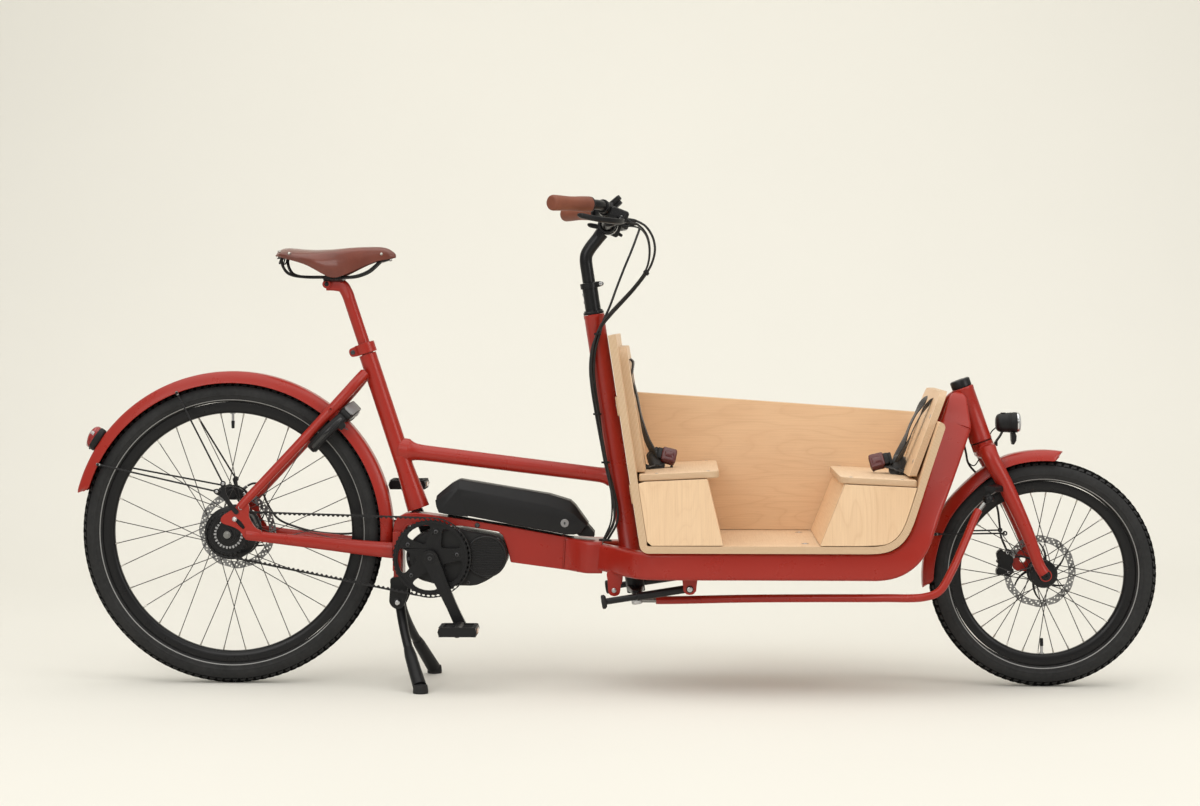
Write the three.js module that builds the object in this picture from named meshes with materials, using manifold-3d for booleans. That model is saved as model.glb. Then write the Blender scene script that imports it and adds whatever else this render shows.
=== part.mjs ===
// Front-loading cargo bike with a long low deck, a wooden child box with two facing
// benches (its right side open), linkage steering, mid drive and belt drive.
// Millimetres, +Z up, +X forward, +Y to the rider's left.  Z = 0 is the ground.
import * as THREE from 'three';
import { mergeVertices } from 'three/addons/utils/BufferGeometryUtils.js';
import Module from 'manifold-3d';

const wasm = await Module();
wasm.setup();

// ---------------------------------------------------------------- driving dimensions
const SHIFT_X = -0.5;                       // puts the middle of the length at X = 0
const REAR_AXLE = [-874, 347];              // X, Z
const FRONT_AXLE = [976, 258];
const REAR_TYRE_R = 347, FRONT_TYRE_R = 258, TYRE_W = 55;
const REAR_RIM_R = 299, REAR_RIM_IN = 274;  // 584 mm bead seat
const FRONT_RIM_R = 209, FRONT_RIM_IN = 185;// 406 mm bead seat
const SPOKES = 16;                         // pairs of spokes stand as one bar each
const CRANK_AXIS = [-413.8, 294.5], CRANK_LEN = 170, CRANK_ANGLE = 24.5; // from straight down, forward
const BELT_Y = -58, BELT_W = 11, RING_R = 86.5, COG_R = 48, BELT_T = 4.6, GAP = 0.4;
const SEAT_TILT = 18.2;                     // degrees back from vertical
const COLUMN_TILT = 8.71, COLUMN_AT = [36.5, 314.5];
const HEAD_TILT = 19.7, HEAD_AT = [836.6, 557.4];
const DECK_TOP = 320, DECK_BOTTOM = 259, RAIL_Y = 192, RAIL_W = 40;
const BOX_HALF = 225, PLY = 16;             // box half width, board thickness
const BAR_HALF = 320;
const ROD_ARM = 92;                         // steering arm reach to the right
const STAND_PIVOT = [174, 236], STAND_LEG = 194;
const KICK_PIVOT = [-493, 188.5];

// ---------------------------------------------------------------- helpers
const V = (x, y, z) => new THREE.Vector3(x, y, z);
const rad = d => d * Math.PI / 180;
const root = new THREE.Group();
root.position.x = SHIFT_X;

function volume(p, t) {
  let v = 0;
  for (let i = 0; i < t.length; i += 3) {
    const [a, b, c] = [p[t[i]], p[t[i + 1]], p[t[i + 2]]];
    v += a.dot(b.clone().cross(c));
  }
  return v / 6;
}
function solid(pts, tris) {
  if (volume(pts, tris) < 0) for (let i = 0; i < tris.length; i += 3) [tris[i], tris[i + 1]] = [tris[i + 1], tris[i]];
  const g = new THREE.BufferGeometry();
  g.setAttribute('position', new THREE.Float32BufferAttribute(pts.flatMap(p => [p.x, p.y, p.z]), 3));
  g.setIndex(tris);
  return g;
}
function capTris(ring, base) {
  // triangulate a planar ring of points
  const n = V(0, 0, 0);
  for (let i = 0; i < ring.length; i++) {
    const a = ring[i], b = ring[(i + 1) % ring.length];
    n.x += (a.y - b.y) * (a.z + b.z); n.y += (a.z - b.z) * (a.x + b.x); n.z += (a.x - b.x) * (a.y + b.y);
  }
  n.normalize();
  const u = Math.abs(n.x) < 0.9 ? V(1, 0, 0) : V(0, 1, 0);
  const e1 = u.cross(n).normalize(), e2 = n.clone().cross(e1);
  const flat = ring.map(p => new THREE.Vector2(p.dot(e1), p.dot(e2)));
  return THREE.ShapeUtils.triangulateShape(flat, []).flatMap(f => f.map(i => i + base));
}
// body through rings of equal count; closed = the last ring meets the first
function loft(rings, closed = false) {
  const m = rings[0].length, pts = rings.flat(), t = [], k = rings.length;
  for (let i = 0; i < (closed ? k : k - 1); i++) {
    const a = i * m, b = ((i + 1) % k) * m;
    for (let j = 0; j < m; j++) {
      const j2 = (j + 1) % m;
      t.push(a + j, b + j, b + j2, a + j, b + j2, a + j2);
    }
  }
  if (!closed) {
    const c0 = capTris(rings[0], 0), c1 = capTris(rings[k - 1], (k - 1) * m);
    // start cap must oppose the side winding, end cap must follow it
    const want = (c, flip) => {
      for (let i = 0; i < c.length; i += 3) t.push(...(flip ? [c[i], c[i + 2], c[i + 1]] : [c[i], c[i + 1], c[i + 2]]));
    };
    const n0 = ringNormal(rings[0]), s = triNormal(rings[0], c0, 0);
    want(c0, n0.dot(s) < 0);
    const n1 = ringNormal(rings[k - 1]), s1 = triNormal(rings[k - 1], c1, (k - 1) * m);
    want(c1, n1.dot(s1) > 0);
  }
  return solid(pts, t);
}
function ringNormal(r) {
  const n = V(0, 0, 0);
  for (let i = 0; i < r.length; i++) {
    const a = r[i], b = r[(i + 1) % r.length];
    n.x += (a.y - b.y) * (a.z + b.z); n.y += (a.z - b.z) * (a.x + b.x); n.z += (a.x - b.x) * (a.y + b.y);
  }
  return n;
}
function triNormal(r, c, base) {
  const s = V(0, 0, 0);
  for (let i = 0; i < c.length; i += 3) {
    const [a, b, d] = [r[c[i] - base], r[c[i + 1] - base], r[c[i + 2] - base]];
    s.add(b.clone().sub(a).cross(d.clone().sub(a)));
  }
  return s;
}
function smooth(pts, n, kind = 'centripetal') {
  return new THREE.CatmullRomCurve3(pts, false, kind).getSpacedPoints(n);
}
// sweep a section (list of [side, up] offsets, or a function of the station) along points
function sweep(path, section, { up = V(0, 0, 1), lateral = false, startN, endN } = {}) {
  const k = path.length;
  const rings = path.map((p, i) => {
    const t = V(0, 0, 0);
    if (i > 0) t.add(p.clone().sub(path[i - 1]).normalize());
    if (i < k - 1) t.add(path[i + 1].clone().sub(p).normalize());
    t.normalize();
    let side = lateral ? V(0, -1, 0).addScaledVector(t, t.y) : t.clone().cross(up);
    if (side.length() < 1e-3) side = t.clone().cross(V(1, 0, 0));
    side.normalize();
    const u = side.clone().cross(t).normalize();
    const sec = typeof section === 'function' ? section(i / (k - 1), i) : section;
    const n = i === 0 ? startN : i === k - 1 ? endN : null;
    return sec.map(([a, b]) => {
      const q = p.clone().addScaledVector(side, a).addScaledVector(u, b);
      if (n) q.addScaledVector(t, -q.clone().sub(p).dot(n) / t.dot(n));
      return q;
    });
  });
  return loft(rings);
}
const circle = (r, n = 12, ry = r) => Array.from({ length: n }, (_, i) => [r * Math.cos(2 * Math.PI * (i + 0.5) / n), ry * Math.sin(2 * Math.PI * (i + 0.5) / n)]);
const rrect = (w, h, c) => [[w / 2 - c, -h / 2], [w / 2, -h / 2 + c], [w / 2, h / 2 - c], [w / 2 - c, h / 2], [-w / 2 + c, h / 2], [-w / 2, h / 2 - c], [-w / 2, -h / 2 + c], [-w / 2 + c, -h / 2]];
const tube = (path, r, n = 12, o = {}) => sweep(path, typeof r === 'function' ? s => circle(r(s), n) : circle(r, n), o);
function box(x0, x1, y0, y1, z0, z1) {
  const g = new THREE.BoxGeometry(x1 - x0, y1 - y0, z1 - z0);
  g.translate((x0 + x1) / 2, (y0 + y1) / 2, (z0 + z1) / 2);
  return weld(g);
}
// outline in the X-Z plane pushed from y0 to y1
const plateY = (out, y0, y1) => loft([out.map(([x, z]) => V(x, y0, z)), out.map(([x, z]) => V(x, y1, z))]);
// outline in the Y-Z plane pushed along a slanted direction
function weld(g) {
  const h = g.index ? g.clone() : g;
  h.deleteAttribute('normal'); h.deleteAttribute('uv');
  return mergeVertices(h, 1e-4);
}
// turned body: profile of [radius, along]; closed loop, or starting and ending on the axis
function turn(profile, at, dir, n = 32, phase = 0) {
  const d = dir.clone().normalize();
  const e1 = (Math.abs(d.z) < 0.9 ? V(0, 0, 1) : V(1, 0, 0)).cross(d).normalize(), e2 = d.clone().cross(e1);
  const onAxis = profile[0][0] === 0 && profile[profile.length - 1][0] === 0;
  const pts = [], tris = [], m = profile.length;
  const idx = [];
  profile.forEach(([r, a], j) => {
    idx[j] = [];
    for (let i = 0; i < n; i++) {
      if (r === 0 && i > 0) { idx[j][i] = idx[j][0]; continue; }
      const an = 2 * Math.PI * (i / n) + phase;
      idx[j][i] = pts.length;
      pts.push(at.clone().addScaledVector(d, a).addScaledVector(e1, r * Math.cos(an)).addScaledVector(e2, r * Math.sin(an)));
    }
  });
  for (let j = 0; j < (onAxis ? m - 1 : m); j++) {
    const j2 = (j + 1) % m;
    for (let i = 0; i < n; i++) {
      const i2 = (i + 1) % n;
      const [a, b, c, e] = [idx[j][i], idx[j2][i], idx[j2][i2], idx[j][i2]];
      if (b !== c) tris.push(a, b, c);
      if (a !== e) tris.push(a, c, e);
    }
  }
  return solid(pts, tris);
}
const rod = (a, b, r, n = 10, r2 = r) => {
  const L = a.distanceTo(b);
  return turn([[0, 0], [r, 0], [r2, L], [0, L]], a, b.clone().sub(a), n, Math.PI / n);
};
function man(g) {
  const w = weld(g);
  return new wasm.Manifold(new wasm.Mesh({ numProp: 3, vertProperties: new Float32Array(w.attributes.position.array), triVerts: new Uint32Array(w.index.array) }));
}
function unman(m) {
  const o = m.getMesh(), g = new THREE.BufferGeometry();
  g.setAttribute('position', new THREE.Float32BufferAttribute(Array.from(o.vertProperties), 3));
  g.setIndex(Array.from(o.triVerts));
  return g;
}
const join = (...gs) => unman(gs.slice(1).reduce((a, g) => a.add(man(g)), man(gs[0])));
const cut = (g, ...hs) => unman(hs.reduce((a, h) => a.subtract(man(h)), man(g)));
const mirrorY = g => {
  const h = g.clone().scale(1, -1, 1), i = Array.from(h.index.array);
  for (let k = 0; k < i.length; k += 3) [i[k], i[k + 1]] = [i[k + 1], i[k]];
  h.setIndex(i);
  return h;
};
function piece(name, g, color, roughness = 0.5, metalness = 0) {
  const m = new THREE.Mesh(g, new THREE.MeshStandardMaterial({ color, roughness, metalness }));
  m.name = name;
  root.add(m);
  return m;
}
const RED = 0xb03a2e, BLACK = 0x1c1c1e, WOOD = 0xd9c29c, RUBBER = 0x202022, STEEL = 0xb8bcc0, LEATHER = 0x6b3a22, GRIP = 0x9a6440;

// unit vectors and points along the three tilted tubes
const dirOf = tilt => V(-Math.sin(rad(tilt)), 0, Math.cos(rad(tilt)));
const seatDir = dirOf(SEAT_TILT), colDir = dirOf(COLUMN_TILT), headDir = dirOf(HEAD_TILT);
const atZ = (p, d, z, y = 0) => V(p[0] + (z - p[1]) * d.x / d.z, y, z);
const seatAt = z => atZ([-412, 294.5], seatDir, z);
const colAt = z => atZ(COLUMN_AT, colDir, z);
const headAt = z => atZ(HEAD_AT, headDir, z);

// ---------------------------------------------------------------- frame
// central beam: hooks over and behind the drive unit, wider head at the front
{
  const hook = plateY([[-70, 334], [-234, 362], [-425, 391], [-470, 393], [-502, 376], [-502, 244], [-481, 244], [-481, 356], [-470, 366], [-345, 364], [-254, 349], [-236, 300], [-234, 281.4], [-104, 264], [-70, 261]], -30, 30);
  const yoke = box(-502, -483, -48, 48, 262, 352);
  const head = loft([
    [V(-106, -30, 264), V(-106, 30, 264), V(-106, 30, 340), V(-106, -30, 340)],
    [V(-60, -72, 260), V(-60, 72, 260), V(-60, 72, 333), V(-60, -72, 333)]]);
  const cross = box(-60.5, -24, -72, 72, 260, 332);
  const rail = loft([
    [V(-380, -9, 380), V(-380, 9, 380), V(-380, 9, 388.6), V(-380, -9, 388.6)],
    [V(-90, -9, 334), V(-90, 9, 334), V(-90, 9, 338), V(-90, -9, 338)]]);
  piece('rear_beam', join(hook, yoke, head, cross, rail), RED, 0.45);
}
// deck side rails: flare out from the beam, run forward, sweep up and close in on the head tube
const railPath = s => {
  const ctrl = [V(-23.5, -52, 296), V(12, -92, 293), V(42, -140, 290.5), V(76, -180, 289.5), V(130, -RAIL_Y, 289.5), V(320, -RAIL_Y, 289.5), V(520, -RAIL_Y, 289.5), V(560, -RAIL_Y, 289.5), V(592, -RAIL_Y, 289.8),
    V(625.6, -191, 296.6), V(655, -188, 315), V(675.5, -182, 341), V(689, -174, 371), V(703.6, -157, 414), V(720.5, -136, 457.3), V(746.3, -97, 525), V(771.5, -56, 594.5)];
  return smooth(ctrl, 26).map(p => V(p.x, p.y * s, p.z));
};
// depth of the rail: shallower through the bend, deeper towards the head tube
const railDepth = p => p.z < 291 ? 60.4 : p.z < 372 ? 60.4 - 10.4 * (p.z - 291) / 81 : 50 + 20 * Math.min(1, (p.z - 372) / 222);
for (const [side, s] of [['right', 1], ['left', -1]])
  {
  const path = railPath(s);
  piece('deck_rail_' + side, sweep(path, (t, i) => rrect(RAIL_W * (t > 0.75 ? 1 - (t - 0.75) * 1.2 : 1), railDepth(path[i]), 6), { lateral: true, startN: V(1, 0, 0) }), RED, 0.45);
}
// ladder between the rails: two cross tubes, a centre spine, lugs that carry the folding stand
{
  const y = RAIL_Y - RAIL_W / 2 - GAP;
  const parts = [box(160, 200, -y, y, 268, 308), box(520, 560, -y, y, 268, 308), box(199, 521, -25, 25, 272, 304)];
  for (const s of [-1, 1]) {
    parts.push(box(158, 190, s * 167.5 - 3.5, s * 167.5 + 3.5, 224, 270));
  }
  let lad = join(...parts);
  lad = cut(lad, rod(V(STAND_PIVOT[0], -200, STAND_PIVOT[1]), V(STAND_PIVOT[0], 200, STAND_PIVOT[1]), 8.6, 16));
  piece('deck_crossmembers', lad, RED, 0.45);
}
// front head tube; its two shoulders carry the rails on up to the tube
{
  const outer = rod(headAt(558.2), headAt(680), 25, 24);
  const shoulder = s => {
    const path = railPath(s), e = path[path.length - 1], t = e.clone().sub(path[path.length - 2]).normalize();
    return sweep([e.clone().addScaledVector(t, 0.35), V(777, -37 * s, 633), V(783, -21 * s, 669)], u => rrect(28 - 12 * u, 70 - 34 * u, 6 - 2 * u), { lateral: true, startN: t });
  };
  const bore = rod(headAt(540), headAt(700), 15.2, 20);
  piece('front_head_tube', cut(join(outer, shoulder(1), shoulder(-1)), bore), RED, 0.45);
}
// steering column tube, through the front of the beam
{
  const outer = rod(colAt(262), colAt(846), 23, 24);
  piece('steering_tube', cut(outer, rod(colAt(240), colAt(870), 15.2, 20)), RED, 0.45);
}
// top tube between seat tube and steering tube
{
  const a = V(seatAt(536.5).x, 0, 536.5), b = V(colAt(474.6).x, 0, 474.6);
  const t = rod(a, b, 18, 20, 17);
  piece('top_tube', cut(t, rod(seatAt(300), seatAt(800), 20.4, 24), rod(colAt(300), colAt(900), 23.4, 24)), RED, 0.45);
}
// seat tube with clamp collar
{
  const body = turn([[0, 0], [27, 0], [24, 30], [20, 95], [20, 374], [22.5, 375], [22.5, 398], [0, 398]], seatAt(393.4 + 9), seatDir, 24);
  const ear = box(-10, 14, -11, 11, 0, 18);
  ear.applyMatrix4(new THREE.Matrix4().makeRotationY(rad(-SEAT_TILT)).setPosition(seatAt(762)));
  const earC = ear.clone().translate(-26 * Math.cos(rad(SEAT_TILT)), 0, -26 * Math.sin(rad(SEAT_TILT)));
  const bore = rod(seatAt(538), seatAt(810), 14.1, 20);
  const slit = box(-60, 0, -1.5, 1.5, -16, 60);
  slit.applyMatrix4(new THREE.Matrix4().makeRotationY(rad(-SEAT_TILT)).setPosition(seatAt(769)));
  piece('seat_tube', cut(join(body, earC), bore, slit), RED, 0.45);
}
// seat stays with their bridge
{
  const side = s => tube(smooth([V(-574, -24 * s, 704), V(-590, -38 * s, 686), V(-612, -47 * s, 661), V(-700, -54 * s, 566), V(-790, -66 * s, 470), V(-833, -74 * s, 424)], 9), t => 12.5 - 2.5 * t, 10);
  const bridge = rod(V(-606, -46, 668), V(-606, 46, 668), 8, 10);
  const g = join(side(1), side(-1), bridge);
  piece('seat_stays', cut(g, rod(seatAt(600), seatAt(900), 20.5, 24)), RED, 0.45);
}
// chain stays with their drop-out plates
for (const [side, s] of [['right', 1], ['left', -1]]) {
  const stay = sweep(smooth([V(-502.4, -41 * s, 309), V(-560, -41.5 * s, 314), V(-660, -47 * s, 325), V(-760, -65 * s, 337), V(-818, -75 * s, 345), V(-836, -75.5 * s, 347)], 9), circle(8, 10, 15), { startN: V(1, 0, 0) });
  const plate = plateY([[-889, 377], [-894, 352], [-888, 331], [-868, 322], [-840, 325], [-816, 334], [-812, 356], [-826, 380], [-831, 412], [-840, 426], [-856, 422], [-862, 400], [-872, 388]], -s * 71, -s * 79);
  const lug = plateY([[-824, 446], [-852, 424], [-848, 404], [-830, 398]], -s * 71, -s * 79);
  const hole = rod(V(REAR_AXLE[0], -s * 60, REAR_AXLE[1]), V(REAR_AXLE[0], -s * 90, REAR_AXLE[1]), 8, 16);
  let g = cut(join(stay, plate), hole);
  if (s === 1) g = cut(g, box(-846, -842.5, -90, -60, 384, 388));
  piece('chain_stay_' + side, cut(g, tube(smooth([V(-790, -66 * s, 470), V(-833, -74 * s, 424), V(-846, -76 * s, 410)], 4), 10.8, 12)), RED, 0.45);
}

// ---------------------------------------------------------------- drive unit, battery
{
  const n = 40, out = [];
  const bb = V(CRANK_AXIS[0], 0, CRANK_AXIS[1]);
  for (let i = 0; i <= 14; i++) { const a = rad(100 + i * 160 / 14); out.push([bb.x + 58 * Math.cos(a), bb.z + 58 * Math.sin(a)]); }
  out.push([-349, 229], [-310, 229], [-276, 247], [-262, 258], [-244, 280], [-241, 300], [-257, 342], [-268, 345], [-347, 358]);
  const bodyG = plateY(out, -44, 46);
  const disc = turn([[0, 0], [48, 0], [48, 6], [44, 8.4], [0, 8.4]], V(-289, -43, 296), V(0, -1, 0), 32);
  const boss = turn([[0, 0], [34, 0], [30, 8], [0, 8]], V(bb.x, 45, bb.z), V(0, 1, 0), 24);
  const g = join(bodyG, disc, boss);
  piece('drive_unit', cut(g, rod(V(bb.x, -80, bb.z), V(bb.x, 80, bb.z), 11.6, 20)), BLACK, 0.5);
}
piece('battery', join(
  plateY([[-403, 434], [-390, 448], [-370, 461], [-352, 471], [-146, 437], [-93, 421], [-56, 369], [-76, 346.5], [-106, 343.5], [-347, 389], [-396, 396], [-402, 410]], -42, 42),
  plateY([[-60, 372], [-43, 352], [-43, 339], [-80, 341.5], [-84, 348]], -30, 30)), BLACK, 0.45);

// ---------------------------------------------------------------- wheels
function tyre(c, R, bead) {
  const w = TYRE_W / 2, m = R - w, p = [];
  for (let i = 0; i <= 6; i++) { const a = rad(-132 + i * 264 / 6); p.push([m + w * Math.cos(a), w * Math.sin(a)]); }
  p.push([bead, 12.5], [bead, -12.5]);
  return turn(p, V(c[0], 0, c[1]), V(0, 1, 0), 36);
}
function spoked(c, rimR, rimIn, hubR, flangeY, hubProfile, phase) {
  const at = V(c[0], 0, c[1]);
  const rim = turn([[rimIn, -7], [rimIn + 6, -11.8], [rimR, -11.8], [rimIn + 12, 0], [rimR, 11.8], [rimIn + 6, 11.8], [rimIn, 7]], at, V(0, 1, 0), 36);
  const hub = turn(hubProfile, at, V(0, 1, 0), 20);
  const sp = [];
  for (let i = 0; i < SPOKES; i++) {
    const a = 2 * Math.PI * (i + 0.5) / SPOKES + phase, s = i % 2 ? 1 : -1;
    const lead = 0;
    const h = V(at.x + (hubR - 3) * Math.cos(a + lead), s * flangeY, at.z + (hubR - 3) * Math.sin(a + lead));
    const r = V(at.x + (rimIn + 4) * Math.cos(a), s * 2.5, at.z + (rimIn + 4) * Math.sin(a));
    sp.push(rod(h, r, 1.4, 4));
  }
  return join(rim, hub, ...sp);
}
const LOCK_ANGLE = 45.3;
piece('rear_tyre', tyre(REAR_AXLE, REAR_TYRE_R, REAR_RIM_R + 0.4), RUBBER, 0.85);
piece('rear_wheel', spoked(REAR_AXLE, REAR_RIM_R, REAR_RIM_IN, 61, 26,
  [[0, -69], [7, -69], [7, -51], [24, -51], [56, -42], [61, -30], [61, 30], [54, 38], [26, 48.6], [7, 48.6], [7, 69], [0, 69]], rad(LOCK_ANGLE)), BLACK, 0.5, 0.3);
piece('front_tyre', tyre(FRONT_AXLE, FRONT_TYRE_R, FRONT_RIM_R + 0.4), RUBBER, 0.85);
piece('front_wheel', spoked(FRONT_AXLE, FRONT_RIM_R, FRONT_RIM_IN, 31, 26,
  [[0, -49], [7, -49], [7, -34], [31, -29], [31, -23], [23, -20], [23, 20], [31, 23], [31, 29], [22, 39.4], [7, 39.4], [7, 49], [0, 49]], 0.05), BLACK, 0.5, 0.3);
// brake rotors with openings, on the left
function rotor(c, R, y, bore) {
  const at = V(c[0], y, c[1]);
  let g = turn([[bore, -1], [R, -1], [R, 1], [bore, 1]], at, V(0, 1, 0), 28);
  const holes = [];
  for (let i = 0; i < 5; i++) {
    const a = 2 * Math.PI * i / 5, o = [];
    const r0 = bore + 8, r1 = R - 17;
    for (const [r, da] of [[r0, 0.40], [r1, 0.50], [r1, 0], [r1, -0.50], [r0, -0.40]]) o.push([at.x + r * Math.cos(a + da), at.z + r * Math.sin(a + da)]);
    holes.push(plateY(o, y - 5, y + 5));
  }
  return cut(g, ...holes);
}
piece('rear_rotor', rotor(REAR_AXLE, 90, 53, 8), STEEL, 0.3, 0.9);
piece('front_rotor', rotor(FRONT_AXLE, 83, 42, 8), STEEL, 0.3, 0.9);
piece('rear_cog', turn([[8, -6.5], [COG_R, -6.5], [COG_R, 6.5], [8, 6.5]], V(REAR_AXLE[0], BELT_Y, REAR_AXLE[1]), V(0, 1, 0), 28), STEEL, 0.4, 0.8);

// ---------------------------------------------------------------- belt drive
{
  const A = CRANK_AXIS, B = REAR_AXLE, ri = [RING_R + GAP, COG_R + GAP], out = [];
  const dx = B[0] - A[0], dz = B[1] - A[1], D = Math.hypot(dx, dz), base = Math.atan2(dz, dx);
  const loop = off => {
    const RA = ri[0] + off, RB = ri[1] + off, tan = Math.acos((RA - RB) / D), pts = [];
    for (let i = 0; i <= 22; i++) { const a = base + tan + (2 * Math.PI - 2 * tan) * i / 22; pts.push([A[0] + RA * Math.cos(a), A[1] + RA * Math.sin(a)]); }
    for (let i = 0; i <= 14; i++) { const a = base - tan + 2 * tan * i / 14; pts.push([B[0] + RB * Math.cos(a), B[1] + RB * Math.sin(a)]); }
    return pts;
  };
  const o = loop(BELT_T), n = loop(1.2);
  const ring = (p, y) => p.map(([x, z]) => V(x, y, z));
  const y0 = BELT_Y - BELT_W / 2, y1 = BELT_Y + BELT_W / 2, m = o.length;
  const rings = [ring(o, y0), ring(o, y1), ring(n, y1), ring(n, y0)];
  piece('drive_belt', loft(Array.from({ length: m }, (_, i) => rings.map(r => r[i])), true), BLACK, 0.7);
}
{
  const [cx, cz] = CRANK_AXIS;
  let g = turn([[17, -5], [RING_R, -5], [RING_R, 5], [17, 5]], V(cx, BELT_Y, cz), V(0, 1, 0), 40);
  const holes = [];
  for (let i = 0; i < 5; i++) {
    const a = rad(CRANK_ANGLE - 90 + 36 + 72 * i), o = [];
    for (const [r, d] of [[32, 0], [40, -0.30], [72, -0.44], [75, -0.2], [76, 0], [75, 0.2], [72, 0.44], [40, 0.30]]) o.push([cx + r * Math.cos(a + d), cz + r * Math.sin(a + d)]);
    holes.push(plateY(o, BELT_Y - 12, BELT_Y + 12));
  }
  piece('chainring', cut(g, ...holes), BLACK, 0.45, 0.4);
}
const pedalAxis = s => [CRANK_AXIS[0] + s * CRANK_LEN * Math.sin(rad(CRANK_ANGLE)), CRANK_AXIS[1] - s * CRANK_LEN * Math.cos(rad(CRANK_ANGLE))];
function crankArm(s, y0, y1) {
  const [px, pz] = pedalAxis(s), [cx, cz] = CRANK_AXIS;
  const a = Math.atan2(pz - cz, px - cx), out = [];
  for (let i = 0; i <= 8; i++) { const t = a + Math.PI / 2 + Math.PI * i / 8; out.push([cx + 18 * Math.cos(t), cz + 18 * Math.sin(t)]); }
  for (let i = 0; i <= 8; i++) { const t = a - Math.PI / 2 + Math.PI * i / 8; out.push([px + 13.5 * Math.cos(t), pz + 13.5 * Math.sin(t)]); }
  return plateY(out, y0, y1);
}
piece('crank_right', cut(join(crankArm(1, -83, -69), rod(V(CRANK_AXIS[0], -70, CRANK_AXIS[1]), V(CRANK_AXIS[0], -52.5, CRANK_AXIS[1]), 16.5, 20),
  rod(V(CRANK_AXIS[0], -53, CRANK_AXIS[1]), V(CRANK_AXIS[0], 68.6, CRANK_AXIS[1]), 11, 12)),
  rod(V(pedalAxis(1)[0], -90, pedalAxis(1)[1]), V(pedalAxis(1)[0], -60, pedalAxis(1)[1]), 7.4, 14)), BLACK, 0.45, 0.3);
piece('crank_left', cut(crankArm(-1, 69, 83), rod(V(pedalAxis(-1)[0], 90, pedalAxis(-1)[1]), V(pedalAxis(-1)[0], 60, pedalAxis(-1)[1]), 7.4, 14)), BLACK, 0.45, 0.3);
for (const [side, s, k] of [['right', -1, 1], ['left', 1, -1]]) {
  const [px, pz] = pedalAxis(k);
  const b = y => s * y;
  const yy = (a, c) => [Math.min(b(a), b(c)), Math.max(b(a), b(c))];
  const [f0, f1] = yy(96, 188), [c0, c1] = yy(88, 190);
  const body = loft([
    [V(px - 44, f0, pz - 8), V(px - 38, f0, pz + 11), V(px + 38, f0, pz + 11), V(px + 44, f0, pz - 8), V(px + 38, f0, pz - 11), V(px - 38, f0, pz - 11)],
    [V(px - 44, f1, pz - 8), V(px - 38, f1, pz + 11), V(px + 38, f1, pz + 11), V(px + 44, f1, pz - 8), V(px + 38, f1, pz - 11), V(px - 38, f1, pz - 11)]]);
  const ax = rod(V(px, s * 71, pz), V(px, s * 100, pz), 7, 12);
  const h1 = box(px - 32, px - 13, ...yy(106, 178), pz - 20, pz + 20), h2 = box(px + 13, px + 32, ...yy(106, 178), pz - 20, pz + 20);
  piece('pedal_' + side, cut(join(body, ax), h1, h2), BLACK, 0.6);
}

// ---------------------------------------------------------------- brakes
{
  const c = V(-884, 53, 433);
  const g = box(c.x - 36, c.x + 36, 36, 67, 417, 450);
  piece('rear_caliper', join(cut(g, box(c.x - 60, c.x + 60, 50.6, 55.4, 400, 441)), box(-861, -849, 57, 70.6, 408, 421)), BLACK, 0.45, 0.4);
  const f = plateY([[877, 250], [906, 247], [918, 262], [913, 306], [890, 309], [876, 300]], 31, 55);
  const slot = turn([[0, -2.4], [87, -2.4], [87, 2.4], [0, 2.4]], V(FRONT_AXLE[0], 42, FRONT_AXLE[1]), V(0, 1, 0), 40);
  const lug = box(899, 915, 46, 55, 262, 300);
  piece('front_caliper', cut(join(f, lug), slot), BLACK, 0.45, 0.4);
}

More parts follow.
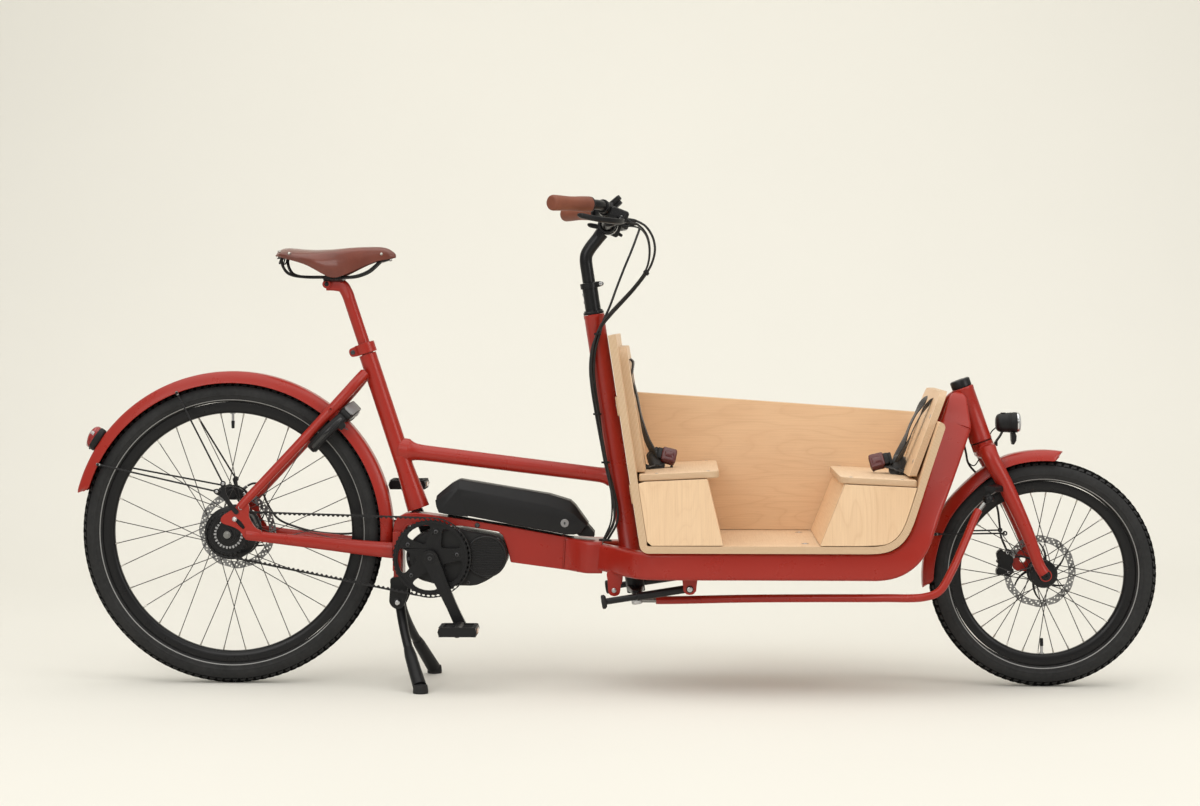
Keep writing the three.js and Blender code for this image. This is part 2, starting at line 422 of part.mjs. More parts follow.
// ---------------------------------------------------------------- fenders, lights, lock
function fenderBand(c, radius, w, a0, a1, n) {
  const rings = [];
  for (let i = 0; i <= n; i++) {
    const deg = a0 + (a1 - a0) * i / n, a = rad(deg), rIn = radius(deg), rOut = rIn + 4;
    const prof = [[rIn - 9, -w - 2], [rOut, -w * 0.55], [rOut, w * 0.55], [rIn - 9, w + 2], [rIn - 9, w - 2], [rIn, w * 0.5], [rIn, -w * 0.5], [rIn - 9, -w + 2]];
    rings.push(prof.map(([r, y]) => V(c[0] + r * Math.cos(a), y, c[1] + r * Math.sin(a))));
  }
  return loft(rings);
}
{
  const [cx, cz] = REAR_AXLE;
  const band = fenderBand(REAR_AXLE, () => 366, 30.5, -4, 166, 20);
  const st = [];
  for (const s of [-1, 1]) for (const [a, e] of [[111, [-884, 466]], [153, [-900, 446]]]) {
    const p = V(cx + 362 * Math.cos(rad(a)), s * 31, cz + 362 * Math.sin(rad(a)));
    const q = V(e[0], s * 84, e[1]);
    st.push(rod(p.clone().setY(s * 31), q, 2.4, 6));
  }
  piece('rear_fender', join(band, ...st), RED, 0.4);
  piece('tail_light', join(turn([[0, 0], [23, 0], [23, 22], [18, 32], [0, 34]], V(-1192, 0, 561), V(-1, 0, 0), 20), box(-1193, -1178, -14, 14, 558.5, 574)), BLACK, 0.4);
}
{
  // ring lock: horseshoe around the tyre, its plane radial; the sliding bow lies behind the case
  const th = rad(LOCK_ANGLE), rdir = V(Math.cos(th), 0, Math.sin(th)), tdir = V(Math.sin(th), 0, -Math.cos(th));
  const c = V(REAR_AXLE[0], 0, REAR_AXLE[1]).addScaledVector(rdir, 322);
  const arc = (r0, r1, a0, a1, t0, t1, n) => {
    const rings = [];
    for (let i = 0; i <= n; i++) {
      const a = rad(a0 + (a1 - a0) * i / n);
      const p = (r, t) => c.clone().addScaledVector(rdir, r * Math.sin(a)).add(V(0, r * Math.cos(a), 0)).addScaledVector(tdir, t);
      rings.push([p(r0, t0), p(r1, t0), p(r1, t1), p(r0, t1)]);
    }
    return loft(rings);
  };
  const k = c.clone().addScaledVector(rdir, 66);
  piece('ring_lock', join(arc(58.5, 76, -50, 230, -2, 13, 16), arc(57.5, 82, 50, 130, -2.5, 14, 6)), BLACK, 0.45);
  piece('lock_bow', arc(60, 67, -44, 168, -10, -2.9, 13), STEEL, 0.3, 0.9);
}
{
  const [cx, cz] = FRONT_AXLE;
  const band = fenderBand(FRONT_AXLE, d => 267 + 10.5 * (1 - THREE.MathUtils.smoothstep(d, 104, 136)) + 3 * THREE.MathUtils.smoothstep(d, 165, 187), 30.5, 81, 187, 13);
  const st = [];
  for (const s of [-1, 1]) {
    const p = V(cx + 268 * Math.cos(rad(160)), s * 31, cz + 268 * Math.sin(rad(160)));
    st.push(rod(p, V(886, s * 44, 352), 2.4, 6));
  }
  piece('front_fender', join(band, ...st), RED, 0.4);
}

// ---------------------------------------------------------------- fork and front steering
{
  const leg = s => tube(smooth([V(846, -40 * s, 541), V(853, -50 * s, 522), V(886, -54 * s, 460), V(934, -56.5 * s, 355), V(962, -57 * s, 280), V(973, -57 * s, 262)], 8), t => 20 - 7 * Math.min(1, t * 1.1), 10);
  const tipP = s => plateY(Array.from({ length: 12 }, (_, i) => [FRONT_AXLE[0] + 14 * Math.cos(i * Math.PI / 6), FRONT_AXLE[1] + 14 * Math.sin(i * Math.PI / 6)]), -s * 50, -s * 62);
  const crown = loft([[V(826, -46, 524), V(872, -46, 521), V(866, -46, 553), V(829, -46, 551)], [V(826, 46, 524), V(872, 46, 521), V(866, 46, 553), V(829, 46, 551)]]);
  const race = rod(headAt(540), headAt(557.2), 25, 24);
  const steerer = rod(headAt(545), headAt(684), 14.3, 18);
  const cap = rod(headAt(680.6), headAt(698), 23, 24);
  // lug on the right leg that carries the ball joint
  const lug = loft([[V(858, -60, 452), V(886, -60, 446), V(888, -60, 462), V(860, -60, 468)], [V(834, -ROD_ARM - 4, 453), V(856, -ROD_ARM - 4, 449), V(857, -ROD_ARM - 4, 459), V(836, -ROD_ARM - 4, 462)]]);
  const hub = s => rod(V(FRONT_AXLE[0], -s * 40, FRONT_AXLE[1]), V(FRONT_AXLE[0], -s * 80, FRONT_AXLE[1]), 7.4, 14);
  const tab = plateY([[918.6, 262], [915.5, 300], [915.5, 305], [938, 306], [962, 285], [962, 262]], 46.5, 55);
  const g = join(leg(1), leg(-1), crown, race, steerer, cap, tipP(1), tipP(-1), lug, tab);
  piece('fork', cut(g, hub(1), hub(-1)), RED, 0.45);
  piece('headlight', join(turn([[0, 0], [15, 0], [19, 8], [23.3, 26], [24, 54], [0, 56]], V(869, 0, 600), V(1, 0, 0.02), 24),
    plateY([[874, 590], [888, 582], [880, 560], [872.4, 548], [870, 556], [872, 575]], -9, 9)), BLACK, 0.4);
}
// steering rod: ball joint to ball joint, bowed out past the front wheel
{
  const pts = [V(55, -ROD_ARM, 203), V(120, -ROD_ARM, 203), V(300, -100, 208), V(470, -140, 214), V(600, -188, 220), V(690, -203, 224), V(722, -200, 236), V(752, -182, 280), V(786, -145, 345), V(818, -110, 408), V(836, -94, 428)];
  const g = join(tube(smooth(pts, 20), 9, 8), turn([[0, -9], [13, -9], [13, 9], [0, 9]], V(55, -ROD_ARM, 203), colDir, 12), turn([[0, -8], [12, -8], [12, 8], [0, 8]], V(842, -ROD_ARM, 433), headDir, 12));
  piece('steering_rod', g, RED, 0.45);
}
// steerer inside the column tube, its lower arm and upper collar
{
  const shaft = rod(colAt(228), colAt(852), 14.3, 18);
  const collar = rod(colAt(846.6), colAt(856), 23.5, 24);
  const lower = rod(colAt(212), colAt(850 - 592), 21, 20);
  const arm = loft([
    [V(32, -8, 214.6), V(70, -8, 214.6), V(70, -8, 228), V(32, -8, 228)],
    [V(43, -ROD_ARM - 10, 214.6), V(67, -ROD_ARM - 10, 214.6), V(67, -ROD_ARM - 10, 226), V(43, -ROD_ARM - 10, 226)]]);
  const sleeve = rod(colAt(850), colAt(914), 18, 20);
  const clamp = rod(colAt(906), colAt(918), 21, 20);
  const ear = box(13, 33, -14, 14, 0, 11); ear.applyMatrix4(new THREE.Matrix4().makeRotationY(rad(-COLUMN_TILT)).setPosition(colAt(906.5)));
  const g = join(shaft, collar, lower, arm, sleeve, clamp, ear.clone());
  piece('steering_column', cut(g, rod(colAt(640), colAt(950), 11.4, 18)), BLACK, 0.45, 0.2);
}

// ---------------------------------------------------------------- cockpit
{
  // upper stem: slides in the column, bends forward to the bar clamp
  const low = colAt(780), p0 = colAt(905), p1 = colAt(960);
  const post = rod(low, colAt(925), 11, 16);
  const neck = tube([colAt(918.6), colAt(940), V(-63.5, 0, 968), V(-62, 0, 984), V(-52, 0, 1001), V(-38, 0, 1017), V(-22, 0, 1034)], 14.5, 14, { up: V(0, 1, 0) });
  const clamp = rod(V(-13, -24, 1050), V(-13, 24, 1050), 23, 20);
  piece('handlebar_stem', cut(join(post, neck, clamp), rod(V(-13, -60, 1050), V(-13, 60, 1050), 16.3, 20)), BLACK, 0.45, 0.2);
  // swept bar with the two brake perches on it
  const half = s => [V(-124, s * 318, 1087), V(-82, s * 272, 1087), V(-40, s * 226, 1087), V(-31, s * 216.1, 1087), V(-19, s * 192, 1085), V(-13, s * 160, 1078), V(-12, s * 110, 1062), V(-13, s * 70, 1051), V(-13, s * 40, 1050)];
  const path = [...half(-1), V(-13, 0, 1050), ...half(1).reverse()];
  const bar = tube(smooth(path, 26), t => 11.1 + 4.9 * Math.exp(-Math.pow((t - 0.5) / 0.075, 4)), 10);
  const perch = s => rod(V(-16, s * 168, 1080), V(-6, s * 150, 1074), 16.5, 14);
  const lump = s => loft([[V(-8, s * 146, 1062), V(10, s * 146, 1058), V(14, s * 146, 1084), V(-4, s * 146, 1088)], [V(-14, s * 172, 1064), V(10, s * 172, 1058), V(14, s * 172, 1080), V(-8, s * 172, 1086)]]);
  const cyl = s => rod(V(6, s * 176, 1064), V(32, s * 118, 1058), 10, 12);
  const gripCut = s => { const q = [V(-124, s * 318, 1087), V(-82, s * 272, 1087), V(-40, s * 226, 1087)]; return q; };
  // small control unit on a bracket above the middle of the bar
  const unit = loft([[V(-20, -28, 1092), V(-20, 28, 1092), V(12, 28, 1119), V(12, -28, 1119)], [V(-13, -28, 1083), V(-13, 28, 1083), V(19, 28, 1110), V(19, -28, 1110)]]);
  const post2 = box(-12, 2, -46, -30, 1052, 1100), arm2 = box(-10, 2, -40, -26, 1090, 1100);
  piece('handlebar', join(bar, perch(1), perch(-1), lump(1), lump(-1), cyl(1), cyl(-1), unit, post2, arm2), BLACK, 0.4, 0.2);
  for (const [side, s] of [['right', -1], ['left', 1]]) {
    const a = V(-126.5, s * 320.6, 1087), b = V(-44, s * 230, 1087), m = V(-85, s * 275, 1087);
    const g = turn([[0, 0], [15, 0], [17.5, 4], [17, 40], [16, 80], [17, 122], [0, 122]], a, b.clone().sub(a), 12);
    piece('grip_' + side, cut(g, rod(V(-124, s * 318, 1087).add(b.clone().sub(a).normalize().multiplyScalar(-1)), b.clone().add(b.clone().sub(a).normalize().multiplyScalar(6)), 11.9, 12)), GRIP, 0.6);
    const lev = sweep(smooth([V(24, s * 184, 1055), V(20, s * 206, 1054), V(2, s * 238, 1055), V(-32, s * 272, 1057), V(-70, s * 300, 1058)], 8), t => rrect(13 - 3 * t, 8, 2));
    piece('brake_lever_' + side, lev, BLACK, 0.35, 0.5);
  }
}
// brake hoses and control leads, held from the bar to the column and from there into the beam
const upperRoute = [V(34, -112, 1056), V(62, -104, 1042), V(90, -84, 1010), V(88, -60, 968), V(66, -44, 930), V(36, -38, 892), V(2, -34, 856), V(-20, -34, 830), V(-34, -33, 802.3)];
const lowerRoute = [V(-34.2, -33, 801.6), V(-44, -32, 770), V(-49, -30, 727), V(-46, -29, 680), V(-37, -29, 620), V(-28, -29, 565), V(-19, -29, 510), V(-9, -31, 462), V(0, -33, 410), V(-2, -33, 372), V(-18, -33, 334.5)];
piece('cables_upper', tube(smooth(upperRoute, 24), 6, 6), BLACK, 0.6);
piece('cables_lower', tube(smooth(lowerRoute, 22), 6, 6), BLACK, 0.6);

// ---------------------------------------------------------------- saddle
{
  const post = rod(seatAt(640), seatAt(908), 13.6, 18);
  const head = loft([[V(-652, -20, 903), V(-652, 20, 903), V(-600, 20, 900), V(-600, -20, 900)], [V(-658, -34, 925.6), V(-658, 34, 925.6), V(-598, 34, 925.6), V(-598, -34, 925.6)]]);
  piece('seatpost', join(post, head), RED, 0.4);
  const st = [[-768, 30, 978, 992], [-758, 66, 962, 998], [-735, 84, 948, 1001], [-705, 86, 938, 998], [-670, 68, 934, 994], [-635, 42, 938, 993], [-600, 27, 946, 996], [-560, 20, 955, 1000], [-525, 17, 962, 1001], [-505, 14, 966, 997], [-497, 8, 972, 988]];
  const rings = st.map(([x, w, zb, zt]) => [V(x, -w * 0.75, zt - 1), V(x, 0, zt), V(x, w * 0.75, zt - 1), V(x, w, zt - (zt - zb) * 0.3), V(x, w, zb), V(x, w * 0.55, zb + (zt - zb) * 0.45), V(x, 0, zb + (zt - zb) * 0.5), V(x, -w * 0.55, zb + (zt - zb) * 0.45), V(x, -w, zb), V(x, -w, zt - (zt - zb) * 0.3)]);
  const rail = s => tube(smooth([V(-752, s * 46, 974), V(-748, s * 42, 956), V(-728, s * 32, 937), V(-690, s * 23, 931.5), V(-600, s * 22, 931.5), V(-560, s * 18, 944), V(-530, s * 9, 972), V(-522, s * 6, 984)], 8), 3.5, 6);
  piece('saddle', join(loft(rings), rail(1), rail(-1)), LEATHER, 0.4);
}

// ---------------------------------------------------------------- stands
{
  const plates = [box(-508, -473, -32.4, -27.4, 177, 243.6), box(-508, -473, 27.4, 32.4, 177, 243.6), box(-508, -473, -32, 32, 232, 243.6)];
  piece('kickstand_bracket', cut(join(...plates), rod(V(KICK_PIVOT[0], -60, KICK_PIVOT[1]), V(KICK_PIVOT[0], 60, KICK_PIVOT[1]), 6.6, 14)), BLACK, 0.5, 0.3);
  const leg = s => tube(smooth([V(-493, 13 * s, 188), V(-492, 14 * s, 168), V(-484, 40 * s, 130), V(-473, 72 * s, 101), V(-448, 122 * s, 50), V(-427, 161 * s, 13)], 8), t => 10.6 - t, 8);
  piece('kickstand', join(rod(V(KICK_PIVOT[0], -25.6, KICK_PIVOT[1]), V(KICK_PIVOT[0], 25.6, KICK_PIVOT[1]), 11.5, 16), rod(V(KICK_PIVOT[0], -34, KICK_PIVOT[1]), V(KICK_PIVOT[0], 34, KICK_PIVOT[1]), 6, 12), leg(1), leg(-1),
    turn([[0, 0], [15, 0], [16, 6], [13, 18], [0, 20]], V(-425, 165, 0), V(0, 0, 1), 14), turn([[0, 0], [15, 0], [16, 6], [13, 18], [0, 20]], V(-425, -165, 0), V(0, 0, 1), 14)), BLACK, 0.5, 0.3);
}
{
  const [px, pz] = STAND_PIVOT, fx = px - Math.sqrt(STAND_LEG ** 2 - 30 ** 2), fz = pz - 30;
  const leg = s => rod(V(px, 150 * s, pz), V(fx, 158 * s, fz), 9, 10);
  const foot = s => turn([[0, -9], [11, -9], [13, -6], [13, 6], [11, 9], [0, 9]], V(fx, 158 * s, fz), V(0, 1, 0), 14);
  piece('front_stand', join(rod(V(px, -175, pz), V(px, 175, pz), 8, 12), leg(1), leg(-1), foot(1), foot(-1)), BLACK, 0.5, 0.3);
}

// ---------------------------------------------------------------- wooden box
// inner faces of the bent tray, used by the boards that sit in it
const rearOut = z => 65.7 - (z - 320.4) * 0.1514;           // outer face of the rear wall
const frontOut = [[556, 320.4], [588, 321.5], [612, 327], [634, 340], [650, 358], [662, 382], [676, 423], [690, 467], [712, 536], [735, 606]];
function offset(poly, d) {
  return poly.map((p, i) => {
    const a = poly[Math.max(0, i - 1)], b = poly[Math.min(poly.length - 1, i + 1)];
    const L = Math.hypot(b[0] - a[0], b[1] - a[1]);
    return [p[0] - (b[1] - a[1]) / L * d, p[1] + (b[0] - a[0]) / L * d];
  });
}
const frontIn = offset(frontOut, PLY);
{
  const tr = [[rearOut(800), 800], [rearOut(340), 340], [rearOut(331), 328], [rearOut(325) + 7, 320.4], ...frontOut, ...frontIn.slice().reverse(), [95, 336.4], [rearOut(345) + 17, 347], [rearOut(800) + 17, 800]];
  const body = plateY(tr, -BOX_HALF, BOX_HALF);
  // the front wall narrows a little towards its top corners
  piece('box_tray', body, WOOD, 0.6);
}
const rearIn = z => rearOut(z) + 17 + GAP;
const sideOut = [[rearIn(348), 348], [96, 337], ...frontIn.slice(1, -1).filter(p => p[1] > 337).map(([x, z]) => [x - GAP * 1.5, z + GAP]), [711, 624 - 8], [rearIn(668) + 1, 665]];
{
  const fin = frontIn.map(([x, z]) => [x - 0.6, z + 0.6]);
  const outl = [[rearIn(349), 349], [97, 337], ...fin.filter(p => p[1] > 337.2 && p[1] < 600), [fin[fin.length - 1][0] - 2, 608], [fin[fin.length - 1][0] - 8, 618], [rearIn(664) + 0.6, 664]];
  piece('box_side_left', plateY(outl, BOX_HALF - 13, BOX_HALF), WOOD, 0.6);
}
// slanted boards: outline across Y, thickness forward
function slab(bottomX, topX, z0, z1, t, half, halfTop = half, chamfer = 0) {
  const arc = [0, 1, 2, 3, 4].map(i => [chamfer * (1 - Math.cos(i * Math.PI / 8)), chamfer * (1 - Math.sin(i * Math.PI / 8))]);
  const f = [[-half, z0], [half, z0], ...arc.map(([a, b]) => [halfTop - a, z1 - b]), ...arc.slice().reverse().map(([a, b]) => [-halfTop + a, z1 - b])];
  const X = z => bottomX + (topX - bottomX) * (z - z0) / (z1 - z0);
  return loft([f.map(([y, z]) => V(X(z), y, z)), f.map(([y, z]) => V(X(z) + t, y, z))]);
}
piece('rear_backrest', slab(rearIn(497), rearIn(774), 497, 774, 18, 190, 176, 30), WOOD, 0.6);
const FRONT_REST = [frontIn[8][0] - 40, frontIn[8][0] + 30.5];      // X at the foot and at the top
piece('front_backrest', slab(FRONT_REST[0], FRONT_REST[1], 489, 676, 16, 188, 172, 32), WOOD, 0.6);
// bench boards and their boxes
piece('rear_seat_board', loft([[V(76, -214, 479), V(76, 211.4, 479), V(76, 211.4, 495), V(76, -214, 495)], [V(238, -214, 487), V(238, 211.4, 487), V(238, 211.4, 503), V(238, -214, 503)]]), WOOD, 0.6);
{
  const near = plateY([[97, 338], [247, 338], [212, 484.6], [74, 478.2], [rearIn(478) + 2, 476], [rearIn(352) + 2, 352]], -BOX_HALF, -BOX_HALF + 12);
  const far = plateY([[97, 338], [247, 338], [212, 484.6], [74, 478.2], [rearIn(478) + 2, 476], [rearIn(352) + 2, 352]], 199, 211.4);
  const front = loft([[V(235, -214, 338), V(247, -214, 338), V(212, -214, 484.6), V(200, -214, 484)], [V(235, 200, 338), V(247, 200, 338), V(212, 200, 484.6), V(200, 200, 484)]]);
  piece('rear_seat_box', join(near, far, front), WOOD, 0.6);
}
piece('front_seat_board', loft([[V(504, -214, 474.4), V(504, 211.4, 474.4), V(504, 211.4, 490), V(504, -214, 490)], [V(664, -214, 467), V(664, 211.4, 467), V(664, 211.4, 482.6), V(664, -214, 482.6)]]), WOOD, 0.6);
{
  const fin = frontIn.map(([x, z]) => [x - 0.8, z + 0.8]).filter(p => p[1] > 338.6 && p[1] < 460);
  const o = [[460, 338], [572, 338], ...fin, [662, 466.4], [514, 473.2]];
  const near = plateY(o, -BOX_HALF, -BOX_HALF + 12), far = plateY(o, 199, 211.4);
  const front = loft([[V(460, -214, 338), V(472, -214, 338), V(525, -214, 472.6), V(513, -214, 473.2)], [V(460, 200, 338), V(472, 200, 338), V(525, 200, 472.6), V(513, 200, 473.2)]]);
  piece('front_seat_box', join(near, far, front), WOOD, 0.6);
}
// child harnesses: straps and pads lying on each backrest
{
  const X = z => rearIn(497) + (rearIn(774) - rearIn(497)) * (z - 497) / 277 + 18 + GAP;
  const strap = s => loft([[V(X(742), s * 62 - 12, 742), V(X(742), s * 62 + 12, 742), V(X(742) + 4, s * 62 + 12, 742), V(X(742) + 4, s * 62 - 12, 742)], [V(X(540), s * 14 - 12, 540), V(X(540), s * 14 + 12, 540), V(X(540) + 4, s * 14 + 12, 540), V(X(540) + 4, s * 14 - 12, 540)]]);
  const pad = loft([[V(X(560) + 0.5, -30, 560), V(X(560) + 0.5, 30, 560), V(X(560) + 16, 24, 558), V(X(560) + 16, -24, 558)], [V(X(506) + 0.5, -30, 506), V(X(506) + 0.5, 30, 506), V(X(506) + 24, 24, 508), V(X(506) + 24, -24, 508)]]);
  piece('rear_harness', join(strap(1), strap(-1), pad), BLACK, 0.8);
  const [b0, b1] = FRONT_REST;
  const Y = z => b0 + (b1 - b0) * (z - 489) / 187 - GAP;
  const strapF = s => loft([[V(Y(656) - 4, s * 62 - 12, 656), V(Y(656) - 4, s * 62 + 12, 656), V(Y(656), s * 62 + 12, 656), V(Y(656), s * 62 - 12, 656)], [V(Y(530) - 4, s * 14 - 12, 530), V(Y(530) - 4, s * 14 + 12, 530), V(Y(530), s * 14 + 12, 530), V(Y(530), s * 14 - 12, 530)]]);
  const padF = loft([[V(Y(545) - 16, -24, 545), V(Y(545) - 16, 24, 545), V(Y(545) - 0.5, 30, 545), V(Y(545) - 0.5, -30, 545)], [V(Y(494) - 24, -24, 494), V(Y(494) - 24, 24, 494), V(Y(494) - 0.5, 30, 494), V(Y(494) - 0.5, -30, 494)]]);
  piece('front_harness', join(strapF(1), strapF(-1), padF), BLACK, 0.8);
}

export default root;
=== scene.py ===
import bpy
import bmesh
import math
import random
import numpy as np
from mathutils import Vector, Matrix
from mathutils.geometry import tessellate_polygon


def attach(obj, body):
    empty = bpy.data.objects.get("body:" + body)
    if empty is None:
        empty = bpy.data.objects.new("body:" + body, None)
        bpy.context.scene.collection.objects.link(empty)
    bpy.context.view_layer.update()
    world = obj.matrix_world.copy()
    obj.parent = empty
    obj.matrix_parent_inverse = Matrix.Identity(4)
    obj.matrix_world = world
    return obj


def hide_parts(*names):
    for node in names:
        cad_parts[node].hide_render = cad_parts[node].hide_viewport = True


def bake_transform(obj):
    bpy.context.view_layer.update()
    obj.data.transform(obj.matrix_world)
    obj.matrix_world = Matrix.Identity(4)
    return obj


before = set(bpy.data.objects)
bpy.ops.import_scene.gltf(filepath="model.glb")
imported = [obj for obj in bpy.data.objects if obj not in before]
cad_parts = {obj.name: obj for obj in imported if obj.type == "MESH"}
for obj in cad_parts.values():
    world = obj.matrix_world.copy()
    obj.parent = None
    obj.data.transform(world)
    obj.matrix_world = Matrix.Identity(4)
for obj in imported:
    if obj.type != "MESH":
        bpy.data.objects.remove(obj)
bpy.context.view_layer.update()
DX = -0.5                       # the row frame's shift along X, in mm
rnd = random.Random(7)

# ------------------------------------------------------------------ geometry helpers (mm)
def V(x, y, z):
    return np.array([x, y, z], float)

def unit(v):
    v = np.array(v, float)
    return v / max(np.linalg.norm(v), 1e-12)

def rad(d):
    return d * math.pi / 180

def resample(pts, n, closed=False):
    """points evenly spaced along a centripetal Catmull-Rom curve through pts"""
    P = [np.array(p, float) for p in pts]
    if closed:
        P = [P[-1]] + P + [P[0], P[1]]
    else:
        P = [2 * P[0] - P[1]] + P + [2 * P[-1] - P[-2]]
    dense = []
    for i in range(1, len(P) - 2):
        p0, p1, p2, p3 = P[i - 1], P[i], P[i + 1], P[i + 2]
        t0 = 0.0
        t1 = t0 + max(np.linalg.norm(p1 - p0), 1e-6) ** 0.5
        t2 = t1 + max(np.linalg.norm(p2 - p1), 1e-6) ** 0.5
        t3 = t2 + max(np.linalg.norm(p3 - p2), 1e-6) ** 0.5
        for k in range(16):
            t = t1 + (t2 - t1) * k / 16
            a1 = (t1 - t) / (t1 - t0) * p0 + (t - t0) / (t1 - t0) * p1
            a2 = (t2 - t) / (t2 - t1) * p1 + (t - t1) / (t2 - t1) * p2
            a3 = (t3 - t) / (t3 - t2) * p2 + (t - t2) / (t3 - t2) * p3
            b1 = (t2 - t) / (t2 - t0) * a1 + (t - t0) / (t2 - t0) * a2
            b2 = (t3 - t) / (t3 - t1) * a2 + (t - t1) / (t3 - t1) * a3
            dense.append((t2 - t) / (t2 - t1) * b1 + (t - t1) / (t2 - t1) * b2)
    dense.append(P[-2])
    dense = np.array(dense)
    seg = np.linalg.norm(np.diff(dense, axis=0), axis=1)
    s = np.concatenate([[0], np.cumsum(seg)])
    want = np.linspace(0, s[-1], n + 1)
    return np.stack([np.interp(want, s, dense[:, k]) for k in range(3)], 1)

def rounded(poly, n=90):
    return [(q[0], q[2]) for q in resample([V(a, 0, b) for a, b in poly], n, closed=True)[:-1]]

def circle(r, n=24, ry=None):
    ry = r if ry is None else ry
    return [(r * math.cos(2 * math.pi * i / n), ry * math.sin(2 * math.pi * i / n)) for i in range(n)]

def rrect(w, h, c, n=4):
    out = []
    for cx, cy, a0 in ((w / 2 - c, -h / 2 + c, -90), (w / 2 - c, h / 2 - c, 0), (-w / 2 + c, h / 2 - c, 90), (-w / 2 + c, -h / 2 + c, 180)):
        for i in range(n + 1):
            a = rad(a0 + 90 * i / n)
            out.append((cx + c * math.cos(a), cy + c * math.sin(a)))
    return out

def tessel(ring, holes=()):
    loops = [[Vector(p) for p in ring]] + [[Vector(p) for p in h] for h in holes]
    return [list(t) for t in tessellate_polygon(loops)]

def loft(rings, closed=False, caps=True):
    rings = [np.array(r, float) for r in rings]
    m, k = len(rings[0]), len(rings)
    v = np.concatenate(rings)
    f = []
    for i in range(k if closed else k - 1):
        a, b = i * m, ((i + 1) % k) * m
        for j in range(m):
            j2 = (j + 1) % m
            f.append([a + j, b + j, b + j2, a + j2])
    if caps and not closed:
        f.append(list(range(m)))
        f.append(list(range((k - 1) * m, k * m))[::-1])
    return v, f

def sweep(path, section, up=(0, 0, 1), lateral=False, startN=None, endN=None, closed=False, caps=True, twistfree=False):
    path = np.array(path, float)
    k = len(path)
    rings = []
    prev = None
    for i in range(k):
        p = path[i]
        t = np.zeros(3)
        if i > 0 or closed:
            t += unit(p - path[i - 1])
        if i < k - 1 or closed:
            t += unit(path[(i + 1) % k] - p)
        t = unit(t)
        if twistfree and prev is not None:
            side = prev - t * (prev @ t)
        elif lateral:
            side = np.array([0, -1.0, 0]) + t * t[1]
        else:
            side = np.cross(t, np.array(up, float))
        if np.linalg.norm(side) < 1e-3:
            side = np.cross(t, np.array([1.0, 0, 0]))
        side = unit(side)
        prev = side
        u = np.cross(side, t)
        sec = section(i / (k - 1), i) if callable(section) else section
        n = startN if i == 0 else endN if i == k - 1 else None
        ring = []
        for a, b in sec:
            q = p + side * a + u * b
            if n is not None:
                n = np.array(n, float)
                q = q - t * ((q - p) @ n) / (t @ n)
            ring.append(q)
        rings.append(ring)
    return loft(rings, closed, caps)

def tube(path, r, n=24, **kw):
    if callable(r):
        return sweep(path, lambda s, i: circle(r(s), n), **kw)
    return sweep(path, circle(r, n), **kw)

def turn(profile, at, d, n=48, phase=0.0):
    d = unit(d)
    e1 = unit(np.cross([0, 0, 1.0] if abs(d[2]) < 0.9 else [1.0, 0, 0], d))
    e2 = np.cross(d, e1)
    at = np.array(at, float)
    on = profile[0][0] == 0 and profile[-1][0] == 0
    v, idx, f = [], [], []
    for r, a in profile:
        row = []
        for i in range(n):
            if r == 0 and i > 0:
                row.append(row[0])
                continue
            an = 2 * math.pi * i / n + phase
            row.append(len(v))
            v.append(at + d * a + e1 * r * math.cos(an) + e2 * r * math.sin(an))
        idx.append(row)
    m = len(profile)
    for j in range(m - 1 if on else m):
        A, B = idx[j], idx[(j + 1) % m]
        for i in range(n):
            i2 = (i + 1) % n
            q = [A[i], B[i], B[i2], A[i2]]
            w = [q[0]]
            for x in q[1:]:
                if x not in w:
                    w.append(x)
            if len(w) > 2:
                f.append(w)
    return np.array(v), f

def rod(a, b, r, n=24, r2=None, ch=0.0):
    r2 = r if r2 is None else r2
    L = np.linalg.norm(np.array(b, float) - np.array(a, float))
    if ch:
        pr = [(0, 0), (r - ch, 0), (r, ch), (r2, L - ch), (r2 - ch, L), (0, L)]
    else:
        pr = [(0, 0), (r, 0), (r2, L), (0, L)]
    return turn(pr, a, np.array(b, float) - np.array(a, float), n)

def boxm(x0, x1, y0, y1, z0, z1):
    v = np.array([[x, y, z] for x in (x0, x1) for y in (y0, y1) for z in (z0, z1)], float)
    return v, [[0, 1, 3, 2], [4, 6, 7, 5], [0, 4, 5, 1], [2, 3, 7, 6], [0, 2, 6, 4], [1, 5, 7, 3]]

def plate(out, p0, p1, axis='y', holes=(), quad=False):
    """outline (and holes) in the plane across the axis, pushed from p0 to p1 along it"""
    def put(a, b, c):
        return {'y': (a, c, b), 'x': (c, a, b), 'z': (a, b, c)}[axis]
    loops = [list(out)] + [list(h) for h in holes]
    v, f, base = [], [], []
    n = sum(len(l) for l in loops)
    for c in (p0, p1):
        for l in loops:
            v += [put(a, b, c) for a, b in l]
    k = 0
    for l in loops:
        m = len(l)
        for j in range(m):
            j2 = (j + 1) % m
            f.append([k + j, k + j2, n + k + j2, n + k + j])
        k += m
    if holes:
        tri = tessellate_polygon([[Vector((a, b, 0)) for a, b in l] for l in loops])
        f += [list(t) for t in tri] + [[i + n for i in t][::-1] for t in tri]
    else:
        f.append(list(range(n))[::-1])
        f.append(list(range(n, 2 * n)))
    return np.array(v, float), f

def moved(vf, m):
    v, f = vf
    m = np.array(m, float)
    return v @ m[:3, :3].T + m[:3, 3], f

def at_axes(origin, ex, ey, ez):
    m = np.eye(4)
    m[:3, 0], m[:3, 1], m[:3, 2], m[:3, 3] = unit(ex), unit(ey), unit(ez), origin
    return m

def roty(deg, origin):
    """turns about Y so that +Z leans back (towards -X) by deg"""
    a = rad(deg)
    m = np.eye(4)
    m[:3, :3] = [[math.cos(a), 0, -math.sin(a)], [0, 1, 0], [math.sin(a), 0, math.cos(a)]]
    m[:3, 3] = origin
    return m

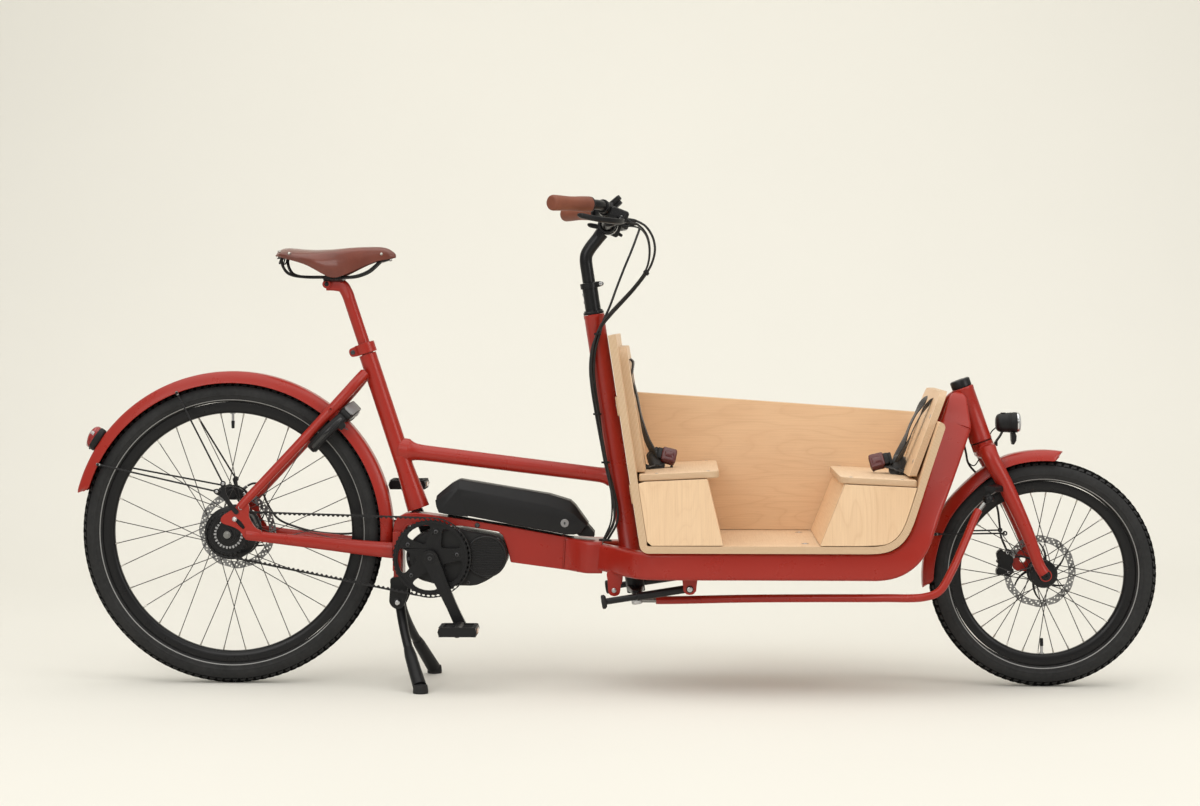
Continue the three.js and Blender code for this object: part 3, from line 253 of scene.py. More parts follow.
def flipy(vf):
    v, f = vf
    v = v.copy()
    v[:, 1] *= -1
    return v, [q[::-1] for q in f]

class Build:
    """collects closed bodies with a material each, and makes one object of them"""
    def __init__(self, name):
        self.name, self.v, self.f, self.mi, self.mats, self.n = name, [], [], [], [], 0
        self.uv, self.att = [], []
    def add(self, vf, mat, uv=None, att=None):
        v, f = vf
        v = np.array(v, float)
        if mat not in self.mats:
            self.mats.append(mat)
        k = self.mats.index(mat)
        self.v.append(v)
        self.f += [[i + self.n for i in q] for q in f]
        self.mi += [k] * len(f)
        self.uv.append(np.array(uv, float) if uv is not None else np.stack([v[:, 0], v[:, 2]], 1) / 1000)
        self.att.append(np.array(att, float) if att is not None else np.zeros(len(v)))
        self.n += len(v)
        return self
    def done(self, body, replaces=(), bevel=0.0, seg=2, ang=35, sub=0, sharp=38, recalc=True, blend=None, smooth=True, slot=None):
        me = bpy.data.meshes.new(self.name)
        v = np.concatenate(self.v)
        v = (v + np.array([DX, 0, 0])) / 1000
        me.from_pydata(v.tolist(), [], self.f)
        me.polygons.foreach_set('material_index', self.mi)
        for m in self.mats:
            me.materials.append(m)
        uvs = np.concatenate(self.uv)
        att = np.concatenate(self.att)
        loops = np.zeros(len(me.loops), np.int32)
        me.loops.foreach_get('vertex_index', loops)
        layer = me.uv_layers.new(name='grain')
        layer.data.foreach_set('uv', uvs[loops].astype(np.float32).ravel())
        if att.any():
            a = me.attributes.new('ply', 'FLOAT', 'POINT')
            a.data.foreach_set('value', att.astype(np.float32))
        if recalc:
            bm = bmesh.new()
            bm.from_mesh(me)
            bmesh.ops.recalc_face_normals(bm, faces=bm.faces)
            bm.to_mesh(me)
            bm.free()
        if smooth:
            me.polygons.foreach_set('use_smooth', [True] * len(me.polygons))
            me.set_sharp_from_angle(angle=rad(sharp))
        me.update()
        o = bpy.data.objects.new(self.name, me)
        bpy.context.scene.collection.objects.link(o)
        if bevel:
            b = o.modifiers.new('edge', 'BEVEL')
            b.width, b.segments, b.limit_method, b.angle_limit = bevel / 1000, seg, 'ANGLE', rad(ang)
            b.harden_normals = True
            b.miter_outer = 'MITER_ARC'
        if sub:
            s = o.modifiers.new('round', 'SUBSURF')
            s.levels = s.render_levels = sub
        if blend:
            apply_all(o)
            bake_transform(o)
        else:
            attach(o, body)
        if replaces:
            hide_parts(*replaces)
        return o

def apply_all(o):
    dg = bpy.context.evaluated_depsgraph_get()
    bpy.context.view_layer.update()
    me = bpy.data.meshes.new_from_object(o.evaluated_get(dg))
    o.modifiers.clear()
    o.data = me

def one(name, vf, mat, body, replaces=(), **kw):
    return Build(name).add(vf, mat).done(body, replaces, **kw)

def bolt(B, at, d, mat, r=4.5, h=4.0, dark=None, n=20):
    """button-head screw with a hex socket"""
    at, d = np.array(at, float), unit(d)
    s = r * 0.5
    B.add(turn([(0, -0.6), (r, -0.6), (r, h * 0.35), (r * 0.85, h * 0.8), (r * 0.6, h), (s, h), (s, h * 0.35), (0, h * 0.35)], at, d, n), mat)

def hexnut(B, at, d, mat, r=6.0, h=5.0):
    at, d = np.array(at, float), unit(d)
    B.add(turn([(0, 0), (r * 0.92, 0), (r, h * 0.12), (r, h * 0.88), (r * 0.92, h), (0, h)], at, d, 6), mat)

def cyl_hit(o, d, b0, bd, rb, far=False):
    """distance along ray o+t*d at which it meets the endless cylinder b0,bd,rb"""
    bd = unit(bd)
    do = d - bd * (d @ bd)
    oo = (o - b0) - bd * ((o - b0) @ bd)
    A, Bq, C = do @ do, 2 * do @ oo, oo @ oo - rb * rb
    q = Bq * Bq - 4 * A * C
    if q < 0:
        return None
    s = math.sqrt(q)
    return (-Bq + s) / (2 * A) if far else (-Bq - s) / (2 * A)

def weldring(B, a0, a1, ra, b0, b1, rb, mat, r=2.6, n=72):
    """weld bead where the tube that starts at a0 (radius ra) and runs to a1 ends on tube b"""
    a0, a1, b0, b1 = (np.array(p, float) for p in (a0, a1, b0, b1))
    d = unit(a1 - a0)
    e1 = unit(np.cross(d, [0, 1.0, 0.01]))
    e2 = np.cross(d, e1)
    pts = []
    for i in range(n):
        t = 2 * math.pi * i / n
        o = a0 + (e1 * math.cos(t) + e2 * math.sin(t)) * (ra + 0.4)
        h = cyl_hit(o - d * 400, d, b0, b1 - b0, rb, far=False)
        if h is None:
            return
        pts.append(o - d * 400 + d * h)
    pts = np.array(pts)
    L = np.linalg.norm(pts - np.roll(pts, 1, 0), axis=1).sum()
    beads = max(12, int(L / 3.2))
    path = resample(pts, beads * 3, closed=True)[:-1]
    def sec(s, i):
        k = 1.0 + 0.16 * math.cos(2 * math.pi * i / 3)
        return circle(r * k, 8)
    B.add(sweep(path, sec, closed=True, twistfree=True), mat)

# ------------------------------------------------------------------ materials
def M(name):
    m = bpy.data.materials.new(name)
    m.use_nodes = True
    nt = m.node_tree
    nt.nodes.clear()
    out = nt.nodes.new('ShaderNodeOutputMaterial')
    bs = nt.nodes.new('ShaderNodeBsdfPrincipled')
    nt.links.new(bs.outputs[0], out.inputs[0])
    return m, nt, bs

class NT:
    """short hand for wiring shader nodes"""
    def __init__(self, nt):
        self.nt = nt
    def n(self, kind, **kw):
        x = self.nt.nodes.new(kind)
        for k, v in kw.items():
            if k.startswith('i_'):
                x.inputs[k[2:].replace('_', ' ')].default_value = v
            else:
                setattr(x, k, v)
        return x
    def l(self, a, b):
        self.nt.links.new(a, b)
    def coord(self, scale=(1, 1, 1), kind='Object', rot=(0, 0, 0)):
        tc = self.n('ShaderNodeTexCoord')
        mp = self.n('ShaderNodeMapping')
        mp.inputs['Scale'].default_value = scale
        mp.inputs['Rotation'].default_value = rot
        self.l(tc.outputs[kind], mp.inputs['Vector'])
        return mp.outputs['Vector']
    def noise(self, vec, scale, detail=4, rough=0.5, dist=0.0):
        x = self.n('ShaderNodeTexNoise')
        x.inputs['Scale'].default_value = scale
        x.inputs['Detail'].default_value = detail
        x.inputs['Roughness'].default_value = rough
        x.inputs['Distortion'].default_value = dist
        self.l(vec, x.inputs['Vector'])
        return x.outputs['Fac']
    def ramp(self, fac, stops):
        x = self.n('ShaderNodeValToRGB')
        cr = x.color_ramp
        while len(cr.elements) < len(stops):
            cr.elements.new(0.5)
        for e, (p, c) in zip(cr.elements, stops):
            e.position = p
            e.color = (*c, 1) if len(c) == 3 else c
        self.l(fac, x.inputs['Fac'])
        return x.outputs['Color']
    def rng(self, fac, a, b, lo, hi):
        x = self.n('ShaderNodeMapRange')
        x.inputs['From Min'].default_value = a
        x.inputs['From Max'].default_value = b
        x.inputs['To Min'].default_value = lo
        x.inputs['To Max'].default_value = hi
        self.l(fac, x.inputs['Value'])
        return x.outputs['Result']
    def math(self, op, a, b=None):
        x = self.n('ShaderNodeMath', operation=op)
        for k, s in enumerate((a, b)):
            if s is None:
                continue
            if isinstance(s, (int, float)):
                x.inputs[k].default_value = s
            else:
                self.l(s, x.inputs[k])
        return x.outputs[0]
    def mix(self, fac, a, b, mode='MIX'):
        x = self.n('ShaderNodeMix', data_type='RGBA', blend_type=mode)
        for s, k in ((fac, 0), (a, 6), (b, 7)):
            if isinstance(s, (int, float)):
                x.inputs[k].default_value = s
            elif isinstance(s, tuple):
                x.inputs[k].default_value = (*s, 1) if len(s) == 3 else s
            else:
                self.l(s, x.inputs[k])
        return x.outputs[2]
    def bump(self, bs, height, dist, strength=1.0, chain=None):
        x = self.n('ShaderNodeBump')
        x.inputs['Strength'].default_value = strength
        x.inputs['Distance'].default_value = dist
        self.l(height, x.inputs['Height'])
        if chain is not None:
            self.l(chain, x.inputs['Normal'])
        if bs is not None:
            self.l(x.outputs[0], bs.inputs['Normal'])
        return x.outputs[0]
    def worn(self, lo=0.52, hi=0.60):
        """1 on the sharpest outer edges"""
        g = self.n('ShaderNodeNewGeometry')
        return self.rng(g.outputs['Pointiness'], lo, hi, 0, 1)

def coated(name, base, dark, rough=0.34, coat=0.25, orange=0.00006, metal=0.0, spec=0.5, edge=None, mottling=3.5):
    """powder-coated or painted metal: faint tone drift, orange peel, small dust specks"""
    m, nt, bs = M(name)
    k = NT(nt)
    vec = k.coord()
    drift = k.noise(vec, mottling, 3, 0.55)
    fine = k.noise(vec, 900, 2, 0.6)
    col = k.mix(k.rng(drift, 0.3, 0.7, 0.0, 1.0), dark, base)
    col = k.mix(k.rng(fine, 0.35, 0.65, 0.0, 0.10), col, tuple(min(1, c * 1.35 + 0.01) for c in base))
    if edge is not None:
        g = k.n('ShaderNodeNewGeometry')
        e = k.rng(g.outputs['Pointiness'], 0.53, 0.62, 0, 0.30)
        col = k.mix(e, col, edge)
    k.l(col, bs.inputs['Base Color'])
    k.l(k.rng(k.noise(vec, 26, 4, 0.6), 0.3, 0.7, rough - 0.045, rough + 0.055), bs.inputs['Roughness'])
    bs.inputs['Metallic'].default_value = metal
    bs.inputs['Specular IOR Level'].default_value = spec
    bs.inputs['Coat Weight'].default_value = coat
    bs.inputs['Coat Roughness'].default_value = 0.18
    k.bump(bs, k.noise(vec, 420, 3, 0.55), orange, 0.8)
    return m

def plastic(name, base, rough=0.5, grain=900, depth=0.00012, spec=0.45, tint=1.25):
    """moulded plastic with a fine spark-eroded grain"""
    m, nt, bs = M(name)
    k = NT(nt)
    vec = k.coord()
    v = k.n('ShaderNodeTexVoronoi', feature='SMOOTH_F1')
    v.inputs['Scale'].default_value = grain
    k.l(vec, v.inputs['Vector'])
    drift = k.noise(vec, 8, 4, 0.6)
    k.l(k.mix(k.rng(drift, 0.3, 0.7, 0, 1), base, tuple(min(1, c * tint) for c in base)), bs.inputs['Base Color'])
    k.l(k.rng(k.noise(vec, 40, 3, 0.6), 0.3, 0.7, rough - 0.05, rough + 0.06), bs.inputs['Roughness'])
    bs.inputs['Specular IOR Level'].default_value = spec
    k.bump(bs, v.outputs['Distance'], depth, 0.7)
    return m

def metal(name, base, rough=0.3, brush=None, axis='x', depth=0.00003, streak=0.25):
    m, nt, bs = M(name)
    k = NT(nt)
    sc = {'x': (2, 60, 60), 'y': (60, 2, 60), 'z': (60, 60, 2), None: (20, 20, 20)}[axis]
    vec = k.coord(sc)
    s = k.noise(vec, 20, 4, 0.6)
    col = k.mix(k.rng(s, 0.3, 0.7, 0, 1), tuple(c * (1 - streak) for c in base), base)
    k.l(col, bs.inputs['Base Color'])
    bs.inputs['Metallic'].default_value = 1.0
    k.l(k.rng(s, 0.3, 0.7, rough - 0.07, rough + 0.08), bs.inputs['Roughness'])
    k.bump(bs, s, depth, 0.6)
    return m

RED = coated('paint_red', (0.335, 0.0175, 0.0088), (0.305, 0.0152, 0.0078), rough=0.30, coat=0.09, orange=0.000025, spec=0.36, edge=(0.36, 0.026, 0.015), mottling=2.2)
RED_WELD = coated('paint_red_weld', (0.30, 0.020, 0.011), (0.25, 0.015, 0.008), rough=0.40, coat=0.08, spec=0.34, orange=0.0001)
BLACK = coated('paint_black', (0.0070, 0.0070, 0.0078), (0.0045, 0.0045, 0.0050), rough=0.36, coat=0.04, spec=0.26, edge=(0.020, 0.020, 0.021))
BLACK_SATIN = coated('anodised_black', (0.010, 0.010, 0.011), (0.0065, 0.0065, 0.0072), rough=0.30, coat=0.0, metal=0.2, spec=0.30, edge=(0.040, 0.040, 0.042))
PLASTIC = plastic('plastic_black', (0.0075, 0.0075, 0.0082), 0.46, spec=0.26)
BATT = plastic('battery_shell', (0.0105, 0.0105, 0.0115), 0.38, grain=1100, depth=0.00009, spec=0.22)
PLASTIC_SOFT = plastic('plastic_soft', (0.012, 0.012, 0.013), 0.62, grain=600, depth=0.0002, spec=0.26)
PLASTIC_GLOSS = plastic('plastic_gloss', (0.008, 0.008, 0.009), 0.16, grain=300, depth=0.00001, spec=0.6)
GREY_PLASTIC = plastic('plastic_grey', (0.20, 0.20, 0.205), 0.42)
MOTOR = plastic('motor_casing', (0.0090, 0.0088, 0.0095), 0.42, grain=700, depth=0.00016, spec=0.30)
STEEL = metal('steel_brushed', (0.60, 0.60, 0.61), 0.27, axis=None)
STAINLESS = metal('steel_spoke', (0.42, 0.42, 0.43), 0.30, axis=None)
DARK_STEEL = metal('steel_dark', (0.10, 0.10, 0.105), 0.38, axis=None)
ALU = metal('aluminium_cast', (0.52, 0.52, 0.53), 0.36, axis=None, depth=0.00006)
CHROME = metal('chrome', (0.80, 0.80, 0.81), 0.10, axis=None, depth=0.00001, streak=0.06)
BRASSY = metal('brass_nipple', (0.50, 0.48, 0.44), 0.28, axis=None)

def make_rotor():
    m, nt, bs = M('steel_rotor')
    k = NT(nt)
    vec = k.coord((1, 1, 1))
    s = k.noise(vec, 260, 4, 0.65)
    k.l(k.mix(k.rng(s, 0.3, 0.7, 0, 1), (0.17, 0.17, 0.172), (0.34, 0.34, 0.345)), bs.inputs['Base Color'])
    bs.inputs['Metallic'].default_value = 1.0
    k.l(k.rng(s, 0.3, 0.7, 0.24, 0.40), bs.inputs['Roughness'])
    k.bump(bs, s, 0.00004, 0.7)
    return m
ROTOR = make_rotor()

def make_tyre(name, base, hi, spec=0.35):
    m, nt, bs = M(name)
    k = NT(nt)
    vec = k.coord()
    dust = k.noise(vec, 14, 5, 0.65)
    k.l(k.mix(k.rng(dust, 0.35, 0.75, 0, 1), base, hi), bs.inputs['Base Color'])
    k.l(k.rng(k.noise(vec, 90, 4, 0.6), 0.3, 0.7, 0.62, 0.80), bs.inputs['Roughness'])
    bs.inputs['Specular IOR Level'].default_value = spec
    k.bump(bs, k.noise(vec, 700, 4, 0.65), 0.00018, 0.7)
    return m
TYRE = make_tyre('rubber_tyre', (0.0115, 0.0116, 0.0121), (0.020, 0.020, 0.0205))
# darker rubber with little sheen for the tread band; the grooves between the shoulder blocks take it too: painted shade
# in the grooves
TREAD_AND_GROOVE_SHADE = make_tyre('rubber_tread_and_groove_shade', (0.0030, 0.0030, 0.0032), (0.0062, 0.0062, 0.0064), 0.04)
RUBBER = make_tyre('rubber_belt', (0.010, 0.010, 0.0105), (0.018, 0.018, 0.0185))
HOSE = make_tyre('rubber_hose', (0.009, 0.009, 0.0095), (0.013, 0.013, 0.0135))
HOSE.node_tree.nodes['Principled BSDF'].inputs['Coat Weight'].default_value = 0.35
HOSE.node_tree.nodes['Principled BSDF'].inputs['Coat Roughness'].default_value = 0.25

def make_reflective():
    m, nt, bs = M('tyre_reflective')
    k = NT(nt)
    vec = k.coord()
    h = k.n('ShaderNodeTexVoronoi')
    h.inputs['Scale'].default_value = 1500
    k.l(vec, h.inputs['Vector'])
    k.l(k.mix(k.rng(h.outputs['Distance'], 0, 0.6, 0, 1), (0.17, 0.17, 0.17), (0.27, 0.27, 0.265)), bs.inputs['Base Color'])
    k.l(k.rng(k.noise(vec, 60, 3), 0.3, 0.7, 0.42, 0.55), bs.inputs['Roughness'])
    k.bump(bs, h.outputs['Distance'], 0.00005, 0.6)
    return m
REFLECT = make_reflective()

def make_ply(name, warm, pale, dark, seed=0.0, sx=1.0):
    """rotary-cut birch: contour lines of a stretched height field, fine fibres, small knots, satin lacquer.
    UV is metres: U along the grain."""
    m, nt, bs = M(name)
    k = NT(nt)
    uv = k.n('ShaderNodeUVMap', uv_map='grain')
    mp = k.n('ShaderNodeMapping')
    mp.inputs['Location'].default_value = (seed, seed * 0.7, 0)
    k.l(uv.outputs['UV'], mp.inputs['Vector'])
    base = mp.outputs['Vector']
    def stretch(sx_, sy_):
        q = k.n('ShaderNodeMapping')
        q.inputs['Scale'].default_value = (sx_, sy_, 1)
        k.l(base, q.inputs['Vector'])
        return q.outputs['Vector']
    # height field, long along the grain
    h = k.noise(stretch(1.3 * sx, 6.4), 1.0, 3, 0.46, 0.25)
    lines = k.math('FRACT', k.math('MULTIPLY', h, 22.0))
    late = k.ramp(lines, [(0.0, (1, 1, 1)), (0.10, (0.25, 0.25, 0.25)), (0.55, (0, 0, 0)), (0.90, (0.45, 0.45, 0.45)), (1.0, (1, 1, 1))])
    amp = k.noise(stretch(1.1, 2.6), 2.2, 2, 0.5)
    late = k.math('MULTIPLY', late, k.rng(amp, 0.35, 0.65, 0.08, 0.36))
    fibre = k.noise(stretch(9, 420), 1.0, 3, 0.6)
    fleck = k.noise(stretch(70, 900), 1.0, 2, 0.5)
    tone = k.noise(stretch(0.9, 2.4), 1.3, 3, 0.5)
    col = k.mix(k.rng(tone, 0.30, 0.70, 0, 1), warm, pale)
    col = k.mix(late, col, dark)
    col = k.mix(k.rng(fibre, 0.42, 0.72, 0.0, 0.22), col, tuple(c * 0.80 for c in dark))
    col = k.mix(k.rng(fleck, 0.66, 0.78, 0.0, 0.30), col, tuple(c * 0.55 for c in dark))
    # small pin knots
    kn = k.n('ShaderNodeTexVoronoi', feature='F1')
    kn.inputs['Scale'].default_value = 5.2
    kn.inputs['Randomness'].default_value = 1.0
    k.l(stretch(0.75, 1.3), kn.inputs['Vector'])
    gate = k.n('ShaderNodeSeparateColor')
    k.l(kn.outputs['Color'], gate.inputs[0])
    some = k.rng(gate.outputs[0], 0.80, 0.84, 0, 1)
    core = k.rng(kn.outputs['Distance'], 0.012, 0.030, 1, 0)
    halo = k.rng(kn.outputs['Distance'], 0.02, 0.10, 0.45, 0)
    col = k.mix(k.math('MULTIPLY', halo, some), col, tuple(c * 0.70 for c in dark))
    col = k.mix(k.math('MULTIPLY', core, some), col, (0.13, 0.055, 0.022))
    k.l(col, bs.inputs['Base Color'])
    k.l(k.rng(fibre, 0.3, 0.7, 0.44, 0.56), bs.inputs['Roughness'])
    bs.inputs['Coat Weight'].default_value = 0.12
    bs.inputs['Coat Roughness'].default_value = 0.35
    b1 = k.bump(None, fibre, 0.00010, 0.5)
    k.bump(bs, late, 0.00008, 0.4, chain=b1)
    return m
PLY = make_ply('ply_face', (0.74, 0.495, 0.295), (0.84, 0.61, 0.39), (0.60, 0.365, 0.20))
# duller, less saturated copy of the ply face, put on the faces that look up (the tray floor and the seat boards):
# painted light from above
PLY_PAINTED_TOPLIGHT = make_ply('ply_face_painted_toplight', (0.67, 0.465, 0.29), (0.75, 0.56, 0.375), (0.56, 0.36, 0.21), seed=3.7, sx=1.3)

def make_plyedge():
    """cut edge: alternating long-grain and end-grain veneers from the 'ply' attribute"""
    m, nt, bs = M('ply_edge')
    k = NT(nt)
    at = k.n('ShaderNodeAttribute', attribute_name='ply')
    vec = k.coord()
    wob = k.noise(vec, 30, 3, 0.5)
    x = k.math('ADD', k.math('MULTIPLY', at.outputs['Fac'], 6.0), k.rng(wob, 0, 1, -0.10, 0.10))
    fr = k.math('FRACT', x)
    lay = k.ramp(fr, [(0.0, (0, 0, 0)), (0.04, (0.06, 0.06, 0.06)), (0.46, (0.1, 0.1, 0.1)), (0.52, (1, 1, 1)), (0.96, (0.9, 0.9, 0.9)), (1.0, (0, 0, 0))])
    col = k.mix(lay, (0.66, 0.49, 0.325), (0.51, 0.335, 0.195))
    speck = k.noise(k.coord((140, 140, 900)), 1.0, 3, 0.6)
    col = k.mix(k.rng(speck, 0.5, 0.8, 0, 0.25), col, (0.42, 0.25, 0.12))
    k.l(col, bs.inputs['Base Color'])
    k.l(k.rng(speck, 0.3, 0.7, 0.52, 0.66), bs.inputs['Roughness'])
    k.bump(bs, lay, 0.00010, 0.5)
    return m
PLY_EDGE = make_plyedge()

def make_leather(name, base, dark, rough, scale, wear):
    m, nt, bs = M(name)
    k = NT(nt)
    vec = k.coord()
    v = k.n('ShaderNodeTexVoronoi', feature='F1')
    v.inputs['Scale'].default_value = scale
    k.l(vec, v.inputs['Vector'])
    v2 = k.n('ShaderNodeTexVoronoi', feature='F1')
    v2.inputs['Scale'].default_value = scale * 2.3
    k.l(vec, v2.inputs['Vector'])
    mott = k.noise(vec, 18, 5, 0.6)
    col = k.mix(k.rng(mott, 0.3, 0.7, 0, 1), dark, base)
    col = k.mix(k.rng(k.noise(vec, 6, 3, 0.5), 0.45, 0.75, 0, wear), col, tuple(min(1, c * 1.7) for c in base))
    col = k.mix(k.rng(v.outputs['Distance'], 0.0, 0.5, 0.35, 0), col, tuple(c * 0.6 for c in dark))
    k.l(col, bs.inputs['Base Color'])
    k.l(k.rng(mott, 0.3, 0.7, rough - 0.06, rough + 0.08), bs.inputs['Roughness'])
    bs.inputs['Specular IOR Level'].default_value = 0.32
    bs.inputs['Coat Weight'].default_value = 0.16
    bs.inputs['Coat Roughness'].default_value = 0.20
    b1 = k.bump(None, v.outputs['Distance'], 0.00022, 0.6)
    k.bump(bs, v2.outputs['Distance'], 0.00010, 0.5, chain=b1)
    return m
LEATHER = make_leather('leather_saddle', (0.165, 0.040, 0.024), (0.110, 0.026, 0.0155), 0.33, 620, 0.26)
LEATHER.node_tree.nodes['Principled BSDF'].inputs['Coat Weight'].default_value = 0.42
LEATHER.node_tree.nodes['Principled BSDF'].inputs['Coat Roughness'].default_value = 0.13
GRIPMAT = make_leather('leather_grip', (0.225, 0.068, 0.036), (0.160, 0.045, 0.024), 0.50, 520, 0.25)
for gm in (GRIPMAT,):
    gm.node_tree.nodes['Principled BSDF'].inputs['Coat Weight'].default_value = 0.08

def make_webbing(name, base, rib=900.0, depth=0.00035):
    m, nt, bs = M(name)
    k = NT(nt)
    uv = k.n('ShaderNodeUVMap', uv_map='grain')
    def wave(dirn, sc):
        w = k.n('ShaderNodeTexWave', wave_type='BANDS', bands_direction=dirn, wave_profile='SIN')
        w.inputs['Scale'].default_value = sc
        w.inputs['Distortion'].default_value = 0.6
        w.inputs['Detail Scale'].default_value = 3.0
        k.l(uv.outputs['UV'], w.inputs['Vector'])
        return w.outputs['Fac']
    a, b = wave('X', rib / 6.28 * 0.9), wave('Y', rib / 6.28 * 0.55)
    # the weave's height sets both the bump and the colour: painted light on the thread tops, painted shade between the
    # threads
    weave_height_and_shade = k.math('MULTIPLY', a, b)
    col = k.mix(weave_height_and_shade, tuple(c * 0.45 for c in base), tuple(min(1, c * 1.9) for c in base))
    k.l(col, bs.inputs['Base Color'])
    bs.inputs['Roughness'].default_value = 0.72
    bs.inputs['Sheen Weight'].default_value = 0.35
    bs.inputs['Sheen Roughness'].default_value = 0.4
    k.bump(bs, weave_height_and_shade, depth, 0.8)
    return m
WEB = make_webbing('webbing_black', (0.014, 0.014, 0.015))

def make_padfabric():
    m, nt, bs = M('fabric_pad')
    k = NT(nt)
    vec = k.coord((1, 1, 1))
    v = k.n('ShaderNodeTexVoronoi', feature='F1')
    v.inputs['Scale'].default_value = 900
    k.l(vec, v.inputs['Vector'])
    col = k.mix(k.rng(v.outputs['Distance'], 0, 0.5, 0, 1), (0.007, 0.007, 0.0075), (0.026, 0.026, 0.027))
    k.l(col, bs.inputs['Base Color'])
    bs.inputs['Roughness'].default_value = 0.82
    bs.inputs['Sheen Weight'].default_value = 0.4
    b1 = k.bump(None, k.noise(vec, 60, 3, 0.5), 0.0008, 0.5)
    k.bump(bs, v.outputs['Distance'], 0.0004, 0.8, chain=b1)
    return m
PADFAB = make_padfabric()
BUCKLE_RED = plastic('plastic_buckle_red', (0.080, 0.012, 0.012), 0.22, grain=500, depth=0.00005, spec=0.5)
CLIP_METAL = metal('clip_metal', (0.30, 0.30, 0.29), 0.34, axis=None)

def make_lens(name, col, rough, trans):
    m, nt, bs = M(name)
    k = NT(nt)
    vec = k.coord()
    v = k.n('ShaderNodeTexVoronoi', feature='F1')
    v.inputs['Scale'].default_value = 260
    v.inputs['Randomness'].default_value = 0.0
    k.l(vec, v.inputs['Vector'])
    k.l(k.mix(k.rng(v.outputs['Distance'], 0, 0.7, 0, 1), tuple(c * 0.6 for c in col), col), bs.inputs['Base Color'])
    bs.inputs['Roughness'].default_value = rough
    bs.inputs['Transmission Weight'].default_value = trans
    bs.inputs['IOR'].default_value = 1.49
    bs.inputs['Coat Weight'].default_value = 0.6
    bs.inputs['Coat Roughness'].default_value = 0.05
    k.bump(bs, v.outputs['Distance'], 0.0006, 0.7)
    return m
LENS_RED = make_lens('lens_red', (0.42, 0.010, 0.010), 0.12, 0.25)
LENS_CLEAR = make_lens('lens_clear', (0.86, 0.87, 0.88), 0.08, 0.55)
REFLECTOR = metal('reflector_silver', (0.78, 0.79, 0.80), 0.14, axis=None)

# ------------------------------------------------------------------ camera, floor, light
cam = bpy.data.cameras.new('camera')
cam.sensor_width, cam.lens = 36.0, 76.357
cam.clip_start, cam.clip_end = 0.05, 60
camo = bpy.data.objects.new('camera', cam)
camo.location = (0.15349, -5.80922, 0.84249)
camo.rotation_euler = (rad(90 - 1.95474), 0, rad(1.82434))
bpy.context.scene.collection.objects.link(camo)
bpy.context.scene.camera = camo
bpy.context.scene.view_settings.view_transform = 'Standard'
bpy.context.scene.view_settings.look = 'None'

def make_floor():
    m, nt, bs = M('studio_floor')
    k = NT(nt)
    vec = k.coord()
    k.l(k.mix(k.rng(k.noise(vec, 0.8, 2), 0.3, 0.7, 0, 1), (0.715, 0.702, 0.652), (0.73, 0.716, 0.665)), bs.inputs['Base Color'])
    bs.inputs['Roughness'].default_value = 0.75
    bs.inputs['Specular IOR Level'].default_value = 0.2
    return m
FLOOR = make_floor()
prof = [(-9.0, 0.0), (2.2, 0.0)] + [(2.2 + 2.4 * math.sin(rad(a)), 2.4 * (1 - math.cos(rad(a)))) for a in range(6, 91, 6)] + [(4.6, 9.0)]
fv, ff = [], []
for i, (y, z) in enumerate(prof):
    fv += [(-14, y, z), (14, y, z)]
    if i:
        ff.append([2 * i - 2, 2 * i - 1, 2 * i + 1, 2 * i])
fm = bpy.data.meshes.new('floor')
fm.from_pydata(fv, [], ff)
fm.materials.append(FLOOR)
fm.polygons.foreach_set('use_smooth', [True] * len(fm.polygons))
floor = bpy.data.objects.new('floor', fm)
bpy.context.scene.collection.objects.link(floor)

world = bpy.data.worlds.new('studio')
bpy.context.scene.world = world
world.use_nodes = True
wbg = world.node_tree.nodes['Background']
wbg.inputs['Color'].default_value = (1.0, 0.980, 0.928, 1)
_w = NT(world.node_tree)
_z = _w.n('ShaderNodeSeparateXYZ')
_w.l(_w.n('ShaderNodeTexCoord').outputs['Generated'], _z.inputs[0])
_w.l(_w.rng(_z.outputs[2], 0.05, 0.85, 0.295, 0.86), wbg.inputs['Strength'])

def area(name, loc, target, size, power, color=(1, 1, 1), sy=None):
    l = bpy.data.lights.new(name, 'AREA')
    l.shape = 'RECTANGLE' if sy else 'SQUARE'
    l.size = size
    if sy:
        l.size_y = sy
    l.energy, l.color = power, color
    o = bpy.data.objects.new(name, l)
    o.location = loc
    o.rotation_euler = (Vector(target) - Vector(loc)).to_track_quat('-Z', 'Y').to_euler()
    bpy.context.scene.collection.objects.link(o)
    return o
area('top', (0.0, -0.6, 4.2), (0, 0.1, 0), 7.0, 132, (1, 0.985, 0.95), 4.6)
area('front', (-2.6, -5.6, 3.0), (0, 0, 0.4), 4.2, 106, (1, 0.985, 0.96), 2.6)
area('side', (4.4, -3.2, 2.4), (0.2, 0, 0.4), 2.4, 56, (1, 0.98, 0.95), 2.0)
area('back', (0.0, 2.6, 3.8), (0, 4.6, 1.2), 6.0, 40, (1, 0.98, 0.93), 1.6)

# ------------------------------------------------------------------ wheels
REAR, FRONT = (-874.0, 347.0), (976.0, 258.0)

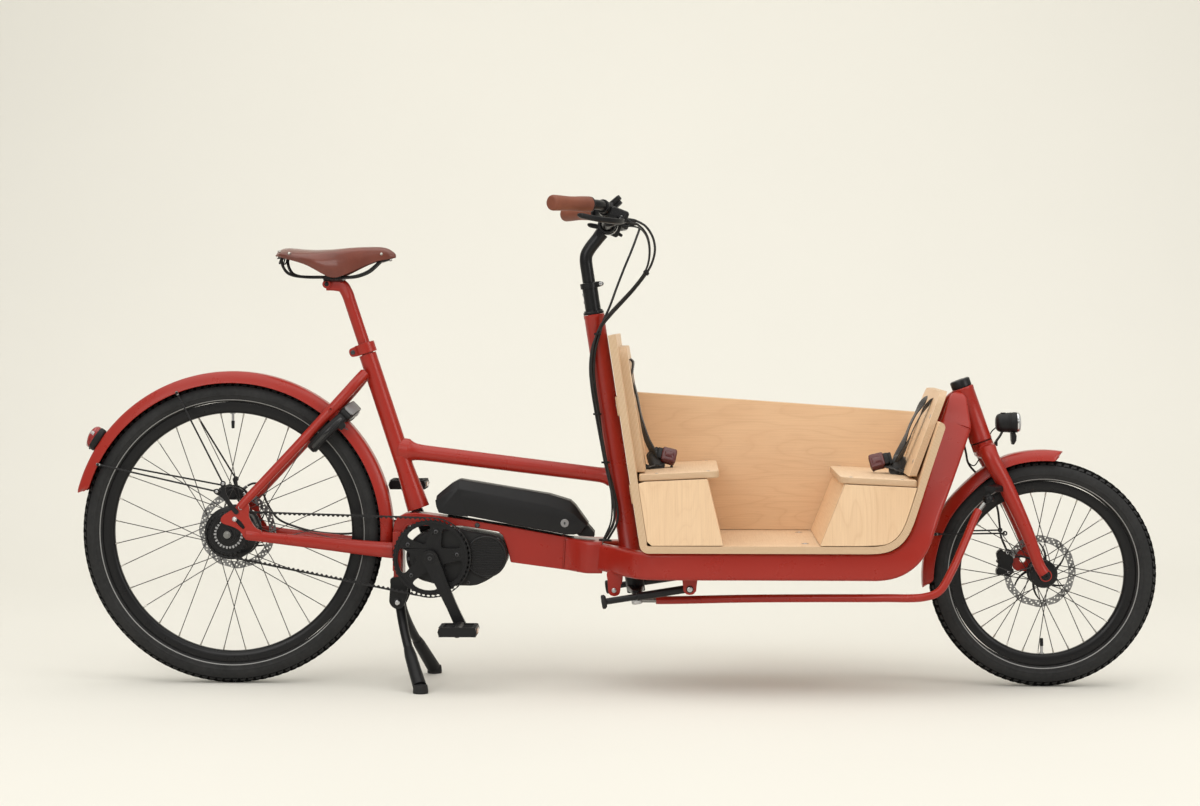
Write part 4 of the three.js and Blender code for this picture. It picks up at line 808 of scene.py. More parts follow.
def tyre_piece(name, c, R, node, body):
    w, m = 27.5, R - 27.5
    half = [0, 6.5, 8, 13, 14.5, 21, 28, 29.5, 33, 34.5, 42, 50, 52, 57, 64, 72, 81, 90, 97, 98.5, 100, 107, 113, 114.5, 116, 121.5, 122, 127.2, 127.7, 133, 136, 138]
    phis = [-p for p in half[:0:-1]] + half
    n = 720 if R > 300 else 534
    v, f, mi = [], [], []
    for i in range(n):
        a = 2 * math.pi * i / n
        for p in phis:
            q, sgn = abs(p), 1 if p > 0 else 0
            d = 0.0
            if 6.9 < q < 14:
                d = 1.5 if (i + 3 * sgn) % 6 != 0 else 0.5
            elif 14 <= q < 29:
                d = 1.5 if (i + int(q / 5) + 2 * sgn) % 6 > 3 else 0.0
            elif 29 <= q < 34:
                d = 1.4
            elif 34 <= q <= 51:
                d = 0.0 if (i + 3 * sgn) % 6 < 4 else 2.6
            elif 51 < q < 60:
                d = 1.5
            elif q < 75:
                d = 1.1
            elif q < 136:
                d = 0.8 - (0.45 if q in (98.5, 114.5) else 0) - (0.25 if 121.7 < q < 127.4 else 0)
            r = w - d
            if q > 133:
                r = w - 1.2
            rr, y = m + r * math.cos(rad(p)), r * math.sin(rad(p))
            v.append((c[0] + rr * math.cos(a), y, c[1] + rr * math.sin(a)))
    k = len(phis)
    for i in range(n):
        A, B = i * k, ((i + 1) % n) * k
        for j in range(k - 1):
            f.append([A + j, B + j, B + j + 1, A + j + 1])
            # material per face: the reflective band (1); the tread band and the grooves between the shoulder blocks
            # (2), the grooves' dark being painted shade; the raised shoulder blocks and the sidewall (0)
            mi.append(1 if 121.9 <= min(abs(phis[j]), abs(phis[j + 1])) and max(abs(phis[j]), abs(phis[j + 1])) <= 127.3 else 2 if max(abs(phis[j]), abs(phis[j + 1])) <= 52.5 and not (34.2 <= min(abs(phis[j]), abs(phis[j + 1])) and max(abs(phis[j]), abs(phis[j + 1])) <= 50.5 and (i + 3 * (1 if phis[j] > 0 else 0)) % 6 < 4) else 0)
        f.append([A + k - 1, B + k - 1, B, A])
        mi.append(0)
    b = Build(name)
    b.add((np.array(v), f), TYRE)
    b.mats = [TYRE, REFLECT, TREAD_AND_GROOVE_SHADE]
    b.mi = mi
    return b.done(body, [node], sharp=50)

tyre_piece('rear_tyre_detail', REAR, 347.0, 'rear_tyre', 'rear_wheel')
tyre_piece('front_tyre_detail', FRONT, 258.0, 'front_tyre', 'front_wheel')

def wheel_piece(name, c, R, Rin, rf, fy, hub, node, body, phase, valve_deg, cross=2.0):
    at = V(c[0], 0, c[1])
    Y = V(0, 1, 0)
    B = Build(name)
    prof = [(Rin - 0.8, 0), (Rin - 0.3, -4), (Rin + 1.2, -7.6), (Rin + 6, -10.6), (Rin + 12, -11.6), (R - 1.2, -11.9), (R + 0.2, -11.7), (R + 0.2, -10.3), (R - 4, -9.6), (Rin + 12, -5), (Rin + 10.5, 0)]
    prof += [(a, -b) for a, b in prof[-2:0:-1]]
    B.add(turn(prof, at, Y, 180), BLACK_SATIN)
    for fs, yy, mat in hub:
        B.add(turn([(r, y) for r, y in fs], at + Y * yy, Y, 72), mat)
    S = 32
    for i in range(S):
        s = 1 if i % 2 else -1
        k = (i // 2) % 2
        ra = 2 * math.pi * (i + 0.5) / S + phase
        lead = rad(22.5 * cross) * (1 if k else -1)
        ha = ra + lead
        h = at + V(rf * math.cos(ha), s * (fy + (1.6 if k else -1.2)), rf * math.sin(ha))
        r_ = at + V((Rin + 3) * math.cos(ra), s * 2.2, (Rin + 3) * math.sin(ra))
        d = unit(r_ - h)
        B.add(rod(h, r_ - d * 9, 1.0, 8), SPOKE)
        B.add(rod(r_ - d * 13, r_ + d * 2, 1.75, 8, 2.1), BRASSY)
        B.add(rod(h + V(0, -s * 2.2, 0), h + V(0, s * 2.2, 0), 1.7, 8), SPOKE)
    va = rad(valve_deg)
    vd = V(math.cos(va), 0, math.sin(va))
    B.add(rod(at + vd * (Rin + 2), at + vd * (Rin - 20), 3.0, 16), ALU)
    for j_ in range(5):
        B.add(turn([(3.0, 0), (3.35, 0.5), (3.0, 1.0)], at + vd * (Rin - 4 - 3 * j_), -vd, 16), ALU)
    B.add(rod(at + vd * (Rin - 18), at + vd * (Rin - 36), 4.0, 16, 3.6, ch=1.0), PLASTIC)
    B.add(turn([(0, 0), (6.5, 0), (6.5, 2.4), (0, 2.4)], at + vd * (Rin - 0.4), -vd, 6), STAINLESS)
    return B.done(body, [node], sharp=40)

SPOKE = metal('steel_spoke_dark', (0.060, 0.058, 0.058), 0.36, axis=None)
rear_hub = [
    ([(0, -45), (26, -45), (40, -43), (54, -39), (60.5, -34), (61, -31), (61, -28), (58, -26), (57, -22), (57, 22), (58, 26), (61, 28), (61, 31), (57.5, 35), (44, 40), (27, 43.5), (24, 47.5), (0, 47.5)], 0, BLACK_SATIN),
    ([(0, -64), (7, -64), (7, -50), (13, -50), (13, -45), (0, -45)], 0, DARK_STEEL),
    ([(0, 47), (11, 47), (11, 51), (7, 51), (7, 68), (0, 68)], 0, DARK_STEEL),
]
wheel_piece('rear_wheel_detail', REAR, 299.0, 274.0, 55.0, 29.0, rear_hub, 'rear_wheel', 'rear_wheel', rad(45.3), 90.0, 1.6)
front_hub = [
    ([(0, -40), (12, -40), (13.5, -37), (15, -33), (22, -31), (30, -30.5), (31.5, -28.5), (31.5, -25), (29, -23), (21, -20), (17, -12), (16, 0), (17, 12), (21, 20), (29, 23), (31.5, 25), (31.5, 28.5), (30, 30), (21, 33), (17.5, 36), (17, 39.6), (0, 39.6)], 0, BLACK_SATIN),
    ([(0, -49), (7, -49), (7, -40), (0, -40)], 0, DARK_STEEL),
    ([(0, 39), (7, 39), (7, 49), (0, 49)], 0, DARK_STEEL),
]
wheel_piece('front_wheel_detail', FRONT, 209.0, 185.0, 27.5, 27.0, front_hub, 'front_wheel', 'front_wheel', 0.05, 270.0, 2.0)

def rotor_piece(name, c, R, y, node, body, arms=6):
    cx, cz = c
    def pt(r, a):
        return (cx + r * math.cos(a), cz + r * math.sin(a))
    n = 144
    outer = [pt(R - 0.9 + 0.9 * math.cos(2 * math.pi * 12 * i / n), 2 * math.pi * i / n) for i in range(n)]
    holes = []
    tin = R - 16.5
    hub = 26
    step = 2 * math.pi / arms
    ang = lambda r: 0.55 * (r - hub) / (tin - hub)
    arm = []
    for i in range(arms):
        a = i * step
        rr = np.linspace(hub - 3, tin + 1.4, 9)
        hw = lambda r: (3.4 - 1.3 * (r - hub) / (tin - hub)) / r
        arm.append([pt(r, a + ang(r) - hw(r)) for r in rr] + [pt(r, a + ang(r) + hw(r)) for r in rr[::-1]])
    holes.append([pt(tin, t) for t in np.linspace(0, 2 * math.pi, 121)[:-1]])
    cnt = 30
    for i in range(cnt):
        for r, da, hr in ((R - 12.6, 0.0, 1.9), (R - 8.6, 0.35, 2.2), (R - 4.6, 0.7, 1.9)):
            a = 2 * math.pi * (i + da) / cnt
            p = pt(r, a)
            holes.append([(p[0] + hr * math.cos(t), p[1] + hr * math.sin(t)) for t in np.linspace(0, 2 * math.pi, 11)[:-1]])
    B = Build(name)
    B.add(plate(outer, y - 0.95, y + 0.95, holes=holes), ROTOR)
    for k, o in enumerate(arm):
        B.add(plate(o, y - 0.85, y + 0.85), BLACK_SATIN)
        p = pt(tin + 0.2, k * step + ang(tin))
        B.add(rod(V(p[0], y - 1.25, p[1]), V(p[0], y + 1.25, p[1]), 1.9, 14), STEEL)
    at = V(cx, y, cz)
    B.add(turn([(14, -2.0), (25, -2.0), (26, -1.0), (26, 1.0), (24.5, 2.2), (14, 2.2)], at, V(0, 1, 0), 48), BLACK_SATIN)
    ring = []
    for i in range(96):
        r = 21.5 if (i // 3) % 2 else 19.6
        ring.append(pt(r, 2 * math.pi * i / 96))
    B.add(plate(ring, y + 2.2, y + 4.2, holes=[[pt(12, t) for t in np.linspace(0, 2 * math.pi, 33)[:-1]]]), DARK_STEEL)
    return B.done(body, [node], sharp=30, bevel=0.25, seg=1, ang=50)
rotor_piece('rear_rotor_detail', REAR, 89.8, 53.0, 'rear_rotor', 'rear_wheel')
rotor_piece('front_rotor_detail', FRONT, 82.8, 42.0, 'front_rotor', 'front_wheel')

# ------------------------------------------------------------------ belt drive
CR = (-413.8, 294.5)
BY = -58.0

def toothed(c, teeth, tip, root, phase=0.0):
    out = []
    for i in range(teeth):
        for t, r in ((0.0, root), (0.16, root), (0.30, tip), (0.66, tip), (0.80, root)):
            a = 2 * math.pi * (i + t) / teeth + phase
            out.append((c[0] + r * math.cos(a), c[1] + r * math.sin(a)))
    return out

def ring_pts(c, r, n=40):
    return [(c[0] + r * math.cos(t), c[1] + r * math.sin(t)) for t in np.linspace(0, 2 * math.pi, n + 1)[:-1]]

B = Build('rear_cog_detail')
oo = []
for i in range(7):
    a = 2 * math.pi * i / 7
    pts = []
    for r, d in ((24, -0.18), (24, 0.18), (30, 0.26), (36, 0.27), (38, 0.2), (38.6, 0), (38, -0.2), (36, -0.27), (30, -0.26)):
        pts.append((REAR[0] + r * math.cos(a + d), REAR[1] + r * math.sin(a + d)))
    oo.append(pts)
B.add(plate(toothed(REAR, 28, 48.0, 44.6), BY - 5.6, BY + 5.6, holes=[ring_pts(REAR, 17)]), BLACK_SATIN)
B.add(turn([(17, -6.4), (42.5, -6.4), (43.5, -5.6), (43.5, 5.6), (17, 5.6)], V(REAR[0], BY, REAR[1]), V(0, 1, 0), 72), BLACK_SATIN)
B.add(turn([(40.4, -7.2), (42.6, -7.0), (43.0, -6.2), (40.4, -6.2)], V(REAR[0], BY, REAR[1]), V(0, 1, 0), 96), PLASTIC_SOFT)
B.add(turn([(15, -8.0), (24, -8.0), (26, -7.2), (35.5, -6.9), (36, -5.5), (15, -5.5)], V(REAR[0], BY, REAR[1]), V(0, 1, 0), 72), BLACK_SATIN)
B.add(turn([(27.5, -7.4), (31.2, -7.4), (31.2, -6.6), (27.5, -6.6)], V(REAR[0], BY, REAR[1]), V(0, 1, 0), 72), DARK_STEEL)
for i in range(26):
    a = 2 * math.pi * i / 26
    e_ = V(math.cos(a), 0, math.sin(a))
    g_ = V(-math.sin(a), 0, math.cos(a))
    c_ = V(REAR[0], BY - 7.4, REAR[1]) + e_ * 30.6
    B.add(loft([[c_ + g_ * (u * 2.1) + e_ * (w * (3.0 if i % 2 else 2.2)) + V(0, -y, 0) for u, w in ((-1, -1), (1, -1), (0.8, 1), (-0.8, 1))] for y in (0, 1.7)]), ALU)
B.add(turn([(9, -10.2), (17.5, -10.2), (19.5, -8.6), (9, -8.6)], V(REAR[0], BY, REAR[1]), V(0, 1, 0), 48), DARK_STEEL)
B.done('rear_cog', ['rear_cog'], sharp=35, bevel=0.4, seg=2, ang=40)

def belt():
    A, Bc = np.array(CR), np.array(REAR)
    d = Bc - A
    D = np.linalg.norm(d)
    base = math.atan2(d[1], d[0])
    def loop(RA, RB):
        tan = math.acos((RA - RB) / D)
        arcA = [base + tan + (2 * math.pi - 2 * tan) * t for t in np.linspace(0, 1, 400)]
        arcB = [base - tan + 2 * tan * t for t in np.linspace(0, 1, 240)]
        P, N = [], []
        for a in arcA:
            N.append((math.cos(a), math.sin(a)))
            P.append(A + RA * np.array(N[-1]))
        for a in arcB:
            N.append((math.cos(a), math.sin(a)))
            P.append(Bc + RB * np.array(N[-1]))
        return np.array(P), np.array(N)
    RA_, RB_ = 86.9, 48.4
    P, N = loop(RA_, RB_)
    P2 = np.vstack([P, P[:1]])
    N2 = np.vstack([N, N[:1]])
    s = np.concatenate([[0], np.cumsum(np.linalg.norm(np.diff(P2, axis=0), axis=1))])
    teeth = round(s[-1] / 11.0)
    n = teeth * 8
    w = np.linspace(0, s[-1], n + 1)[:-1]
    px = np.stack([np.interp(w, s, P2[:, i]) for i in (0, 1)], 1)
    nx = np.stack([np.interp(w, s, N2[:, i]) for i in (0, 1)], 1)
    nx /= np.linalg.norm(nx, axis=1)[:, None]
    tp = [0.45, 0.45, 0.9, 2.2, 2.2, 2.2, 0.9, 0.45]
    rings = []
    for i in range(n):
        free = min(np.linalg.norm(px[i] - A) - RA_, np.linalg.norm(px[i] - Bc) - RB_) > 1.2
        lo = (2.0, 0.7, -1.0) if free else (2.9, 2.1, 1.25)
        inner = px[i] + nx[i] * lo[0 if tp[i % 8] < 0.6 else 1 if tp[i % 8] < 1 else 2]
        outer = px[i] + nx[i] * (4.9 if free else 4.6)
        q = []
        for (p, y) in ((outer, BY - 5.0), (outer, BY + 5.0), (outer - nx[i] * 0.6, BY + 5.5), (inner, BY + 5.5), (inner, BY - 5.5), (outer - nx[i] * 0.6, BY - 5.5)):
            q.append((p[0], y, p[1]))
        rings.append(q)
    return loft(rings, closed=True)
one('drive_belt_detail', belt(), RUBBER, 'frame', ['drive_belt'], sharp=30)

CA = rad(24.5)
def crank_dir(s):
    return V(s * math.sin(CA), 0, -s * math.cos(CA))
B = Build('chainring_detail')
holes = []
for i in range(5):
    a = CA - math.pi / 2 + rad(36 + 72 * i)
    o = []
    for r, d in ((35, -0.10), (33.5, 0), (35, 0.10), (42, 0.22), (52, 0.335), (62, 0.405), (69, 0.42), (72.5, 0.39), (74.4, 0.30), (75.2, 0.15), (75.4, 0), (75.2, -0.15), (74.4, -0.30), (72.5, -0.39), (69, -0.42), (62, -0.405), (52, -0.335), (42, -0.22)):
        o.append((CR[0] + r * math.cos(a + d), CR[1] + r * math.sin(a + d)))
    holes.append(o)
B.add(plate(toothed(CR, 50, 87.0, 84.2), BY - 4.6, BY + 4.6, holes=[ring_pts(CR, 79.0, 90)]), BLACK_SATIN)
B.add(plate(ring_pts(CR, 80.5, 120), BY - 3.4, BY + 3.0, holes=holes + [ring_pts(CR, 16.8, 40)]), BLACK_SATIN)
B.add(turn([(78.5, -5.0), (81.5, -5.6), (84.6, -5.2), (85.2, -4.4), (78.5, -4.4)], V(CR[0], BY, CR[1]), V(0, 1, 0), 120), BLACK_SATIN)
for i in range(5):
    a = CA - math.pi / 2 + rad(72 * i)
    bolt(B, V(CR[0] + 60 * math.cos(a), BY - 3.4, CR[1] + 60 * math.sin(a)), (0, -1, 0), DARK_STEEL, 5.2, 2.6)
    B.add(turn([(0, 0), (9, 0), (8.2, 2.2), (0, 2.2)], V(CR[0] + 60 * math.cos(a), BY - 2.4, CR[1] + 60 * math.sin(a)), (0, -1, 0), 30), BLACK_SATIN)
B.done('crank', ['chainring'], sharp=35, bevel=0.6, seg=2, ang=40)

def crank_piece(name, s, y0, y1, node):
    sg = -1 if y0 < 0 else 1
    d = crank_dir(s)
    n = np.array([d[2], 0, -d[0]])
    at = V(CR[0], 0, CR[1])
    yo = y0 if sg < 0 else y1          # outer face
    yi = y1 if sg < 0 else y0
    def ring(L, w, out, inn, c):
        p = at + d * L
        return [p + n * a + V(0, b, 0) for a, b in [( -w + c, out), (w - c, out), (w, out - sg * c), (w, inn), (-w, inn), (-w, out - sg * c)]]
    B = Build(name)
    out = []
    for i in range(17):
        t = math.pi / 2 + math.pi * i / 16
        out.append(at + d * 18 * math.cos(t) + n * 18 * math.sin(t))
    for L, w in ((30, 16.4), (70, 13.4), (120, 12.0), (150, 12.4)):
        out.append(at + d * L - n * w)
    for i in range(17):
        t = -math.pi / 2 + math.pi * i / 16
        out.append(at + d * (170 + 13.2 * math.cos(t)) + n * 13.2 * math.sin(t))
    for L, w in ((150, 12.4), (120, 12.0), (70, 13.4), (30, 16.4)):
        out.append(at + d * L + n * w)
    v, f = plate([(p[0], p[2]) for p in out], min(y0, y1), max(y0, y1))
    B.add((v, f), BLACK)
    # centre bolt and pedal eye
    B.add(turn([(0, 0), (11.5, 0), (11.5, 1.6), (10.6, 2.4), (8, 2.4), (7.4, 0.6), (0, 0.6)], at + V(0, yo - sg * 1.4, 0), V(0, sg, 0), 40), BLACK_SATIN)
    B.add(turn([(0, 0), (4.6, 0), (4.6, 1.2), (2.4, 1.2), (2.2, -0.4), (0, -0.4)], at + V(0, yo - sg * 0.6, 0), V(0, sg, 0), 24), DARK_STEEL)
    pe = at + d * 170
    B.add(turn([(6.2, -1), (9.6, -1), (9.6, 0.8), (6.2, 0.8)], pe + V(0, yo, 0), V(0, sg, 0), 36), BLACK_SATIN)
    B.add(turn([(0, -0.4), (6.2, -0.4), (6.2, 0.2), (3.2, 0.2), (3.2, -2), (0, -2)], pe + V(0, yo, 0), V(0, sg, 0), 24), DARK_STEEL)
    # slim groove down the outer face
    B.add(plate([( (at + d * L + n * w)[0], (at + d * L + n * w)[2]) for L, w in ((34, -5), (142, -4), (142, 4), (34, 5))], min(yo, yo - sg * 0.25) + sg * 0.30, max(yo, yo - sg * 0.25) + sg * 0.30), PLASTIC)
    return B
B = crank_piece('crank_right_detail', 1, -83, -69, 'crank_right')
B.add(rod(V(CR[0], -70, CR[1]), V(CR[0], -60, CR[1]), 16.5, 48), BLACK)
B.add(rod(V(CR[0], -62, CR[1]), V(CR[0], 68.6, CR[1]), 11, 32), DARK_STEEL)
B.done('crank', ['crank_right'], sharp=35, bevel=2.2, seg=4, ang=50)
crank_piece('crank_left_detail', -1, 69, 83, 'crank_left').done('crank', ['crank_left'], sharp=35, bevel=2.2, seg=4, ang=50)

def pedal_piece(name, s, k, node, body):
    p = V(*(V(CR[0], 0, CR[1]) + crank_dir(k) * 170))
    px, pz = p[0], p[2]
    B = Build(name)
    Yv = V(0, s, 0)
    B.add(turn([(0, 70), (7, 70), (7, 84), (9.5, 85), (9.5, 88), (7.5, 89), (7.5, 96), (0, 96)], V(px, 0, pz), Yv, 28), DARK_STEEL)
    # centre barrel, two end plates, two long rails with grip teeth
    B.add(turn([(0, 92), (12, 92), (13.5, 95), (11.5, 110), (10.5, 140), (11.5, 175), (12.5, 187), (0, 188)], V(px, 0, pz), Yv, 28), PLASTIC)
    a, b = (96, 101), (183, 188)
    for y0, y1 in (a, b):
        o = [(px - 41, pz - 8), (px - 37, pz - 10.5), (px + 37, pz - 10.5), (px + 41, pz - 8), (px + 43.5, pz), (px + 41, pz + 8), (px + 37, pz + 10.5), (px - 37, pz + 10.5), (px - 41, pz + 8), (px - 43.5, pz)]
        B.add(plate(o, min(s * y0, s * y1), max(s * y0, s * y1)), PLASTIC)
    for sx in (-1, 1):
        o = [(px + sx * 33, pz - 10.3), (px + sx * 41, pz - 7.5), (px + sx * 43.2, pz), (px + sx * 41, pz + 7.5), (px + sx * 33, pz + 10.3), (px + sx * 31, pz)]
        B.add(plate(o, min(s * 98, s * 186), max(s * 98, s * 186)), PLASTIC)
        # reflector set in each rail
        B.add(boxm(*sorted((px + sx * 42.2, px + sx * 44.0)), min(s * 120, s * 164), max(s * 120, s * 164), pz - 5, pz + 5), REFLECTAMBER)
        for j in range(8):
            y = 104 + j * 11
            for top in (1, -1):
                B.add(boxm(px + sx * 37 - 4.5, px + sx * 37 + 4.5, min(s * y, s * (y + 5)), max(s * y, s * (y + 5)), *sorted((pz + top * 9.2, pz + top * 11.0))), PLASTIC)
    for y in (112, 128, 144, 160, 174):
        B.add(boxm(px - 36, px + 36, min(s * y, s * (y + 3)), max(s * y, s * (y + 3)), pz - 7.5, pz + 7.5), PLASTIC)
    return B.done(body, [node], sharp=35, bevel=0.7, seg=2, ang=45)
REFLECTAMBER = make_lens('lens_amber', (0.55, 0.17, 0.01), 0.2, 0.15)
pedal_piece('pedal_right_detail', -1, 1, 'pedal_right', 'pedal_right')
pedal_piece('pedal_left_detail', 1, -1, 'pedal_left', 'pedal_left')

# ------------------------------------------------------------------ frame
seat_d = unit(V(-math.sin(rad(18.2)), 0, math.cos(rad(18.2))))
col_d = unit(V(-math.sin(rad(8.71)), 0, math.cos(rad(8.71))))
head_d = unit(V(-math.sin(rad(19.7)), 0, math.cos(rad(19.7))))
def seat_at(z): return V(-412 + (z - 294.5) * seat_d[0] / seat_d[2], 0, z)
def col_at(z): return V(36.5 + (z - 314.5) * col_d[0] / col_d[2], 0, z)
def head_at(z): return V(836.6 + (z - 557.4) * head_d[0] / head_d[2], 0, z)

# central beam: deep box section over the motor, a wider boxed head at the front
B = Build('rear_beam_detail')
top = [(-70, 334), (-104, 338.6), (-234, 362), (-330, 377.5), (-425, 391), (-452, 394), (-476, 392), (-492, 384), (-500, 372), (-502, 356)]
bot = [(-502, 244), (-481, 244), (-481, 348), (-478, 358), (-470, 364), (-345, 364), (-262, 351), (-252, 343), (-244, 322), (-238, 300), (-234, 281.4), (-104, 264), (-70, 261)]
B.add(plate(top + bot, -30, 30), RED)
hw = [(-112, 30.0, 264.8, 339.6), (-104, 31.5, 263.6, 338.8), (-96, 36, 262.6, 337.6), (-80, 52, 261.2, 335.2), (-66, 66, 260.3, 333.6), (-56, 71.4, 260, 332.6), (-40, 72, 260, 332), (-24, 72, 260, 332)]
rings = []
for x, w, z0, z1 in hw:
    rings.append([(x, a, (z0 + z1) / 2 + b) for a, b in rrect(2 * w, z1 - z0, 7, 4)])
B.add(loft(rings), RED)
B.add(boxm(-502, -483, -48, 48, 262, 352), RED)
# raised battery rail
B.add(loft([[(x, s * 9, z) for s, z in ((-1, z0), (1, z0), (1, z1), (-1, z1))] for x, z0, z1 in ((-380, 380, 388.6), (-240, 358, 366), (-90, 334, 338.2))]), BLACK)
B.done('frame', ['rear_beam'], bevel=3.2, seg=4, ang=40)
# weld seams round the beam's splice and along the head
B = Build('beam_welds')
def seam(path, r=2.3, step=3.0):
    p = resample(path, max(6, int(sum(np.linalg.norm(np.array(path[i + 1], float) - np.array(path[i], float)) for i in range(len(path) - 1)) / step * 3)))
    B.add(sweep(p, lambda s, i: circle(r * (1 + 0.16 * math.cos(2 * math.pi * i / 3)), 8), twistfree=True), RED_WELD)
tta, ttb = V(seat_at(536.5)[0], 0, 536.5), V(col_at(474.6)[0], 0, 474.6)
for s in (-1, 1):
    seam([(-114, s * 30.1, 270), (-112, s * 30.4, 300), (-110, s * 30.2, 335)])
    seam([(-480, s * 30.2, 352), (-470, s * 30.2, 365.5), (-440, s * 30.2, 366)])
seam([(-114, -26, 340.4), (-114, 0, 340.8), (-114, 26, 340.4)])
B.done('frame', sharp=60)

# deck rails
RAIL = [V(-23.5, -52, 296), V(12, -92, 293), V(42, -140, 290.5), V(76, -180, 289.5), V(130, -192, 289.5), V(320, -192, 289.5), V(520, -192, 289.5), V(560, -192, 289.5), V(592, -192, 289.8),
        V(625.6, -191, 296.6), V(655, -188, 315), V(675.5, -182, 341), V(689, -174, 371), V(703.6, -157, 414), V(720.5, -136, 457.3), V(746.3, -97, 525), V(771.5, -56, 594.5)]
def rail_depth(p):
    z = p[2]
    return 60.4 if z < 291 else 60.4 - 10.4 * (z - 291) / 81 if z < 372 else 50 + 20 * min(1, (z - 372) / 222)
for side, s in (('right', 1), ('left', -1)):
    pts = resample([V(p[0], p[1] * s, p[2]) for p in RAIL], 110)
    full = np.array(pts)
    def sec(t, i, full=full):
        w = 40 * (1 - (t - 0.75) * 1.2 if t > 0.75 else 1)
        d = rail_depth(full[i]) if i < len(full) else 69.5
        return rrect(w, d, 8.5, 5)
    end = [V(774.5, -45 * s, 615), V(777, -36 * s, 635), V(780.5, -27 * s, 655), V(783.5, -19.5 * s, 671)]
    B = Build('deck_rail_%s_detail' % side)
    B.add(sweep(pts, sec, lateral=True, startN=(1, 0, 0)), RED)
    t = unit(full[-1] - full[-2])
    ext = resample([full[-1]] + end, 34)
    B.add(sweep(ext, lambda u, i: rrect((28 - 12 * u) * math.sqrt(max(0.05, 1 - max(0, (u - 0.72) / 0.285) ** 2)), (70 - 36 * u) * math.sqrt(max(0.05, 1 - max(0, (u - 0.72) / 0.285) ** 2)), (7 - 2 * u) * math.sqrt(max(0.05, 1 - max(0, (u - 0.72) / 0.285) ** 2)), 5), lateral=True, startN=t), RED)
    B.done('frame', ['deck_rail_%s' % side], sharp=34)

B = Build('deck_ladder')
y = 171.6
for x in (180, 540):
    B.add(rod(V(x, -y, 288), V(x, y, 288), 20, 40), RED)
B.add(rod(V(180, 0, 288), V(540, 0, 288), 16, 32), RED)
for s in (-1, 1):
    for x in (180, 540):
        B.add(turn([(19.5, 0), (22.8, 1.2), (22.0, 4.0), (19.5, 4.6)], V(x, s * y, 288), V(0, -s, 0), 60), RED_WELD)
    ear = [(158, 250), (160, 232), (166, 225), (174, 223.2), (182, 225), (188, 232), (190, 250), (192, 268), (156, 268)]
    B.add(plate(ear, s * 167.5 - 3.5, s * 167.5 + 3.5), RED)
    bolt(B, V(174, s * 171, 236), (0, s, 0), DARK_STEEL, 7.0, 4.0)
B.done('frame', ['deck_crossmembers'], bevel=0.8, seg=2, ang=40)

# front head tube with its rings, and the boxed shoulders already on the rails
B = Build('front_head_tube_detail')
ax0, L = head_at(558.2), (680 - 558.2) / head_d[2]
B.add(turn([(15.4, 0), (25.6, 0), (25.6, 8), (25, 9.5), (25, L - 9.5), (25.6, L - 8), (25.6, L), (15.4, L)], ax0, head_d, 72), RED)
B.done('frame', ['front_head_tube'], bevel=2.5, seg=4, ang=45)

B = Build('steering_tube_detail')
L = (846 - 262) / col_d[2]
B.add(turn([(15.4, 0), (23.8, 0), (23.8, 7), (23, 8.5), (23, L - 8.5), (23.9, L - 7), (23.9, L), (15.4, L)], col_at(262), col_d, 72), RED)
B.done('frame', ['steering_tube'], sharp=35)

B = Build('top_tube_detail')
def flare(d, amp, reach):
    return amp * math.exp(-(max(0.0, d) / reach) ** 1.2)
LT = np.linalg.norm(ttb - tta)
def top_sec(t, i):
    d0, d1 = t * LT - 21.5, (1 - t) * LT - 23.5
    r = 18 - t
    return circle(r + flare(d0, 4.5, 9) + flare(d1, 2.5, 7), 56, r + flare(d0, 10, 11) + flare(d1, 6, 8))
tp = [tta + (ttb - tta) * t for t in sorted(set([i / 60 for i in range(61)] + [0.03 + 0.002 * i for i in range(60)] + [0.97 - 0.002 * i for i in range(40)]))]
tb = list(sweep(tp, lambda t, i: top_sec(np.linalg.norm(tp[i] - tta) / LT, i), caps=False))
tv, te = np.array(tb[0], float), unit(ttb - tta)
ep = te - seat_d * (te @ seat_d)
for i in range(len(tv)):
    # the tube's end is mitred to the inside of the seat tube's wall
    w_ = tv[i] - seat_at(600)
    w_ = w_ - seat_d * (w_ @ seat_d)
    qa, qb, qc = ep @ ep, 2 * (w_ @ ep), w_ @ w_ - 16.2 ** 2
    ds_ = qb * qb - 4 * qa * qc
    if ds_ > 0:
        s_ = (-qb + math.sqrt(ds_)) / (2 * qa)
        if s_ > 0:
            tv[i] = tv[i] + te * s_
tb[0] = tv
B.add(tuple(tb), RED)
B.done('frame', ['top_tube'], sharp=35)

B = Build('seat_tube_detail')
L = 398
B.add(turn([(14.2, 0), (26, 0), (24.5, 30), (21.2, 80), (20.2, 100), (20, 372), (14.2, 372)], seat_at(402.4), seat_d, 72), RED)
m = roty(18.2, seat_at(402.4))
# clamp collar: split ring with two ears and a bolt
col_pts = []
for i in range(61):
    a = rad(180 + 7) + rad(346) * i / 60
    col_pts.append((23.4 * math.cos(a), 23.4 * math.sin(a)))
inner = [(19.9 * math.cos(rad(180 + 7) + rad(346) * i / 60), 19.9 * math.sin(rad(180 + 7) + rad(346) * i / 60)) for i in range(60, -1, -1)]
B.add(moved(plate([(a, b) for a, b in col_pts + inner], 374, 397.5, axis='z'), m), RED)
for s in (-1, 1):
    B.add(moved(plate(rounded([(-38, 385.5), (-37, 379.5), (-33.5, 376), (-28, 375), (-20, 375), (-20, 396), (-28, 396), (-33.5, 395), (-37, 391.5)], 40), 2 if s > 0 else -11, 11 if s > 0 else -2), m), RED)
    for h in (381.5,):
        p = moved((np.array([[-29.5, s * 11, 385.5]]), []), m)[0][0]
        B.add(turn([(0, -1), (5.2, -1), (5.2, 2.6), (4.4, 3.6), (2.6, 3.6), (2.6, 1.4), (0, 1.4)], p, V(0, s, 0), 24), DARK_STEEL)
B.done('frame', ['seat_tube'], bevel=0.9, seg=3, ang=45)

